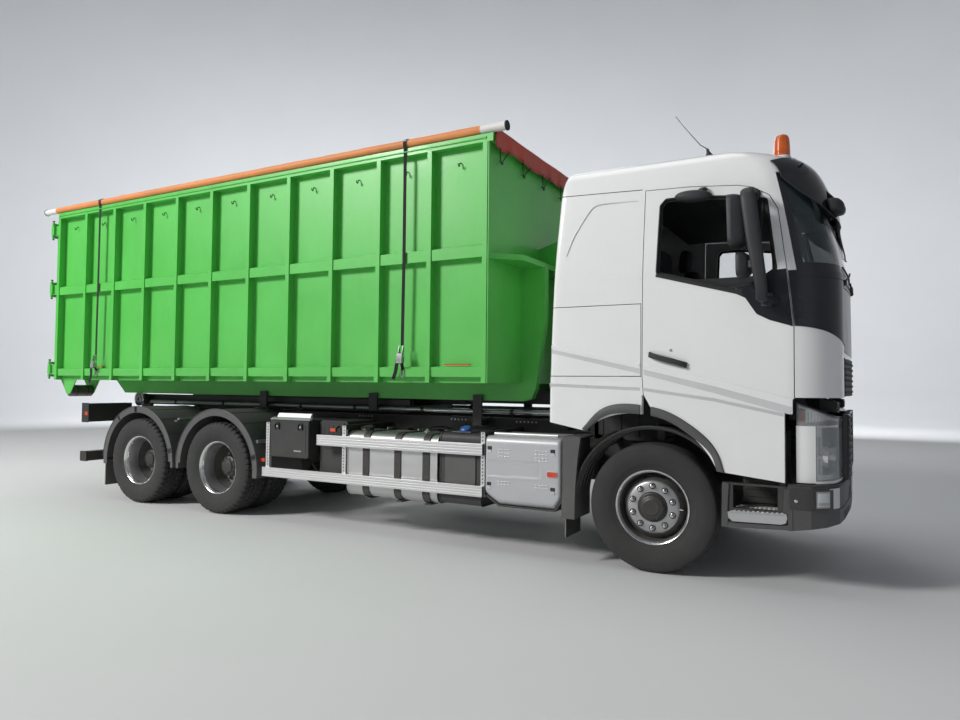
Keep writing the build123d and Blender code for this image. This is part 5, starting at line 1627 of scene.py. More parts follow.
    def rail(z0, z1, s0, s1):
        h = z1 - z0
        prof = [(1.2050, z0), (1.2350, z0), (1.2358, z0 + 0.003)]
        for c in (0.26, 0.50, 0.74):
            z = z0 + h * c
            prof += [(1.2358, z - 0.0055), (1.2322, z - 0.0035), (1.2322, z + 0.0035), (1.2358, z + 0.0055)]
        prof += [(1.2358, z1 - 0.003), (1.2350, z1), (1.2050, z1)]
        sh.prism([(o * a, b) for a, b in prof], "x", s0, s1, 1, 0)
        for e, d in ((s0, -1), (s1, 1)):
            sh.box(e, e + d * 0.006, o * 1.2055, o * 1.2345, z0 + 0.002, z1 - 0.002, 2)
    rail(0.474, 0.570, -4.180, -1.493)
    rail(0.840, 0.945, -3.420, -1.493)
    for x0, x1 in ((-4.157, -4.108), (-3.111, -3.063), (-1.522, -1.482)):
        xm = (x0 + x1) / 2
        sh.box(x0, x1, o * 1.200, o * 1.205, 0.474, 1.050, 0)
        sh.box(x0, x0 + 0.004, o * 1.172, o * 1.205, 0.474, 1.050, 0)
        sh.box(x1 - 0.004, x1, o * 1.172, o * 1.205, 0.474, 1.050, 0)
        # perforations drawn as small dark discs: painted shade of the holes
        for k in range(15):
            z = 0.600 + 0.031 * k
            if 0.83 < z < 0.955 and x0 > -4:
                continue
            sh.lathe(P(xm, o * 1.2049, z), (0, o, 0), [(0.0, 0.0), (0.0002, 0.0066), (0.0009, 0.0072),
                                                      (0.0011, 0.0060), (0.0004, 0.0)], 12, 3)
        sh.box(x0 - 0.004, x1 + 0.004, o * 0.430, o * 1.206, 1.046, 1.054, 2)
        sh.box(x0 - 0.002, x0 + 0.006, o * 0.430, o * 1.200, 1.010, 1.050, 2)
        sh.box(x1 - 0.006, x1 + 0.002, o * 0.430, o * 1.200, 1.010, 1.050, 2)
        for z in (0.498, 0.546):
            sh.bolt(P(xm, o * 1.1995, z), (0, -o, 0), 0.008, 0.009, 2)
    sh.make("side_guard_%s" % word, ["rail_metal", "rail_metal", "frame_paint", "hub_iron"], "chassis",
            bevel=0.0008, replaces=["side_guards"], angle=35)

    # lamps on the tail, with their lenses, and the end caps of the underrun bar
    sh = Shape()
    for y0, y1, m in ((0.870, 0.960, 1), (0.966, 1.075, 0), (1.081, 1.150, 2), (1.156, 1.212, 3)):
        sh.box(-7.444, -7.432, o * y0, o * y1, 1.006, 1.114, m)
        for k in range(6):
            z = 1.016 + 0.0175 * k
            sh.box(-7.4455, -7.443, o * (y0 + 0.006), o * (y1 - 0.006), z, z + 0.010, m)
    sh.box(-7.434, -7.405, o * 0.860, o * 1.220, 1.000, 1.120, 4)
    sh.box(-7.440, -7.430, o * 0.862, o * 1.218, 0.998, 1.004, 4)
    sh.box(-7.440, -7.430, o * 0.862, o * 1.218, 1.116, 1.122, 4)
    sh.make("tail_lamp_%s" % word, ["red_lens", "orange_lens", "white_lens", "amber_lens",
                                    "black_rubber"], "chassis", bevel=0.0015,
            replaces=["tail_lights"])
    sh = Shape()
    sh.prism([(-7.452, 0.436), (-7.328, 0.436), (-7.322, 0.448), (-7.322, 0.552), (-7.328, 0.564),
              (-7.452, 0.564), (-7.458, 0.552), (-7.458, 0.448)], "y", o * 1.195, o * 1.222, 0)
    sh.prism([(-7.420, 0.938), (-7.275, 0.938), (-7.275, 1.188), (-7.420, 1.188)], "y",
             o * 1.232, o * 1.2365, 0)
    sh.box(-7.350, -7.290, o * 1.236, o * 1.240, 1.030, 1.075, 1)
    sh.lathe(P(-7.4175, o * 0.780, 1.060), (-1, 0, 0), [(0, 0.040), (0.006, 0.040), (0.009, 0.034),
                                                        (0.009, 0)], 28, 2)
    for y in (0.700, 0.740):
        sh.bolt(P(-7.411, o * y, 1.060), (-1, 0, 0), 0.010, 0.010, 3)
    sh.make("tail_caps_%s" % word, ["black_rubber", "orange_lens", "red_lens", "galvanised"], "chassis",
            bevel=0.002)

# slats of the lower grille and the blank plates
sh = Shape()
for y0, y1 in ((-0.718, -0.497), (-0.348, 0.348), (0.497, 0.718)):
    for k in range(8):
        z = 0.800 + 0.058 * k
        sh.prism([(1.370, z), (1.381, z + 0.006), (1.384, z + 0.014), (1.382, z + 0.024), (1.370, z + 0.030)],
                 "y", y0, y1, 0)
    for y in (y0, y1):
        sh.box(1.368, 1.383, y - 0.006, y + 0.006, 0.785, 1.268, 1)
    sh.box(1.368, 1.384, y0, y1, 1.256, 1.270, 1)
sh.prism([(-0.262, 0.626), (0.262, 0.626), (0.262, 0.744), (-0.262, 0.744)], "x", 1.3795, 1.3835, 3)
sh.prism([(-0.257, 0.631), (0.257, 0.631), (0.257, 0.739), (-0.257, 0.739)], "x", 1.383, 1.3848, 2)
sh.lathe(P(1.3735, -0.360, 0.650), (1, 0, 0), [(0, 0.0), (0.002, 0.044), (0.006, 0.044), (0.008, 0.036),
                                               (0.008, 0)], 28, 1)
sh.make("grille_slats", ["dark_plastic", "black_gloss", "plate_white", "black_rubber"], "chassis",
        bevel=0.0012)
sh = Shape()
sh.prism([(-0.262, 0.640), (0.262, 0.640), (0.262, 0.760), (-0.262, 0.760)], "x", -7.3505, -7.3465, 1)
sh.box(-7.419, -7.412, -0.530, -0.125, 0.800, 0.925, 1)
sh.box(-7.421, -7.4185, -0.524, -0.131, 0.806, 0.919, 0)
for y in (-0.600, 0.600):
    sh.lathe(P(-7.4105, y, 0.865), (-1, 0, 0), [(0, 0.035), (0.012, 0.033), (0.016, 0.024), (0.016, 0)], 24, 2)
for y in (-0.08, 0.08):
    for z in (0.845, 0.945):
        sh.bolt(P(-7.345, y, z), (1, 0, 0), 0.014, 0.014, 1)
sh.make("rear_plate", ["plate_white", "black_rubber", "galvanised"], "chassis", bevel=0.001)

# fuel tank with three slotted straps, filler and gauge
def rounded_section(y0, y1, z0, z1, r, n=8):
    out = []
    for cy, cz, a0 in ((y1 - r, z1 - r, 0), (y0 + r, z1 - r, 90), (y0 + r, z0 + r, 180), (y1 - r, z0 + r, 270)):
        for k in range(n + 1):
            a = math.radians(a0 + 90 * k / n)
            out.append((cy + r * math.cos(a), cz + r * math.sin(a)))
    return out


def tank_body(sh, s0, s1, sec, mat, rim=0.012):
    """Drum of a rounded section with a rolled seam and dished ends."""
    cy = sum(p[0] for p in sec) / len(sec)
    cz = sum(p[1] for p in sec) / len(sec)

    def shrunk(k):
        return [(cy + (y - cy) * (1 - k / abs(y - cy) if abs(y - cy) > k else 1),
                 cz + (z - cz) * (1 - k / abs(z - cz) if abs(z - cz) > k else 1)) for y, z in sec]
    rows = [(s0 + 0.020, 0.060), (s0 + 0.012, 0.016), (s0, 0.004), (s0, 0.0), (s0 + 0.010, 0.0),
            (s0 + 0.012, 0.005), (s1 - 0.012, 0.005), (s1 - 0.010, 0.0), (s1, 0.0), (s1, 0.004),
            (s1 - 0.012, 0.016), (s1 - 0.020, 0.060)]
    n = len(sec)
    verts = []
    for s, k in rows:
        verts += [P(s, y, z) for y, z in shrunk(k)]
    faces = []
    for j in range(len(rows) - 1):
        for i in range(n):
            ii = (i + 1) % n
            faces.append((j * n + i, j * n + ii, (j + 1) * n + ii, (j + 1) * n + i))
    faces.append(tuple(range(n - 1, -1, -1)))
    faces.append(tuple((len(rows) - 1) * n + i for i in range(n)))
    sh.put(verts, faces, mat)


sh = Shape()
sec = rounded_section(-1.190, -0.600, 0.355, 1.000, 0.095, 10)
tank_body(sh, -3.055, -1.990, sec, 0)
strap_sec = rounded_section(-1.1935, -0.5965, 0.3515, 1.0035, 0.0985, 10)
hold = rounded_section(-1.1885, -0.6015, 0.3565, 0.9985, 0.0935, 10)
for s in (-2.820, -2.440, -2.115):
    for a, b, m in ((-0.038, 0.038, 1),):
        n = len(strap_sec)
        verts = []
        for x in (s + a, s + b):
            verts += [P(x, y, z) for y, z in strap_sec] + [P(x, y, z) for y, z in hold]
        faces = []
        for i in range(n):
            ii = (i + 1) % n
            faces += [(i, ii, 2 * n + ii, 2 * n + i), (i, n + i, n + ii, ii),
                      (2 * n + i, 2 * n + ii, 3 * n + ii, 3 * n + i)]
        sh.put(verts, faces, m)
    for dx in (-0.015, 0.015):
        for k in range(7):
            z = 0.490 + 0.065 * k
            sh.box(s + dx - 0.006, s + dx + 0.006, -1.1948, -1.1930, z, z + 0.040, 3)
    # tensioner on the top
    sh.box(s - 0.030, s + 0.030, -0.80, -0.74, 1.003, 1.016, 1)
    sh.rod(P(s, -0.84, 1.014), P(s, -0.70, 1.014), 0.008, n=10, mat=2)
    # bracket to the frame
    sh.prism([(-0.600, 0.345), (-0.430, 0.560), (-0.430, 1.000), (-0.470, 1.000), (-0.592, 0.960)], "x",
             s - 0.025, s + 0.025, 1)
    sh.box(s - 0.034, s + 0.034, -1.150, -0.470, 0.338, 0.352, 1)
# filler neck and cap
sh.lathe(P(-2.955, -0.985, 0.992), (0, -0.30, 0.95), [(0, 0.060), (0.016, 0.060), (0.018, 0.066), (0.036, 0.066),
                                                      (0.044, 0.058), (0.047, 0.030), (0.047, 0)], 32, 3)
for k in range(10):
    a = 2 * math.pi * k / 10
    sh.lathe(P(-2.955 + 0.064 * math.cos(a), -0.993 + 0.064 * math.sin(a), 1.022), (0, -0.30, 0.95),
             [(-0.006, 0), (-0.006, 0.007), (0.012, 0.007), (0.012, 0)], 8, 3)
sh.lathe(P(-2.300, -0.880, 0.998), (0, 0, 1), [(0, 0.040), (0.008, 0.040), (0.012, 0.030), (0.030, 0.014),
                                               (0.032, 0)], 24, 2)
for k in range(5):
    a = 2 * math.pi * k / 5
    sh.bolt(P(-2.300 + 0.031 * math.cos(a), -0.880 + 0.031 * math.sin(a), 1.006), (0, 0, 1), 0.005, 0.005, 2)
sh.tube([P(-2.300, -0.880, 1.028), P(-2.28, -0.80, 1.045), P(-2.25, -0.65, 1.040), P(-2.22, -0.48, 1.000)],
        0.008, 8, 3, smooth_steps=5)
# additive tank: rounded black body, grey cover, blue cap
sec = rounded_section(-1.185, -0.620, 0.370, 1.035, 0.060, 8)
tank_body(sh, -1.965, -1.530, sec, 3, 0.01)
panel = rounded_section(-1.905, -1.585, 0.560, 0.885, 0.035, 6)
sh.prism([(a, b) for a, b in panel], "y", -1.184, -1.1905, 4)
sh.lathe(P(-1.748, -1.075, 1.020), (0, -0.35, 0.94), [(0, 0.044), (0.020, 0.044), (0.022, 0.050), (0.052, 0.050),
                                                      (0.060, 0.043), (0.064, 0.022), (0.064, 0)], 32, 5)
for k in range(12):
    a = 2 * math.pi * k / 12
    d = Vector((math.cos(a), math.sin(a) * 0.94, math.sin(a) * 0.35))
    sh.lathe(P(-1.748, -1.0855, 1.0485) + d * 0.049, (0, -0.35, 0.94),
             [(-0.010, 0), (-0.010, 0.006), (0.018, 0.006), (0.018, 0)], 8, 5)
sh.box(-1.860, -1.660, -1.150, -0.980, 1.030, 1.041, 4)
sh.tube([P(-1.640, -0.90, 1.030), P(-1.60, -0.80, 1.060), P(-1.55, -0.65, 1.055), P(-1.50, -0.48, 1.02)],
        0.010, 8, 3, smooth_steps=5)
sh.make("tanks", ["tank_metal", "frame_paint", "galvanised", "dark_plastic", "grey_plastic", "blue_cap"],
        "chassis", bevel=0.0015, replaces=["side_tanks"], angle=34)

# silencer: body behind, pressed cover with a rolled top, clips, ribs and reflector
sh = Shape()
body = [(-1.466, 0.505), (-1.328, 0.428), (-0.822, 0.428), (-0.762, 0.505), (-0.762, 0.985), (-1.466, 0.985)]
sh.prism(body, "y", -1.190, -0.625, 1)


def cover_at(u, v):
    """u along s, v up the face and round the rolled top; both 0 to 1."""
    s0, s1 = -1.476, -0.750
    s = s0 + (s1 - s0) * u
    low = line((-1.476, 0.512), (-1.333, 0.428), (-0.815, 0.428), (-0.750, 0.512))(s)
    face, arc = 0.960 - low, 0.060 * math.pi / 2
    d = v * (face + arc + 0.30)
    edge = min(u, 1 - u) * (s1 - s0)
    turn = 0.0 if edge > 0.030 else 0.030 - math.sqrt(max(0.0, 0.030 ** 2 - (0.030 - edge) ** 2))
    if d < face:
        y, z = -1.218, low + d
        k = min(1.0, max(0.0, (0.045 - d) / 0.045))
        y += 0.030 * k * k
    elif d < face + arc:
        a = (d - face) / 0.060
        y, z = -1.218 + 0.060 * (1 - math.cos(a)), 0.960 + 0.060 * math.sin(a)
    else:
        y, z = -1.158 + (d - face - arc), 1.020 + 0.004 * math.sin((d - face - arc) * 8)
    press = 0.0
    if d < face:
        for zc, up in ((0.800, -1), (0.665, 1)):
            w = (z - zc - 0.012 * (s + 1.1)) / 0.006
            if -1.45 < s < -0.93:
                press += up * 0.0035 * math.exp(-w * w) * min(1, (s + 1.455) / 0.01, (-0.925 - s) / 0.05)
        if 0.672 + 0.012 * (s + 1.1) < z < 0.792 + 0.012 * (s + 1.1) and -1.45 < s < -0.93:
            press -= 0.0022
    y -= press
    y += turn * (1 if d < face + arc else 0)
    if d >= face + arc:
        z -= turn
    return P(s, y, z)


nu, nv = 110, 84
us = [0.0, 0.002, 0.005, 0.010, 0.018, 0.030] + [0.042 + 0.916 * i / (nu - 12) for i in range(nu - 11)] + \
     [0.970, 0.982, 0.990, 0.995, 0.998, 1.0]
verts = []
for u in us:
    for j in range(nv + 1):
        verts.append(cover_at(u, j / nv))
m = nv + 1
faces = [(i * m + j, (i + 1) * m + j, (i + 1) * m + j + 1, i * m + j + 1)
         for i in range(len(us) - 1) for j in range(nv)]
inner = [Vector(v) + Vector((0, 0.006, -0.004)) for v in verts]
k = len(verts)
faces += [(k + a, k + d, k + c, k + b) for a, b, c, d in faces]
nu1 = len(us) - 1
for i in range(nu1):
    faces += [(i * m, k + i * m, k + (i + 1) * m, (i + 1) * m),
              (i * m + nv, (i + 1) * m + nv, k + (i + 1) * m + nv, k + i * m + nv)]
for j in range(nv):
    faces += [(j, j + 1, k + j + 1, k + j),
              (nu1 * m + j, k + nu1 * m + j, k + nu1 * m + j + 1, nu1 * m + j + 1)]
sh.put([tuple(v) for v in verts] + [tuple(v) for v in inner], faces, 0)
# darker lower edge and the bright bead on the top
sh.prism([(-1.478, 0.512), (-1.334, 0.420), (-0.814, 0.420), (-0.748, 0.512), (-0.748, 0.488),
          (-0.808, 0.404), (-1.340, 0.404), (-1.478, 0.488)], "y", -1.200, -0.640, 2)
sh.tube([P(-1.455, -1.060, 1.030), P(-0.835, -1.060, 1.032)], 0.016, 12, 3)
sh.box(-1.450, -0.840, -1.040, -0.680, 1.018, 1.026, 3)
# four clips
for s, z in ((-1.425, 0.905), (-0.822, 0.905), (-1.430, 0.590), (-0.822, 0.585)):
    sh.box(s - 0.022, s + 0.022, -1.2172, -1.2188, z - 0.004, z + 0.024, 4)
    for dx in (-0.011, 0.011):
        sh.box(s + dx - 0.005, s + dx + 0.005, -1.216, -1.2225, z - 0.006, z + 0.020, 4)
    sh.box(s - 0.018, s + 0.018, -1.216, -1.2225, z - 0.032, z - 0.008, 3)
# groups of small raised ribs
for s0, zs in ((-1.345, (0.905, 0.875, 0.845)), (-0.985, (0.910, 0.880, 0.850, 0.825)),
               (-1.345, (0.625, 0.600)), (-0.985, (0.620, 0.595))):
    for z in zs:
        for k in range(4):
            a = s0 + 0.032 * k
            sh.tube([P(a, -1.2178, z), P(a + 0.008, -1.2196, z), P(a + 0.018, -1.2196, z),
                     P(a + 0.026, -1.2178, z)], 0.0036, 8, 0)
# reflector with its bezel
ref = rounded_section(-0.878, -0.778, 0.690, 0.745, 0.016, 5)
sh.prism([(a, b) for a, b in ref], "y", -1.214, -1.2225, 3)
ref = rounded_section(-0.873, -0.783, 0.695, 0.740, 0.013, 5)
sh.prism([(a, b) for a, b in ref], "y", -1.222, -1.2265, 5)
for k in range(7):
    sh.box(-0.868 + 0.0125 * k, -0.862 + 0.0125 * k, -1.2262, -1.2272, 0.699, 0.736, 5)
# pipe between silencer and engine
sh.tube([P(-0.80, -0.72, 0.86), P(-0.66, -0.70, 0.90), P(-0.55, -0.58, 0.98), P(-0.50, -0.40, 1.02),
         P(-0.48, -0.30, 1.00)], 0.055, 18, 4, smooth_steps=6)
for k in range(6):
    sh.lathe(P(-0.76 + 0.012 * k, -0.716, 0.868 + 0.003 * k), (1, -0.1, 0.28), [(-0.003, 0.056), (0, 0.062), (0.003, 0.056)],
             24, 4)
sh.make("silencer", ["cover_silver", "iron", "frame_paint", "rail_metal", "hub_iron", "orange_lens"],
        "chassis", bevel=0.0, replaces=["silencer_box"], angle=40)

# toolbox: bright sloped lip above the lid, seams; lid with two latches
sh = Shape()
sh.prism([(-1.1700, 1.0760), (-1.1960, 1.0780), (-1.2030, 1.0880), (-1.1500, 1.1060), (-1.1400, 1.1060)],
         "x", -4.105, -3.550, 1)
sh.prism([(-1.150, 1.102), (-1.120, 1.148), (-1.105, 1.150), (-1.120, 1.076)], "x", -4.060, -3.590, 1)
sh.box(-4.100, -3.555, -1.100, -0.620, 1.0745, 1.0800, 0)
for s in (-4.101, -3.554):
    for z in (0.76, 1.00):
        sh.rivet(P(s, -0.90, z), (-1 if s < -4 else 1, 0, 0), 0.008, 1)
for s in (-3.990, -3.665):
    sh.box(s - 0.030, s + 0.030, -0.640, -0.430, 0.700, 0.735, 2)
    sh.box(s - 0.030, s + 0.030, -0.470, -0.430, 0.700, 1.000, 2)
sh.make("toolbox_edges", ["dark_plastic", "rail_metal", "frame_paint"], "chassis", bevel=0.0015)
sh = Shape()
lid = rounded_section(-4.094, -3.561, 0.699, 1.069, 0.018, 5)
sh.prism([(a, b) for a, b in lid], "y", -1.198, -1.2055, 0)
lid2 = rounded_section(-4.060, -3.595, 0.733, 1.035, 0.014, 5)
sh.prism([(a, b) for a, b in lid2], "y", -1.205, -1.2090, 0)
for s in (-3.990, -3.665):
    # latch: keeper plate, bail and folding handle
    sh.prism([(s - 0.030, 0.985), (s + 0.030, 0.985), (s + 0.036, 1.030), (s + 0.024, 1.052),
              (s - 0.024, 1.052), (s - 0.036, 1.030)], "y", -1.2085, -1.2150, 1)
    pts = [P(s - 0.024, -1.2165, 0.978), P(s - 0.028, -1.2205, 1.010), P(s - 0.018, -1.2215, 1.038),
           P(s, -1.2215, 1.046), P(s + 0.018, -1.2215, 1.038), P(s + 0.028, -1.2205, 1.010),
           P(s + 0.024, -1.2165, 0.978)]
    sh.tube(pts, 0.0060, 8, 1, smooth_steps=4)
    sh.lathe(P(s, -1.2150, 1.008), (0, -1, 0), [(0, 0.012), (0.003, 0.012), (0.005, 0.008), (0.005, 0)], 16, 2)
# small blank plate and the hinge strip below
sh.box(-3.755, -3.655, -1.2088, -1.2100, 0.752, 0.768, 2)
sh.rod(P(-4.090, -1.2035, 0.694), P(-3.565, -1.2035, 0.694), 0.007, n=12, mat=1)
sh.make("toolbox_lid_latches", ["dark_plastic", "black_rubber", "galvanised"], "toolbox_lid",
        bevel=0.0015)

# panel between the toolbox and the tank, battery cover, air tank bands
sh = Shape()
for zz0, zz1, yy in ((0.480, 1.085, -1.090),):
    sec = rounded_section(-3.500, -3.135, zz0, zz1, 0.030, 5)
    sh.prism([(a, b) for a, b in sec], "y", -0.620, yy, 0)
sh.prism([(-3.470, 0.80), (-3.180, 0.80), (-3.180, 1.06), (-3.470, 1.06)], "y", -1.090, -1.098, 0)
for k in range(5):
    sh.box(-3.460 + 0.058 * k, -3.430 + 0.058 * k, -1.0975, -1.1015, 0.82, 1.04, 0)
sh.box(-3.490, -3.150, -0.640, -0.428, 0.62, 0.70, 1)
sh.box(-3.490, -3.150, -0.640, -0.428, 0.95, 1.01, 1)
sh.make("filter_housing", ["dark_plastic", "frame_paint"], "chassis", bevel=0.004)
sh = Shape()
sec = rounded_section(-1.482, -0.744, 0.442, 1.036, 0.045, 7)
sh.prism([(a, b) for a, b in sec], "y", 1.150, 1.206, 0)
for k in range(8):
    sh.box(-1.40 + 0.085 * k, -1.355 + 0.085 * k, 1.205, 1.2105, 0.52, 0.96, 0)
for s in (-1.455, -0.772):
    for z in (0.60, 0.88):
        sh.box(s - 0.018, s + 0.018, 1.170, 1.214, z - 0.040, z + 0.040, 1)
sh.box(-1.450, -0.775, 0.640, 1.150, 1.030, 1.037, 0)
sh.make("battery_cover", ["dark_plastic", "black_rubber"], "chassis", bevel=0.003)
sh = Shape()
for y, z in ((0.860, 0.780), (0.860, 0.520), (1.052, 0.650)):
    for s, d in ((-3.025, -1), (-1.775, 1)):
        sh.lathe(P(s, y, z), (d, 0, 0), [(-0.030, 0.118), (-0.012, 0.119), (0.0, 0.112), (0.010, 0.090),
                                         (0.015, 0.050), (0.016, 0.022), (0.030, 0.020), (0.030, 0)], 36, 0)
    for s in (-2.750, -2.050):
        sh.lathe(P(s, y, z), (1, 0, 0), [(-0.022, 0.1175), (-0.022, 0.1215), (0.022, 0.1215), (0.022, 0.1175)],
                 40, 1, closed=True)
    sh.lathe(P(-2.400, y, z - 0.112), (0, 0, -1), [(0, 0.016), (0.014, 0.014), (0.024, 0.008), (0.024, 0)], 12, 2)
    sh.tube([P(-3.045, y, z), P(-3.09, y, z), P(-3.12, y - 0.06, z + 0.04), P(-3.12, y - 0.25, z + 0.12),
             P(-3.10, 0.430, 0.86)], 0.008, 8, 3, smooth_steps=5)
sh.make("air_tank_bands", ["frame_paint", "galvanised", "nut_chrome", "black_rubber"], "chassis")

# frame details: bolt rows, bright holes, pipe and hoses, brackets, side markers
sh = Shape()
for side in (-1, 1):
    o = side
    for s0, n, dz in ((-1.31, 6, 1.110), (-2.10, 5, 1.112), (-3.30, 5, 1.112)):
        for k in range(n):
            sh.lathe(P(s0 - 0.042 * k, o * 0.4815, dz), (0, o, 0), [(0, 0), (0.0008, 0.0085), (0.002, 0.0085),
                                                                    (0.002, 0)], 12, 1)
    for k in range(24):
        s = -0.85 - 0.27 * k
        for z in (0.80, 0.96):
            if -4.2 < s < -3.0 and z < 0.9:
                continue
            sh.bolt(P(s, o * 0.4265, z), (0, o, 0), 0.010, 0.010, 2)
    # return pipe along the frame
    pipe = [P(-7.02, o * 0.520, 1.205), P(-6.6, o * 0.520, 1.205), P(-4.9, o * 0.520, 1.205),
            P(-3.1, o * 0.520, 1.205), P(-1.70, o * 0.520, 1.205), P(-0.80, o * 0.520, 1.205)]
    sh.tube(pipe, 0.021, 12, 3)
    for s in (-6.5, -5.6, -4.3, -3.5, -2.6, -1.55, -0.95):
        sh.box(s - 0.018, s + 0.018, o * 0.484, o * 0.545, 1.178, 1.186, 0)
        sh.lathe(P(s - 0.016, o * 0.520, 1.205), (1, 0, 0), [(0, 0.0215), (0, 0.028), (0.032, 0.028), (0.032, 0.0215)],
                 16, 0, closed=True)
    # marker lamps on stalks under the frame's side
    for s, z in ((-4.215, 0.640), (-3.240, 1.000)):
        sh.box(s - 0.040, s + 0.040, o * 1.180, o * 1.192, z - 0.022, z + 0.022, 5)
        sh.box(s - 0.034, s + 0.034, o * 1.191, o * 1.200, z - 0.017, z + 0.017, 4)
        sh.tube([P(s, o * 1.18, z), P(s, o * 1.00, z + 0.05), P(s, o * 0.45, z + 0.08)], 0.009, 8, 0,
                smooth_steps=3)
# hoses between the frame and the cab
for k, (y, r, m) in enumerate(((-0.18, 0.011, 5), (-0.10, 0.009, 6), (0.02, 0.010, 5), (0.12, 0.012, 5))):
    sh.tube([P(-0.72, y, 1.00), P(-0.83, y + 0.02, 1.10), P(-0.95, y, 1.12), P(-1.05, y - 0.03, 1.02),
             P(-1.10, y, 0.95)], r, 8, m, smooth_steps=6)
sh.make("frame_details", ["frame_paint", "galvanised", "iron", "galvanised", "orange_lens",
                          "black_rubber", "hose_red"], "chassis", angle=40)

# hoses and pin heads of the hook lift
sh = Shape()
for y in (-0.25, 0.25):
    sh.tube([P(-6.80, y, 1.24), P(-6.2, y * 0.9, 1.262), P(-5.0, y * 0.9, 1.262), P(-4.2, y * 0.9, 1.262)],
            0.010, 8, 0, smooth_steps=4)
    for s in (-6.5, -5.6, -4.8):
        sh.box(s - 0.015, s + 0.015, y * 0.94 - 0.02, y * 0.94 + 0.02, 1.240, 1.272, 1)
for side in (-1, 1):
    for s, z in ((-7.170, 1.235),):
        sh.lathe(P(s, side * 0.604, z), (0, side, 0), [(-0.010, 0.052), (0.002, 0.052), (0.006, 0.044),
                                                       (0.010, 0.030), (0.010, 0)], 28, 1)
sh.make("tipping_frame_hoses", ["black_rubber", "galvanised"], "tipping_frame")
sh = Shape()
for side in (-1, 1):
    sh.lathe(P(-7.170, side * 0.5835, 1.235), (0, side, 0), [(0, 0.072), (0.020, 0.072), (0.0205, 0.090), (0.018, 0.0935),
                                                            (0.002, 0.0938), (0, 0.088)], 40, 0, closed=True)
sh.make("rear_roller_rings", ["nut_chrome"], "rear_rollers")

# -------------------------------------------------- container and tarpaulin
TARP_PATH = [(-1.197, 3.8025), (-1.165, 3.7945), (-1.120, 3.7885), (-1.050, 3.7865),
             (-0.500, 3.7860), (0.500, 3.7860), (1.150, 3.7860), (1.196, 3.7850),
             (1.226, 3.7765), (1.245, 3.7600), (1.2545, 3.7360), (1.2570, 3.7000),
             (1.2580, 3.6450)]
TARP_W = sum(math.dist(a, b) for a, b in zip(TARP_PATH, TARP_PATH[1:]))
TARP_REAR, TARP_FRONT, TARP_DROP = -8.045, -1.396, 0.186
TARP_L = TARP_FRONT - TARP_REAR
BOWS = [-1.481 - 1.188 * i for i in range(6)]


def across(v):
    for a, b in zip(TARP_PATH, TARP_PATH[1:]):
        d = math.dist(a, b)
        if v <= d + 1e-9:
            k = v / d
            return a[0] + (b[0] - a[0]) * k, a[1] + (b[1] - a[1]) * k
        v -= d
    return TARP_PATH[-1]


def hem_line(y):
    return 0.010 * math.sin(2 * math.pi * (y + 0.95) / 0.62) + 0.008 * math.sin(7.3 * y + 0.8)


def cloth_at(u, v):
    """u from the rear edge, v from the roll, both in metres on the flat cloth."""
    y, z = across(v)
    s = TARP_REAR + min(u, TARP_L)
    flat = min(1.0, max(0.0, (1.16 - abs(y)) / 0.35))
    near = min(abs(s - b) for b in BOWS)
    hang = min(1.0, near / 0.594)
    z -= flat * 0.017 * math.sin(hang * math.pi / 2) ** 1.4
    z += flat * (0.0022 * math.sin(5.1 * s + 2.3 * y) + 0.0018 * math.sin(11.0 * y - 3.7 * s + 1.0)
                 + 0.0014 * math.sin(17.0 * s + 1.3) * math.sin(6.0 * y + 0.4))
    low = max(0.0, min(1.0, (3.76 - z) / 0.11)) if y > 1.2 else 0.0
    y += low * (0.0045 * math.sin(2 * math.pi * s / 0.594) + 0.0030 * math.sin(9.7 * s))
    d = u - TARP_L
    if d > 0:
        k = d / TARP_DROP
        d *= 1 - hem_line(y) / TARP_DROP
        r = 0.014
        a = min(d / r, math.pi / 2)
        s = TARP_FRONT + r * math.sin(a)
        z += -r * (1 - math.cos(a)) - max(0.0, d - r * math.pi / 2)
        s += k * (0.0060 * math.sin(2 * math.pi * y / 0.31 + 0.6) + 0.0045 * math.sin(26 * y)
                  + 0.0030 * math.sin(47 * y + 1.1)) * (0.4 + 0.6 * k) - 0.004 * k
        y -= 0.055 * k * max(0.0, min(1.0, (-0.95 - y) / 0.22))
    return P(s, y, z)


sh = Shape()
nu, ns, nv = 190, 12, 96
us = [TARP_L * i / nu for i in range(nu + 1)] + [TARP_L + TARP_DROP * (i + 1) / ns for i in range(ns)]
vs = []
for i in range(nv + 1):
    vs.append(TARP_W * i / nv)
flap_v = TARP_W - 0.150
verts, faces, cloth_mats = [], [], []
for u in us:
    for v in vs:
        verts.append(cloth_at(u, v))
m1 = len(vs)
used = set()
for i in range(len(us) - 1):
    for j in range(nv):
        if us[i] >= TARP_L - 1e-6 and vs[j + 1] > flap_v:
            continue
        q = (i * m1 + j, (i + 1) * m1 + j, (i + 1) * m1 + j + 1, i * m1 + j + 1)
        faces.append(q)
        used.update(q)
        # skirt faces take the red painted shade; the hem rows take a deeper painted shade
        skirt = us[i] >= TARP_L - 1e-6
        hem = skirt and i >= len(us) - 3
        cloth_mats.append(2 if hem else 1 if skirt else 0)
remap, kept = {}, []
for i in sorted(used):
    remap[i] = len(kept)
    kept.append(verts[i])
faces = [tuple(remap[i] for i in q) for q in faces]
sh.v, sh.f, sh.m, sh.s = [tuple(p) for p in kept], faces, cloth_mats, [True] * len(faces)


# hem rows: darker still than the skirt's painted shade
finish_mat("tarp_hem_painted_shade", (0.40, 0.045, 0.026), 0.55, vary=0.14, scale=6, bump=0.0006, bump_scale=260,
           grime=0.3)
sheet_ob = sh.make("tarpaulin_sheet", ["tarp_orange", "tarp_skirt_painted_shade", "tarp_hem_painted_shade"], "container",
                   angle=180, replaces=["tarp"])
thick = sheet_ob.modifiers.new("thickness", "SOLIDIFY")
thick.thickness = 0.003
thick.offset = 0.0

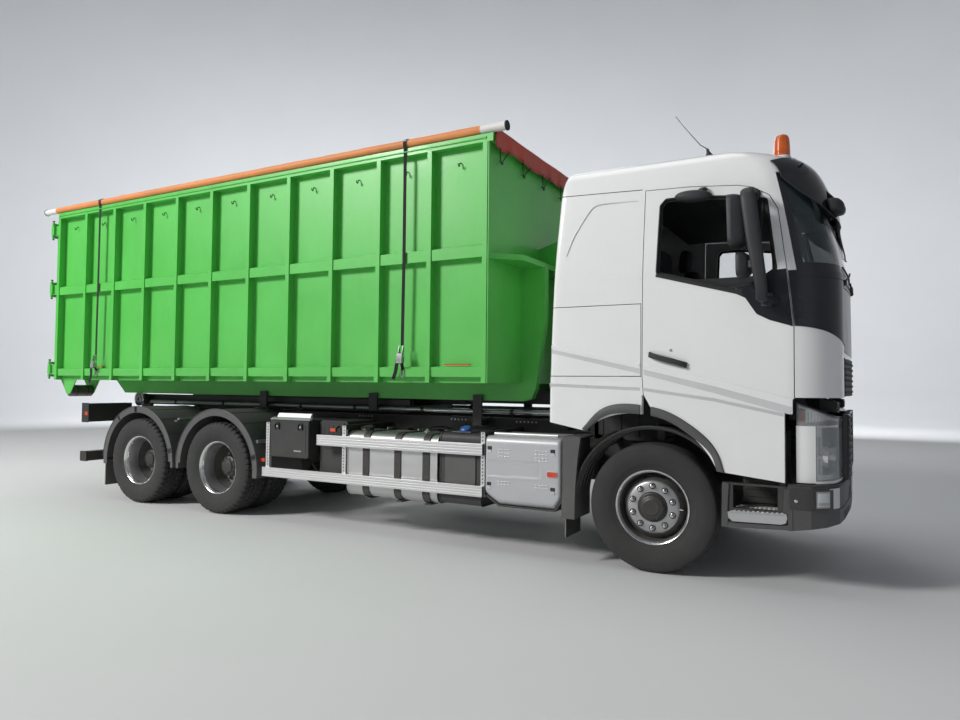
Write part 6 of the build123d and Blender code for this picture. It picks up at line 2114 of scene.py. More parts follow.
# the rolled edge, with its tube at both ends
sh = Shape()
prof, mats = [(0.0, 0.0), (0.0, 0.0445), (0.010, 0.0455), (0.014, 0.0440), (0.0141, 0.0340)], [2] * 4
n_roll = 170
for i in range(n_roll + 1):
    h = 0.016 + 7.070 * i / n_roll
    front = h
    rear = 7.090 - h
    r = 0.0405 if min(front, rear) > 0.30 else 0.0365 + 0.0035 * min(1, max(0, (min(front, rear) - 0.22) / 0.08))
    r += 0.0010 * math.sin(h * 5.3) + 0.0008 * math.sin(h * 12.9 + 1) + 0.0005 * math.sin(h * 41)
    prof.append((h, r))
    mats.append(1 if min(front, rear) < 0.26 + 0.02 * math.sin(h * 31) else 0)
prof += [(7.0861, 0.0440), (7.0900, 0.0440), (7.0900, 0.0)]
mats += [2, 2, 2]


def wound(i, j, h, r):
    k = i / 36.0
    if 4 < j < len(prof) - 3:
        r += 0.0022 * k + 0.0005 * math.sin(8 * math.pi * k + h * 2.0) * math.sin(h * 9.0)
    return h, r


finish_mat("tarp_white", (0.74, 0.72, 0.69), 0.5, vary=0.06, scale=6, bump=0.0005, bump_scale=200,
           grime=0.25)
sh.lathe(P(-1.268, -1.222, 3.776), (-1, 0, 0), prof, 36, mats=mats, notch=wound, start=1.9)
sh.make("tarpaulin_roll", ["tarp_roll_orange", "tarp_white", "black_rubber"], "container",
        angle=50)

# bows under the sheet, eyelets and elastic loops
sh = Shape()
for s in BOWS + [-8.005]:
    pts = [P(s, -1.176, 3.724), P(s, -1.172, 3.745), P(s, -1.150, 3.762), P(s, -1.10, 3.7665),
           P(s, 0, 3.7675), P(s, 1.10, 3.7665), P(s, 1.160, 3.762), P(s, 1.188, 3.745),
           P(s, 1.196, 3.724)]
    sh.tube(pts, 0.0125, 10, 0, smooth_steps=4)
for i in range(5):
    y0 = -1.056 + 0.474 * i
    for dy in (-0.093, 0.088):
        y = y0 + dy
        z = 3.6275 + hem_line(y)
        sh.lathe(P(-1.385, y, z), (1, 0, 0), [(0, 0.011), (0.002, 0.013), (0.004, 0.011), (0.004, 0.006),
                                              (0.0, 0.006)], 14, 1, closed=True)
    ya, yb = y0 - 0.093, y0 + 0.088
    za, zb = 3.6275 + hem_line(ya), 3.6275 + hem_line(yb)
    sh.tube([P(-1.392, ya, za - 0.004), P(-1.378, ya + 0.003, za - 0.010),
             P(-1.396, ya + 0.030, za - 0.045), P(-1.414, y0 - 0.012, 3.512),
             P(-1.4165, y0 - 0.004, 3.4985), P(-1.4165, y0 + 0.004, 3.4985),
             P(-1.414, y0 + 0.012, 3.512), P(-1.396, yb - 0.030, zb - 0.045),
             P(-1.378, yb - 0.003, zb - 0.010), P(-1.392, yb, zb - 0.004)],
            0.0048, 8, 2, smooth_steps=4)
    # hook on the front wall
    sh.tube([P(-1.441, y0, 3.522), P(-1.424, y0, 3.520), P(-1.416, y0, 3.508), P(-1.417, y0, 3.494),
             P(-1.408, y0, 3.486), P(-1.400, y0, 3.492), P(-1.398, y0, 3.506)], 0.005, 8, 3,
            smooth_steps=3)
# small hooks along both walls, with the loops of the flap on the left
for side in (-1, 1):
    for i in range(11):
        s = -1.778 - 0.594 * i
        w = side * 1.170
        sh.tube([P(s, w - side * 0.004, 3.522), P(s, w + side * 0.016, 3.520),
                 P(s, w + side * 0.026, 3.506), P(s, w + side * 0.027, 3.492),
                 P(s, w + side * 0.036, 3.484), P(s, w + side * 0.046, 3.490),
                 P(s, w + side * 0.050, 3.508)], 0.0058, 8, 3, smooth_steps=3)
        if side > 0:
            for ds in (-0.085, 0.085):
                sh.lathe(P(s + ds, 1.2605, 3.662), (0, 1, 0), [(0, 0.011), (0.002, 0.013), (0.004, 0.011),
                                                               (0.004, 0.006), (0, 0.006)], 14, 1,
                         closed=True)
            sh.tube([P(s - 0.085, 1.256, 3.658), P(s - 0.083, 1.269, 3.652),
                     P(s - 0.060, 1.255, 3.61), P(s - 0.010, 1.208, 3.507),
                     P(s - 0.004, 1.204, 3.495), P(s + 0.004, 1.204, 3.495),
                     P(s + 0.010, 1.208, 3.507), P(s + 0.060, 1.255, 3.61),
                     P(s + 0.083, 1.269, 3.652), P(s + 0.085, 1.256, 3.658)],
                    0.0048, 8, 2, smooth_steps=4)
sh.make("tarpaulin_bows_and_loops", ["galvanised", "steel_worn", "black_rubber", "dark_green"],
        "container", angle=50)

# ratchet straps over the roll or the flap
sh = Shape()
for side in (-1, 1):
    for s, zr, tail in ((-2.350, 1.745, 0.10), (-7.120, 1.715, 0.24)):
        face = side * 1.2545
        if side < 0:
            over = [(-1.150, 3.797), (-1.178, 3.8120), (-1.205, 3.8210), (-1.232, 3.8215),
                    (-1.256, 3.8080), (-1.2675, 3.7850), (-1.2690, 3.7600), (-1.2640, 3.7300),
                    (-1.2560, 3.6900)]
        else:
            over = [(1.120, 3.791), (1.196, 3.7895), (1.229, 3.7810), (1.2500, 3.7620),
                    (1.2600, 3.7360), (1.2640, 3.6900), (1.2620, 3.6300), (1.2570, 3.5500)]
        pts = [P(s, y, z) for y, z in over]
        pts += [P(s, face, 3.40), P(s, face, 2.749), P(s, face, 2.62), P(s - 0.004, face, 2.2),
                P(s - 0.008, face - side * 0.002, zr + 0.09)]
        sh.tube(pts, 0, 4, 0, smooth_steps=3, flat=(0.036, 0.0026, (1, 0, 0)))
        # hook on the roll
        sh.box(s - 0.020, s + 0.020, over[0][0] - 0.006, over[0][0] + 0.03 * side * -1, 3.793, 3.7995, 1)
        sh.lathe(P(s - 0.021, side * 1.262, 3.795), (1, 0, 0), [(0, 0), (0, 0.012), (0.042, 0.012), (0.042, 0)],
                 12, 3)
        # ratchet: cheeks, spool, pawl bar and handle
        x = s - 0.009
        o = side * 1.266
        for dx in (-0.024, 0.021):
            sh.prism([(o - side * 0.016, zr + 0.082), (o + side * 0.004, zr + 0.090),
                      (o + side * 0.020, zr + 0.030), (o + side * 0.022, zr - 0.030),
                      (o + side * 0.004, zr - 0.070), (o - side * 0.014, zr - 0.072)],
                     "x", x + dx, x + dx + 0.003, 1)
            sh.lathe(P(x + dx, o + side * 0.006, zr + 0.004), (1, 0, 0),
                     [(-0.0015, 0), (-0.0015, 0.020), (0.0045, 0.020), (0.0045, 0)], 20, 2)
        sh.rod(P(x - 0.034, o + side * 0.006, zr + 0.004), P(x + 0.034, o + side * 0.006, zr + 0.004),
               0.009, n=14, mat=2)
        sh.lathe(P(x - 0.020, o + side * 0.006, zr + 0.004), (1, 0, 0),
                 [(0, 0), (0, 0.017), (0.040, 0.017), (0.040, 0)], 20, 0)
        sh.prism([(o + side * 0.010, zr + 0.020), (o + side * 0.034, zr + 0.012),
                  (o + side * 0.042, zr - 0.066), (o + side * 0.032, zr - 0.082),
                  (o + side * 0.022, zr - 0.070), (o + side * 0.020, zr - 0.010)],
                 "x", x - 0.030, x + 0.030, 1)
        sh.rod(P(x - 0.036, o + side * 0.034, zr - 0.074), P(x + 0.036, o + side * 0.034, zr - 0.074),
               0.0075, n=12, mat=3)
        # lower strap and its hook round the sill
        sh.tube([P(x, o - side * 0.008, zr - 0.066), P(x, face - side * 0.004, zr - 0.100),
                 P(x, side * 1.2425, 1.628), P(x, side * 1.2410, 1.600)], 0, 4, 0, smooth_steps=3,
                flat=(0.036, 0.0026, (1, 0, 0)))
        sh.tube([P(x - 0.016, side * 1.2440, 1.604), P(x - 0.013, side * 1.2440, 1.560),
                 P(x, side * 1.2420, 1.532), P(x, side * 1.2300, 1.526), P(x, side * 1.2180, 1.534)],
                0.0045, 8, 1, smooth_steps=3)
        sh.tube([P(x + 0.016, side * 1.2440, 1.604), P(x + 0.013, side * 1.2440, 1.560),
                 P(x, side * 1.2420, 1.532)], 0.0045, 8, 1, smooth_steps=3)
        # spare end, hanging from the spool
        sh.tube([P(x + 0.004, o + side * 0.020, zr + 0.02), P(x - 0.010, o + side * 0.032, zr - 0.02),
                 P(x - 0.035, o + side * 0.022, zr - 0.09), P(x - 0.060, o + side * 0.006, zr - 0.16),
                 P(x - 0.085 - tail * 0.1, o - side * 0.004, zr - 0.20 - tail * 0.3)],
                0, 4, 0, smooth_steps=4, flat=(0.036, 0.0022, (0.86, 0, 0.5)))
sh.make("ratchet_straps", ["webbing", "galvanised", "nut_chrome", "steel_worn"], "container",
        angle=50)

# side markers, hinge pins and welded edges of the container
sh = Shape()
for side in (-1, 1):
    sh.prism([(-1.905, 1.646), (-1.900, 1.657), (-1.632, 1.657), (-1.628, 1.646)], "y",
             side * 1.205, side * 1.237, 0)
    sh.prism([(-7.200, 1.646), (-7.195, 1.657), (-7.030, 1.657), (-7.025, 1.646)], "y",
             side * 1.205, side * 1.237, 0)
    for z in (1.625, 2.700, 3.500):
        p = P(-8.130, side * 1.262, z - 0.128)
        sh.lathe(p, (0, 0, 1), [(0, 0), (0, 0.009), (0.004, 0.0135), (0.014, 0.0135), (0.016, 0.0105),
                                (0.246, 0.0105), (0.248, 0.0170), (0.258, 0.0170), (0.262, 0.010),
                                (0.262, 0)], 18, 1)
    # weld runs along the posts
    for k in range(12):
        s = -1.481 - 0.594 * k
        for ds in (-0.0245, 0.0245):
            for z0, z1 in ((1.645, 2.615), (2.752, 3.650)):
                n = int((z1 - z0) / 0.045)
                pts = [P(s + ds, side * 1.1705, z0 + (z1 - z0) * i / n) for i in range(n + 1)]
                sh.tube(pts, [0.0046 + 0.0009 * math.sin(2.4 * i + k) for i in range(n + 1)], 6, 2)
    # tarpaulin rail under the rolled edge
    sh.tube([P(-8.020, side * 1.2535, 3.690), P(-1.470, side * 1.2535, 3.690)], 0.007, 8, 2)
    for k in range(12):
        s = -1.481 - 0.594 * k
        sh.box(s - 0.012, s + 0.012, side * 1.247, side * 1.2545, 3.676, 3.704, 2)
sh.make("container_markers_and_welds", ["orange_lens", "steel_worn", "green_paint"], "container",
        angle=50)

# locking bars of the rear doors
for side, word in ((-1, "right"), (1, "left")):
    sh = Shape()
    for y, z0, z1 in ((side * 0.105, 1.462, 3.690), (side * 0.590, 1.462, 3.690)):
        sh.rod(P(-8.156, y, z0), P(-8.156, y, z1), 0.0165, n=18, mat=0, round_end=0.003)
        for z in (1.56, 2.02, 2.60, 3.10, 3.58):
            sh.lathe(P(-8.156, y, z - 0.022), (0, 0, 1), [(0, 0.0170), (0, 0.0235), (0.044, 0.0235),
                                                          (0.044, 0.0170)], 18, 1, closed=True)
            sh.box(-8.150, -8.1245, y - 0.040, y + 0.040, z - 0.024, z + 0.024, 1)
            for dy in (-0.030, 0.030):
                sh.bolt(P(-8.150, y + dy, z), (-1, 0, 0), 0.0070, 0.008, 2)
        for z, up in ((1.470, -1), (3.672, 1)):
            sh.prism([(y - 0.016, z - 0.020), (y + 0.016, z - 0.020), (y + 0.016, z + 0.020),
                      (y - 0.016, z + 0.020)], "x", -8.185, -8.110, 1)
        # handle with its keeper
        z = 2.36
        sh.tube([P(-8.172, y, z), P(-8.184, y + side * 0.05, z), P(-8.184, y + side * 0.20, z - 0.01),
                 P(-8.176, y + side * 0.32, z - 0.015)], 0, 4, 0, smooth_steps=4,
                flat=(0.034, 0.010, (0, 0, 1)))
        sh.box(-8.176, -8.1245, y + side * 0.255, y + side * 0.285, z - 0.042, z + 0.018, 1)
    # seal round the leaf
    for y in (side * 0.012, side * 1.199):
        sh.box(-8.046, -8.0405, y - 0.009, y + 0.009, 1.515, 3.630, 3)
    for z in (1.515, 3.625):
        sh.box(-8.046, -8.0405, side * 0.012, side * 1.199, z - 0.009, z + 0.009, 3)
    # outer bands on the leaf
    for z in (1.535, 2.205, 2.925, 3.605):
        sh.box(-8.1315, -8.1245, side * 0.010, side * 0.995, z - 0.034, z + 0.034, 1)
    sh.make(word + "_container_door_bars", ["dark_green", "green_paint", "steel_worn", "black_rubber"],
            word + "_container_door", bevel=0.0)

# rollers of the container: hubs, grease caps and split tread
sh = Shape()
for side in (-1, 1):
    for y, d in ((0.855, -1), (1.135, 1)):
        sh.lathe(P(-7.860, side * y, 1.340), (0, side * d, 0),
                 [(-0.004, 0.076), (0.0008, 0.0765), (0.0012, 0.062), (-0.006, 0.058), (-0.006, 0.034),
                  (0.004, 0.032), (0.006, 0.021), (-0.004, 0.0195)], 36, 0, closed=True)
        for k in range(4):
            a = math.pi / 4 + k * math.pi / 2
            sh.bolt(P(-7.860 + 0.047 * math.cos(a), side * (y + d * -0.0055), 1.340 + 0.047 * math.sin(a)),
                    (0, side * d, 0), 0.005, 0.004, 1)
    for y in (0.925, 1.065):
        sh.lathe(P(-7.860, side * y, 1.340), (0, side, 0), [(-0.006, 0.0765), (-0.004, 0.0772),
                                                            (0.004, 0.0772), (0.006, 0.0765)], 40, 1)
sh.make("ground_roller_hubs", ["steel_worn", "iron"], "ground_rollers")

# ------------------------------------------------- visor, mirrors and interior
def smooth01(x):
    x = max(0.0, min(1.0, x))
    return x * x * (3 - 2 * x)


VISOR_T = 0.17
VISOR_LOW = spline([(0.17, 3.010), (0.32, 2.900), (0.52, 2.800), (0.75, 2.700), (0.95, 2.655), (1.10, 2.680),
                    (1.25, 2.790), (1.45, 2.860), (2.0, 2.880)])
VISOR_HIGH = spline([(0.17, 3.150), (0.40, 3.175), (0.80, 3.190), (2.0, 3.192)])


def visor_fn(u, v):
    t = VISOR_T + (4 - 2 * VISOR_T) * u
    e = t if t < 2 else 4 - t
    return VISOR_LOW(e) + (VISOR_HIGH(e) - VISOR_LOW(e)) * v, t


def visor_off(u, v):
    t = VISOR_T + (4 - 2 * VISOR_T) * u
    e = t if t < 2 else 4 - t
    stand = 0.018 + 0.062 * smooth01((e - 0.17) / 0.9)
    return stand * (0.92 + 0.16 * math.sin(math.pi * min(1, v * 1.1)) - 0.62 * v ** 5)


sh = Shape()
slab(sh, visor_fn, 100, 18, lambda u, v: visor_off(u, v) - 0.003, lambda u, v: visor_off(u, v) + 0.003, mat=0)
for v in (0.0, 1.0):
    sh.tube([skin(*visor_fn(i / 100, v), visor_off(i / 100, v), 1) for i in range(101)], 0.0055, 8, 1)
for u in (0.0, 1.0):
    sh.tube([skin(*visor_fn(u, j / 10), visor_off(u, j / 10), 1) for j in range(11)], 0.0055, 8, 1)
for y in (-1.06, -0.62, -0.21, 0.21, 0.62, 1.06):
    sd = 1 if y > 0 else -1
    z = 3.105
    t = t_of_y(z, y)
    a, b = skin(z + 0.005, t, -0.004, sd), skin(z - 0.005, t, 0.052, sd)
    sh.bar(a, b, 0.026, 0.010, up=(0, 0, 1), mat=1)
    sh.lathe(a, (b - a), [(0, 0.022), (0.006, 0.022), (0.010, 0.014), (0.010, 0)], 16, 1)
finish_mat("visor_smoke", (0.010, 0.010, 0.012), 0.10, coat=0.7, vary=0.1, dust=0.02, bump=0.00005)
sh.make("sun_visor_sheet", ["visor_smoke", "dark_plastic"], "cab", angle=50,
        replaces=["sun_visor"])

# beacon: base, ribbed amber hood and cap
sh = Shape()
c = P(0.940, -0.880, 3.228)
sh.lathe(c, (0, 0, 1), [(-0.035, 0.0), (-0.035, 0.030), (-0.004, 0.030), (-0.002, 0.066), (0.010, 0.0665),
                        (0.022, 0.0655), (0.030, 0.0600), (0.030, 0.0)], 40, 0)
prof = [(0.030, 0.0), (0.030, 0.0575)]
for k in range(12):
    h = 0.034 + 0.0105 * k
    r = 0.0592 - 0.0050 * (k / 11) ** 2
    prof += [(h, r), (h + 0.0035, r + 0.0014), (h + 0.0070, r)]
prof += [(0.164, 0.0530), (0.176, 0.0500), (0.186, 0.0445), (0.194, 0.0360), (0.199, 0.0250), (0.2015, 0.0120),
         (0.202, 0.0)]
sh.lathe(c, (0, 0, 1), prof, 48, 1)
sh.tube([P(0.905, -0.900, 3.200), P(0.88, -0.91, 3.235), P(0.86, -0.915, 3.255), P(0.82, -0.92, 3.262)], 0.006,
        8, 0, smooth_steps=3)
sh.make("beacon", ["plate_white", "amber_lens"], "cab", replaces=["roof_beacon"],
        angle=50)

# antenna on the roof
sh = Shape()
base = P(0.405, -0.900, 3.314)
sh.lathe(base, (-0.25, 0, 1), [(-0.02, 0.045), (0.012, 0.042), (0.030, 0.030), (0.060, 0.014), (0.085, 0.011),
                              (0.092, 0.007), (0.092, 0.0)], 24, 0)
sh.tube([base + Vector((-0.022, 0, 0.088)), P(0.330, -0.900, 3.440), P(0.250, -0.900, 3.545),
         P(0.180, -0.900, 3.640), P(0.136, -0.900, 3.704)], [0.0042, 0.0034, 0.0028, 0.0024, 0.0022], 8, 0)
sh.lathe(P(0.136, -0.900, 3.704), (-0.5, 0, 0.8), [(-0.004, 0.0), (0, 0.0042), (0.005, 0.0042), (0.008, 0.0)], 10, 0)
sh.make("antenna", ["dark_plastic"], "cab", angle=50)


def oval_tube(sh, pts, w, h, wdir, mat, n=18, steps=5):
    """Tube of oval section; w and h are half sizes, numbers or lists along the points."""
    k = len(pts)
    ws = w if isinstance(w, list) else [w] * k
    hs = h if isinstance(h, list) else [h] * k
    line_pts = curve_through(pts, steps)
    m = len(line_pts)
    verts = []
    for i, p in enumerate(line_pts):
        f = i / steps
        a = min(k - 2, int(f))
        fr = f - a
        ww = ws[a] + (ws[a + 1] - ws[a]) * fr
        hh = hs[a] + (hs[a + 1] - hs[a]) * fr
        t = (line_pts[min(m - 1, i + 1)] - line_pts[max(0, i - 1)]).normalized()
        d = Vector(wdir)
        d = (d - t * d.dot(t)).normalized()
        e = t.cross(d)
        for q in range(n):
            b = 2 * math.pi * q / n
            cx, sx_ = math.cos(b), math.sin(b)
            verts.append(p + d * ww * math.copysign(abs(cx) ** 0.7, cx) + e * hh * math.copysign(abs(sx_) ** 0.7, sx_))
    faces = []
    for i in range(m - 1):
        for q in range(n):
            qq = (q + 1) % n
            faces.append((i * n + q, i * n + qq, (i + 1) * n + qq, (i + 1) * n + q))
    faces.append(tuple(range(n - 1, -1, -1)))
    faces.append(tuple((m - 1) * n + q for q in range(n)))
    sh.put(verts, faces, mat)


def pod(sh, s0, s1, y0, y1, z0, z1, r, side, mat, glass, bulge=0.045, back=0.0):
    """Mirror head: open shell at the rear edge s0, rounded at the front s1."""
    sec = rounded_section(y0, y1, z0, z1, r, 7)
    cy, cz = (y0 + y1) / 2, (z0 + z1) / 2
    hy, hz = (y1 - y0) / 2, (z1 - z0) / 2
    d = s1 - s0
    rows = [(s0 + 0.006, 0.014), (s0, 0.010), (s0 - 0.001, 0.004), (s0 + 0.004, 0.0), (s0 + d * 0.30, 0.0),
            (s0 + d * 0.55, 0.006), (s0 + d * 0.75, 0.018), (s0 + d * 0.90, 0.036), (s0 + d * 0.97, 0.055),
            (s1, 0.085)]
    verts, n = [], len(sec)
    for s, k in rows:
        for y, z in sec:
            ky = max(0.05, 1 - k / hy)
            kz = max(0.05, 1 - k / hz)
            verts.append(P(s + back * (z - cz), side * (cy + (y - cy) * ky), cz + (z - cz) * kz))
    faces = []
    for j in range(len(rows) - 1):
        for i in range(n):
            ii = (i + 1) % n
            faces.append((j * n + i, j * n + ii, (j + 1) * n + ii, (j + 1) * n + i))
    faces.append(tuple(range(n - 1, -1, -1)))
    faces.append(tuple((len(rows) - 1) * n + i for i in range(n)))
    sh.put(verts, faces, mat)
    g = rounded_section(y0 + 0.016, y1 - 0.016, z0 + 0.016, z1 - 0.016, max(0.006, r - 0.012), 7)
    gv = []
    for x in (0.0045, 0.0010):
        gv += [P(s0 + x + back * (z - cz), side * y, z) for y, z in g]
    m = len(g)
    sh.put(gv, [tuple(range(m)), tuple(range(2 * m - 1, m - 1, -1))]
           + [(i, (i + 1) % m, m + (i + 1) % m, m + i) for i in range(m)], glass, False)


for sd, word in ((-1, "right"), (1, "left")):
    sh = Shape()
    o = sd
    pts = [P(0.852, o * 1.430, 2.090), P(0.858, o * 1.462, 2.170), P(0.838, o * 1.478, 2.330),
           P(0.806, o * 1.484, 2.560), P(0.782, o * 1.482, 2.760), P(0.768, o * 1.465, 2.845),
           P(0.765, o * 1.410, 2.888), P(0.770, o * 1.310, 2.898), P(0.776, o * 1.215, 2.896)]
    oval_tube(sh, pts, [0.034, 0.040, 0.046, 0.052, 0.054, 0.050, 0.044, 0.034, 0.030],
              [0.018, 0.022, 0.024, 0.026, 0.026, 0.024, 0.020, 0.016, 0.014], (1, 0, 0.1), 0)
    pts = [P(0.852, o * 1.440, 2.105), P(0.868, o * 1.370, 2.100), P(0.895, o * 1.295, 2.102),
           P(0.915, o * 1.232, 2.105)]
    oval_tube(sh, pts, [0.036, 0.036, 0.042, 0.050], [0.022, 0.024, 0.030, 0.038], (1, 0, 0), 0)
    for z, s in ((2.105, 0.915), (2.896, 0.778)):
        sh.lathe(P(s, o * 1.226, z), (0, o, 0), [(0, 0.052), (0.008, 0.050), (0.014, 0.040), (0.022, 0.036),
                                                (0.022, 0.0)], 24, 0)
    # hinge rings of the arm
    for z0 in (2.055, 2.115):
        sh.lathe(P(0.880, o * 1.330, z0), (0, 0, 1), [(0, 0.0), (0, 0.040), (0.030, 0.040), (0.030, 0.0)], 20, 0)
    pod(sh, 0.632, 0.770, 1.270, 1.500, 2.486, 2.862, 0.050, sd, 0, 1, back=-0.03)
    pod(sh, 0.690, 0.792, 1.285, 1.492, 2.262, 2.440, 0.045, sd, 0, 1, back=-0.02)
    sh.bar(P(0.745, o * 1.440, 2.700), P(0.790, o * 1.470, 2.700), 0.06, 0.08, mat=0)
    sh.bar(P(0.770, o * 1.440, 2.345), P(0.840, o * 1.470, 2.345), 0.05, 0.05, mat=0)
    # seam in the large head
    sh.tube([P(0.665, o * 1.5005, 2.540), P(0.665, o * 1.5005, 2.810)], 0, 4, 2, flat=(0.004, 0.002, (1, 0, 0)))
    if sd < 0:
        # kerb mirror over the window
        cs, cz = 0.358, 2.918
        rows = [(1.268, 0.70), (1.272, 0.92), (1.285, 1.0), (1.320, 1.0), (1.345, 0.92), (1.358, 0.74),
                (1.364, 0.45)]
        verts, n = [], 28
        for y, k in rows:
            for q in range(n):
                b = 2 * math.pi * q / n
                verts.append(P(cs + 0.138 * k * math.cos(b), -y, cz + 0.043 * k * math.sin(b)
                               - 0.006 * math.cos(b) * k))
        faces = []
        for j in range(len(rows) - 1):
            for q in range(n):
                qq = (q + 1) % n
                faces.append((j * n + q, j * n + qq, (j + 1) * n + qq, (j + 1) * n + q))
        faces.append(tuple(range(n - 1, -1, -1)))
        faces.append(tuple((len(rows) - 1) * n + q for q in range(n)))
        sh.put(verts, faces, 0)
        oval_tube(sh, [P(0.420, -1.205, 2.985), P(0.420, -1.245, 2.985), P(0.405, -1.290, 2.960),
                       P(0.395, -1.310, 2.930)], [0.026, 0.022, 0.018, 0.020], [0.014, 0.012, 0.012, 0.012],
                  (1, 0, 0), 0)
    sh.make(word + "_mirror_set", ["dark_plastic", "mirror_face", "black_rubber"], word + "_door",
            replaces=[word + "_mirrors"], angle=50)

# front-view mirror below the visor on the right
sh = Shape()
rows = [(1.268, 0.80), (1.280, 1.0), (1.320, 1.0), (1.345, 0.90), (1.362, 0.66), (1.370, 0.35)]
verts, n = [], 26
for s, k in rows:
    for q in range(n):
        b = 2 * math.pi * q / n
        cb, sb = math.cos(b), math.sin(b)
        verts.append(P(s - 0.02 * sb * k, -0.930 + 0.120 * k * math.copysign(abs(cb) ** 0.75, cb),
                       2.812 + 0.062 * k * math.copysign(abs(sb) ** 0.75, sb)))
faces = []
for j in range(len(rows) - 1):
    for q in range(n):
        qq = (q + 1) % n
        faces.append((j * n + q, j * n + qq, (j + 1) * n + qq, (j + 1) * n + q))
faces.append(tuple(range(n - 1, -1, -1)))
faces.append(tuple((len(rows) - 1) * n + q for q in range(n)))
sh.put(verts, faces, 0)
a = skin(2.985, t_of_y(2.985, 0.93), -0.004, -1)
oval_tube(sh, [a, a + Vector((0.05, 0, 0.010)), P(1.235, -0.930, 2.945), P(1.290, -0.930, 2.880)],
          [0.020, 0.016, 0.015, 0.018], [0.012, 0.010, 0.010, 0.012], (0, 1, 0), 0)
sh.lathe(a, (1, 0, 0), [(0, 0.036), (0.008, 0.034), (0.012, 0.0)], 20, 0)
sh.make("front_view_mirror", ["dark_plastic"], "cab", angle=50)

# upper grille in the hatch: dark field, slats and rim
sh = Shape()


def grille_fn(z0, z1, y0, y1):
    def fn(u, v):
        z = z0 + (z1 - z0) * v
        ta, tb = t_of_y(z, y0), t_of_y(z, y1)
        if y0 < 0:
            ta = 4 - ta
        if y1 < 0:
            tb = 4 - tb
        return z, tb + (ta - tb) * u
    return fn


slab(sh, grille_fn(1.414, 1.690, -0.846, 0.846), 60, 4, -0.003, 0.0050, mat=0)
for k in range(6):
    z = 1.428 + 0.0445 * k
    slab(sh, grille_fn(z, z + 0.024, -0.828, 0.828), 48, 2, 0.002,
         lambda u, v: 0.006 + 0.009 * math.sin(v * math.pi), mat=1)
for z0, z1, y0, y1 in ((1.684, 1.696, -0.850, 0.850), (1.409, 1.418, -0.850, 0.850)):
    slab(sh, grille_fn(z0, z1, y0, y1), 48, 1, -0.002, 0.0075, mat=0)
for y0, y1 in ((0.834, 0.850), (-0.850, -0.834)):
    slab(sh, grille_fn(1.409, 1.696, y0, y1), 1, 12, -0.002, 0.0075, mat=0)
sh.make("upper_grille", ["dark_plastic", "black_rubber"], "front_hatch",
        bevel=0.0012, angle=40)


# side shields of the engine, with stiffening ribs
sh = Shape()
for sd in (-1, 1):
    sh.prism([(-0.760, 0.980), (-0.760, 1.330), (-0.700, 1.356), (0.780, 1.356), (0.860, 1.320), (0.860, 0.980)],
             "y", sd * 0.462, sd * 0.470, 0)
    for k in range(9):
        s = -0.680 + 0.170 * k
        sh.box(s, s + 0.045, sd * 0.4695, sd * 0.4760, 1.020, 1.320, 0)
sh.make("engine_shields", ["dark_plastic"], "chassis", bevel=0.002, angle=40)

# dark blocks that fill the gap above the lamps with painted shade, low enough for the cab's tilt
for sd, word in ((-1, "right"), (1, "left")):
    sh = Shape()
    sh.prism([(1.190, 1.290), (1.310, 1.290), (1.310, 1.362), (1.290, 1.369), (1.270, 1.376), (1.230, 1.386),
              (1.190, 1.391)], "y", sd * 0.500, sd * 0.905, 0)
    for k in range(6):
        y = 0.54 + 0.062 * k
        sh.box(1.3095, 1.3125, sd * y - 0.020, sd * y + 0.020, 1.300, 1.352, 1)
    sh.make(word + "_lamp_top_gap_shade", ["dark_plastic", "black_rubber"], "chassis", bevel=0.003,
            angle=40)


# pads: cushions shaped from a rounded block with seams
def pad(name, half, place, body, seams=(), p=5.0, cuts=30, lump=0.004, seed=0.0,
        replaces=(), mat="seat_cloth", crown=0.012):
    bm = bmesh.new()
    bmesh.ops.create_cube(bm, size=2.0)
    bmesh.ops.subdivide_edges(bm, edges=bm.edges, cuts=cuts, use_grid_fill=True)
    for v in bm.verts:
        x, y, z = v.co
        q = (abs(x) ** p + abs(y) ** p + abs(z) ** p) ** (1 / p)
        x, y, z = x / q, y / q, z / q
        top = max(0.0, z)
        puff = (1 - x * x) * (1 - y * y)
        dip = 0.0
        for axis, at, depth, width in seams:
            c = (x, y)[axis]
            dip += depth * math.exp(-((c - at) / width) ** 2)
        n = (math.sin(4.1 * x + 3.3 * y + seed) * math.sin(3.7 * y - 2.2 * x + seed * 1.7)
             + 0.5 * math.sin(9.1 * x + seed * 2.1) * math.sin(8.3 * y + 1.0))
        z_abs = z * half[2] + (crown * puff - dip + lump * n * puff) * (1 if top > 0.25 else 0)
        v.co = place @ Vector((x * half[0] * (1 + 0.012 * math.sin(5 * y + seed)), y * half[1], z_abs))
    me = bpy.data.meshes.new(name)
    bm.to_mesh(me)
    bm.free()
    for f in me.polygons:
        f.use_smooth = True
    me.materials.append(MATS[mat])
    ob = bpy.data.objects.new(name, me)
    bpy.context.scene.collection.objects.link(ob)
    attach(ob, body)
    if replaces:
        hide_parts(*replaces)
    return ob


def turned_to(centre, tilt):
    """Local x forward, y left, z up, pitched by tilt degrees about y."""
    return Matrix.Translation(centre) @ Matrix.Rotation(math.radians(tilt), 4, "Y")


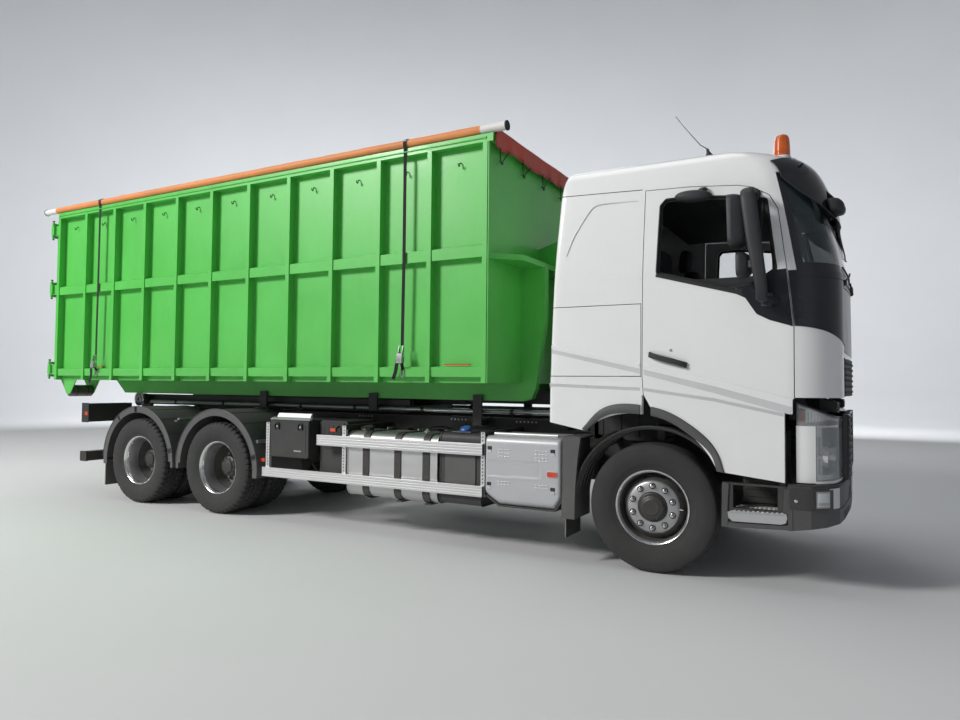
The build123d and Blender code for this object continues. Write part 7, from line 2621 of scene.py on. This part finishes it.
for sd, word in ((-1, "right"), (1, "left")):
    y = sd * 0.640
    pad(word + "_seat_cushion", (0.295, 0.255, 0.078), turned_to(P(0.185, y, 1.882), -3.0), "cab",
        seams=((1, -0.62, 0.014, 0.05), (1, 0.62, 0.014, 0.05), (0, -0.25, 0.008, 0.05), (0, 0.35, 0.008, 0.05)),
        seed=0.3 + sd, replaces=["seats"])
    pad(word + "_seat_back", (0.335, 0.245, 0.068), turned_to(P(-0.092, y, 2.305), -82.0), "cab",
        seams=((1, -0.62, 0.014, 0.05), (1, 0.62, 0.014, 0.05), (0, -0.30, 0.008, 0.05), (0, 0.35, 0.008, 0.05)),
        seed=1.3 + sd)
    pad(word + "_head_rest", (0.115, 0.135, 0.045), turned_to(P(-0.130, y, 2.755), -82.0), "cab",
        seams=((1, 0.0, 0.004, 0.06),), seed=2.1 + sd, p=4.0, cuts=18)
pad("bunk_mattress", (0.238, 1.085, 0.088), turned_to(P(-0.505, 0, 1.992), 0.0), "cab",
    seams=((1, -0.66, 0.008, 0.03), (1, -0.33, 0.008, 0.03), (1, 0.0, 0.008, 0.03), (1, 0.33, 0.008, 0.03),
           (1, 0.66, 0.008, 0.03)), seed=0.9, p=9.0, cuts=44, lump=0.006)

# seat frames, suspension and the box under the bunk
sh = Shape()
for sd in (-1, 1):
    y = sd * 0.640
    sh.prism([(-0.090, 1.800), (0.440, 1.800), (0.440, 1.772), (0.400, 1.745), (-0.060, 1.745), (-0.090, 1.772)],
             "y", y - 0.235, y + 0.235, 0)
    for k in range(5):
        z = 1.530 + 0.043 * k
        hx, hy = 0.190, 0.165
        for z0, e in ((z, 0.0), (z + 0.021, 0.018)):
            sh.box(0.165 - hx - e, 0.165 + hx + e, y - hy - e, y + hy + e, z0, z0 + 0.0215, 2)
    sh.box(-0.070, 0.400, y - 0.200, y + 0.200, 1.485, 1.532, 0)
    for e in (-0.185, 0.185):
        sh.box(-0.080, 0.420, y + e - 0.020, y + e + 0.020, 1.483, 1.500, 1)
    # back frame, recliner covers, arm rest and belt
    for e in (-0.262, 0.262):
        sh.lathe(P(-0.060, y + e - 0.012, 1.935), (0, 1, 0), [(0, 0.0), (0, 0.055), (0.024, 0.055), (0.024, 0.0)], 24, 0)
    sh.prism([(-0.150, 1.960), (-0.105, 1.960), (-0.185, 2.600), (-0.222, 2.600)], "y", y - 0.205, y + 0.205, 0)
    for e in (-0.060, 0.060):
        sh.rod(P(-0.120, y + e, 2.600), P(-0.140, y + e, 2.720), 0.007, n=10, mat=1)
    sh.prism([(-0.030, 2.165), (0.330, 2.150), (0.345, 2.180), (0.325, 2.205), (-0.030, 2.215)], "y",
             y - sd * 0.300, y - sd * 0.262, 2)
    sh.tube([P(-0.200, y + sd * 0.300, 2.640), P(-0.135, y + sd * 0.255, 2.600), P(-0.010, y + sd * 0.150, 2.420),
             P(0.010, y, 2.150), P(0.020, y - sd * 0.20, 2.000), P(0.010, y - sd * 0.275, 1.930)],
            0, 4, 2, smooth_steps=5, flat=(0.046, 0.003, (0, 0.6, 0.8)))
sh.box(-0.745, -0.275, -1.095, 1.095, 1.884, 1.902, 0)
sh.box(-0.282, -0.272, -1.095, 1.095, 1.480, 1.890, 0)
for y in (-0.85, 0.0, 0.85):
    sh.box(-0.2725, -0.266, y - 0.20, y + 0.20, 1.540, 1.840, 3)
    sh.box(-0.267, -0.261, y - 0.045, y + 0.045, 1.795, 1.815, 1)
# curtain rails and overhead lockers with their doors
for y in (-0.74, 0.0, 0.74):
    sh.box(0.792, 0.802, y - 0.33, y + 0.33, 2.985, 3.065, 3)
    sh.box(0.800, 0.806, y - 0.05, y + 0.05, 2.990, 3.000, 1)
sh.make("seat_frames_and_bunk_box", ["dark_plastic", "galvanised", "black_rubber", "cab_lining"], "cab",
        bevel=0.004, angle=45)

# dashboard: swept body, cluster hood, dials, screen, vents, switches, wheel and stalks
sh = Shape()
body = [(1.125, 1.885), (1.125, 2.286), (1.060, 2.296), (0.930, 2.284), (0.855, 2.262), (0.812, 2.225),
        (0.800, 2.170), (0.828, 2.080), (0.905, 1.990), (0.960, 1.885)]
sh.prism(body, "y", -1.115, 1.115, 0)
# wrap-round centre stack towards the driver
sh.prism([(0.960, 1.600), (0.880, 1.660), (0.802, 1.900), (0.780, 2.080), (0.776, 2.190), (0.830, 2.235),
          (0.960, 2.235)], "y", -0.080, 0.300, 0)
sh.prism([(0.772, 2.100), (0.768, 2.195), (0.780, 2.200), (0.784, 2.100)], "y", -0.045, 0.200, 1)
for k in range(5):
    y = -0.030 + 0.052 * k
    sh.box(0.779, 0.788, y - 0.019, y + 0.019, 2.040, 2.068, 2)
    sh.lathe(P(0.792, y, 1.985), (-1, 0, 0.2), [(0, 0.0), (0, 0.016), (0.012, 0.014), (0.012, 0.0)], 16, 2)
# hood over the instruments
hood = []
for k in range(15):
    a = math.pi * k / 14
    hood.append((0.620 + 0.235 * math.cos(a), 2.240 + 0.105 * math.sin(a) ** 0.8))
sh.prism(hood, "x", 0.800, 0.990, 0)
sh.prism([(0.62 + (y - 0.62) * 0.90, 2.245 + (z - 2.24) * 0.80) for y, z in hood], "x", 0.796, 0.802, 1)
for dy, r in ((-0.105, 0.048), (0.105, 0.048), (0.0, 0.028)):
    sh.lathe(P(0.797, 0.620 + dy, 2.278), (-1, 0, 0.25), [(0, r * 0.86), (0.004, r), (0.007, r), (0.007, r * 0.86)],
             28, 3, closed=True)
    sh.bar(P(0.793, 0.620 + dy, 2.278), P(0.793, 0.620 + dy + r * 0.5, 2.278 + r * 0.55), 0.002, 0.002, mat=4)
# vents
for y in (-1.00, -0.40, 0.98):
    sh.box(0.800, 0.812, y - 0.085, y + 0.085, 2.130, 2.200, 1)
    for k in range(5):
        sh.box(0.794, 0.804, y - 0.080, y + 0.080, 2.136 + 0.013 * k, 2.141 + 0.013 * k, 2)
# glove box seam and handle
sh.box(0.838, 0.846, -0.950, -0.180, 2.040, 2.046, 1)
sh.box(0.812, 0.826, -0.640, -0.500, 2.086, 2.100, 2)
# steering column, wheel and stalks
ax = Vector((0.6198, 0, -0.7848))
wc = P(0.671, 0.620, 2.276)
sh.rod(wc + ax * 0.030, wc + ax * 0.330, 0.040, 0.055, 24, 0)
ring_prof = []
for k in range(14):
    a = 2 * math.pi * k / 14
    ring_prof.append((0.0145 * math.sin(a), 0.2115 + 0.0150 * math.cos(a)))
sh.lathe(wc, ax, ring_prof, 72, 2, closed=True)
sh.lathe(wc, ax, [(-0.022, 0.0), (-0.024, 0.050), (-0.016, 0.078), (0.006, 0.085), (0.026, 0.070), (0.032, 0.0)],
         36, 0)
side_v = Vector((0, 1, 0))
up_v = ax.cross(side_v).normalized()
for a in (0.0, math.pi, math.radians(-62), math.radians(-118)):
    d = side_v * math.cos(a) + up_v * math.sin(a) * (1 if up_v.z > 0 else -1)
    sh.bar(wc + d * 0.070, wc + d * 0.204, 0.034, 0.012, up=tuple(ax), mat=2)
for e in (-1, 1):
    a = wc + ax * 0.070 + side_v * 0.050 * e
    sh.rod(a, a + side_v * 0.135 * e + Vector((-0.02, 0, 0.01)), 0.008, 0.010, 12, 2, round_end=0.003)
# pedals
for y, w in ((0.560, 0.045), (0.700, 0.055), (0.430, 0.040)):
    sh.bar(P(0.985, y, 1.560), P(0.930, y, 1.700), w * 2, 0.010, up=(1, 0, 0.4), mat=2)
    sh.rod(P(0.945, y, 1.690), P(1.040, y, 1.900), 0.009, n=10, mat=3)
sh.make("dashboard_and_wheel", ["dash_grain", "black_gloss", "dark_plastic", "galvanised", "red_lens"], "cab",
        bevel=0.003, replaces=["dashboard"], angle=40)

# -------------------------------------------------- nodes that stay as they are
for node, mat, bevel in (
        ("chassis_frame", "frame_paint", 0.003), ("lift_subframe", "frame_paint", 0.004),
        ("front_bumper", "bumper_grey", 0.006), ("headlights", "clear_cover", 0.004),
        ("step_boxes", "dark_plastic", 0.006), ("front_mudguards", "grey_plastic", 0.005),
        ("engine", "iron", 0.012), ("axles", "iron", 0.008), ("propshafts", "frame_paint", 0.003),
        ("springs", "iron", 0.003), ("side_tanks", "tank_metal", 0.004),
        ("silencer_box", "cover_silver", 0.012), ("toolbox", "dark_plastic", 0.004),
        ("toolbox_lid", "dark_plastic", 0.006), ("battery_box", "dark_plastic", 0.015),
        ("air_tanks", "frame_paint", 0.012), ("rear_mudguards", "grey_plastic", 0.006),
        ("side_guards", "rail_metal", 0.004), ("tail_beam", "frame_paint", 0.004),
        ("tail_lights", "red_lens", 0.005), ("right_knuckle", "iron", 0.003),
        ("left_knuckle", "iron", 0.003), ("cab_shell", "white_paint", 0.006),
        ("windscreen", "glass", 0.0), ("sun_visor", "black_gloss", 0.004),
        ("roof_beacon", "amber_lens", 0.006), ("dashboard", "dash_grain", 0.012),
        ("seats", "seat_cloth", 0.03), ("front_hatch", "white_paint", 0.005),
        ("right_door", "white_paint", 0.005), ("left_door", "white_paint", 0.005),
        ("right_mirrors", "dark_plastic", 0.02), ("left_mirrors", "dark_plastic", 0.02),
        ("right_locker_lid", "white_paint", 0.005), ("left_locker_lid", "white_paint", 0.005),
        ("tipping_frame", "frame_paint", 0.004), ("rear_rollers", "steel_worn", 0.004),
        ("lift_arm", "frame_paint", 0.005), ("hook_jib", "frame_paint", 0.008),
        ("lift_barrels", "frame_paint", 0.003), ("lift_rods", "rod_chrome", 0.002),
        ("tipping_barrel", "frame_paint", 0.003), ("tipping_rod", "rod_chrome", 0.002),
        ("container", "green_paint", 0.004), ("tarp", "tarp_orange", 0.003),
        ("ground_rollers", "steel_worn", 0.006), ("right_container_door", "green_paint", 0.004),
        ("left_container_door", "green_paint", 0.004)):
    if not NODES[node].hide_render:
        dress(node, mat, bevel)

# ------------------------------------------------------------------- stage
floor = Shape()
prof = [(0.0, 0.0), (0.0, 26.0), (0.25, 29.0), (1.2, 32.5), (3.2, 36.0), (6.5, 38.5),
        (11.0, 40.0), (22.0, 41.0), (36.0, 41.5)]
floor.lathe(Vector((0, 0, -0.0005)), (0, 0, 1), [(h, r) for h, r in prof], 96)
finish_mat("floor_pale", (0.66, 0.665, 0.67), 0.8, vary=0.015, scale=0.3, bump=0.0)
floor_ob = floor.make("studio_floor", ["floor_pale"], "stage", angle=60)
for p in floor_ob.data.polygons:
    p.use_smooth = True

world = bpy.data.worlds.new("studio")
bpy.context.scene.world = world
world.use_nodes = True
bg = world.node_tree.nodes["Background"]
bg.inputs["Color"].default_value = (0.86, 0.92, 1.0, 1)
bg.inputs["Strength"].default_value = 0.19


def area(name, place, target, size, power, color=(1, 1, 1), size_y=None):
    d = bpy.data.lights.new(name, "AREA")
    d.shape = "RECTANGLE"
    d.size = size
    d.size_y = size_y or size
    d.energy = power
    d.color = color
    o = bpy.data.objects.new(name, d)
    o.location = place
    o.rotation_euler = (Vector(target) - Vector(place)).to_track_quat("-Z", "Y").to_euler()
    bpy.context.scene.collection.objects.link(o)
    return o


area("key", (-9.5, -14.0, 11.0), (0.0, 0.0, 1.6), 4.0, 3100, (1.0, 0.985, 0.96))
area("fill", (12.0, -10.0, 5.0), (1.5, 0.0, 1.8), 8.0, 40, (0.93, 0.96, 1.0))
area("back", (-6.0, 14.0, 10.0), (-1.0, 0.0, 2.0), 8.0, 500, (1.0, 0.99, 0.97))
area("top", (-1.0, 0.0, 15.0), (-1.0, 0.0, 2.0), 9.0, 450)
area("wall_left", (-14.0, 12.0, 9.0), (-36.0, 20.0, 9.0), 9.0, 2800, (0.93, 0.96, 1.0))
area("wall_mid", (-8.0, 15.0, 9.0), (-20.0, 36.0, 9.0), 9.0, 2800, (0.93, 0.96, 1.0))
area("wall_right", (3.0, 16.0, 9.0), (3.0, 41.0, 9.0), 9.0, 2600, (0.93, 0.96, 1.0))

bpy.context.scene.view_settings.view_transform = "Standard"
bpy.context.scene.view_settings.look = "None"
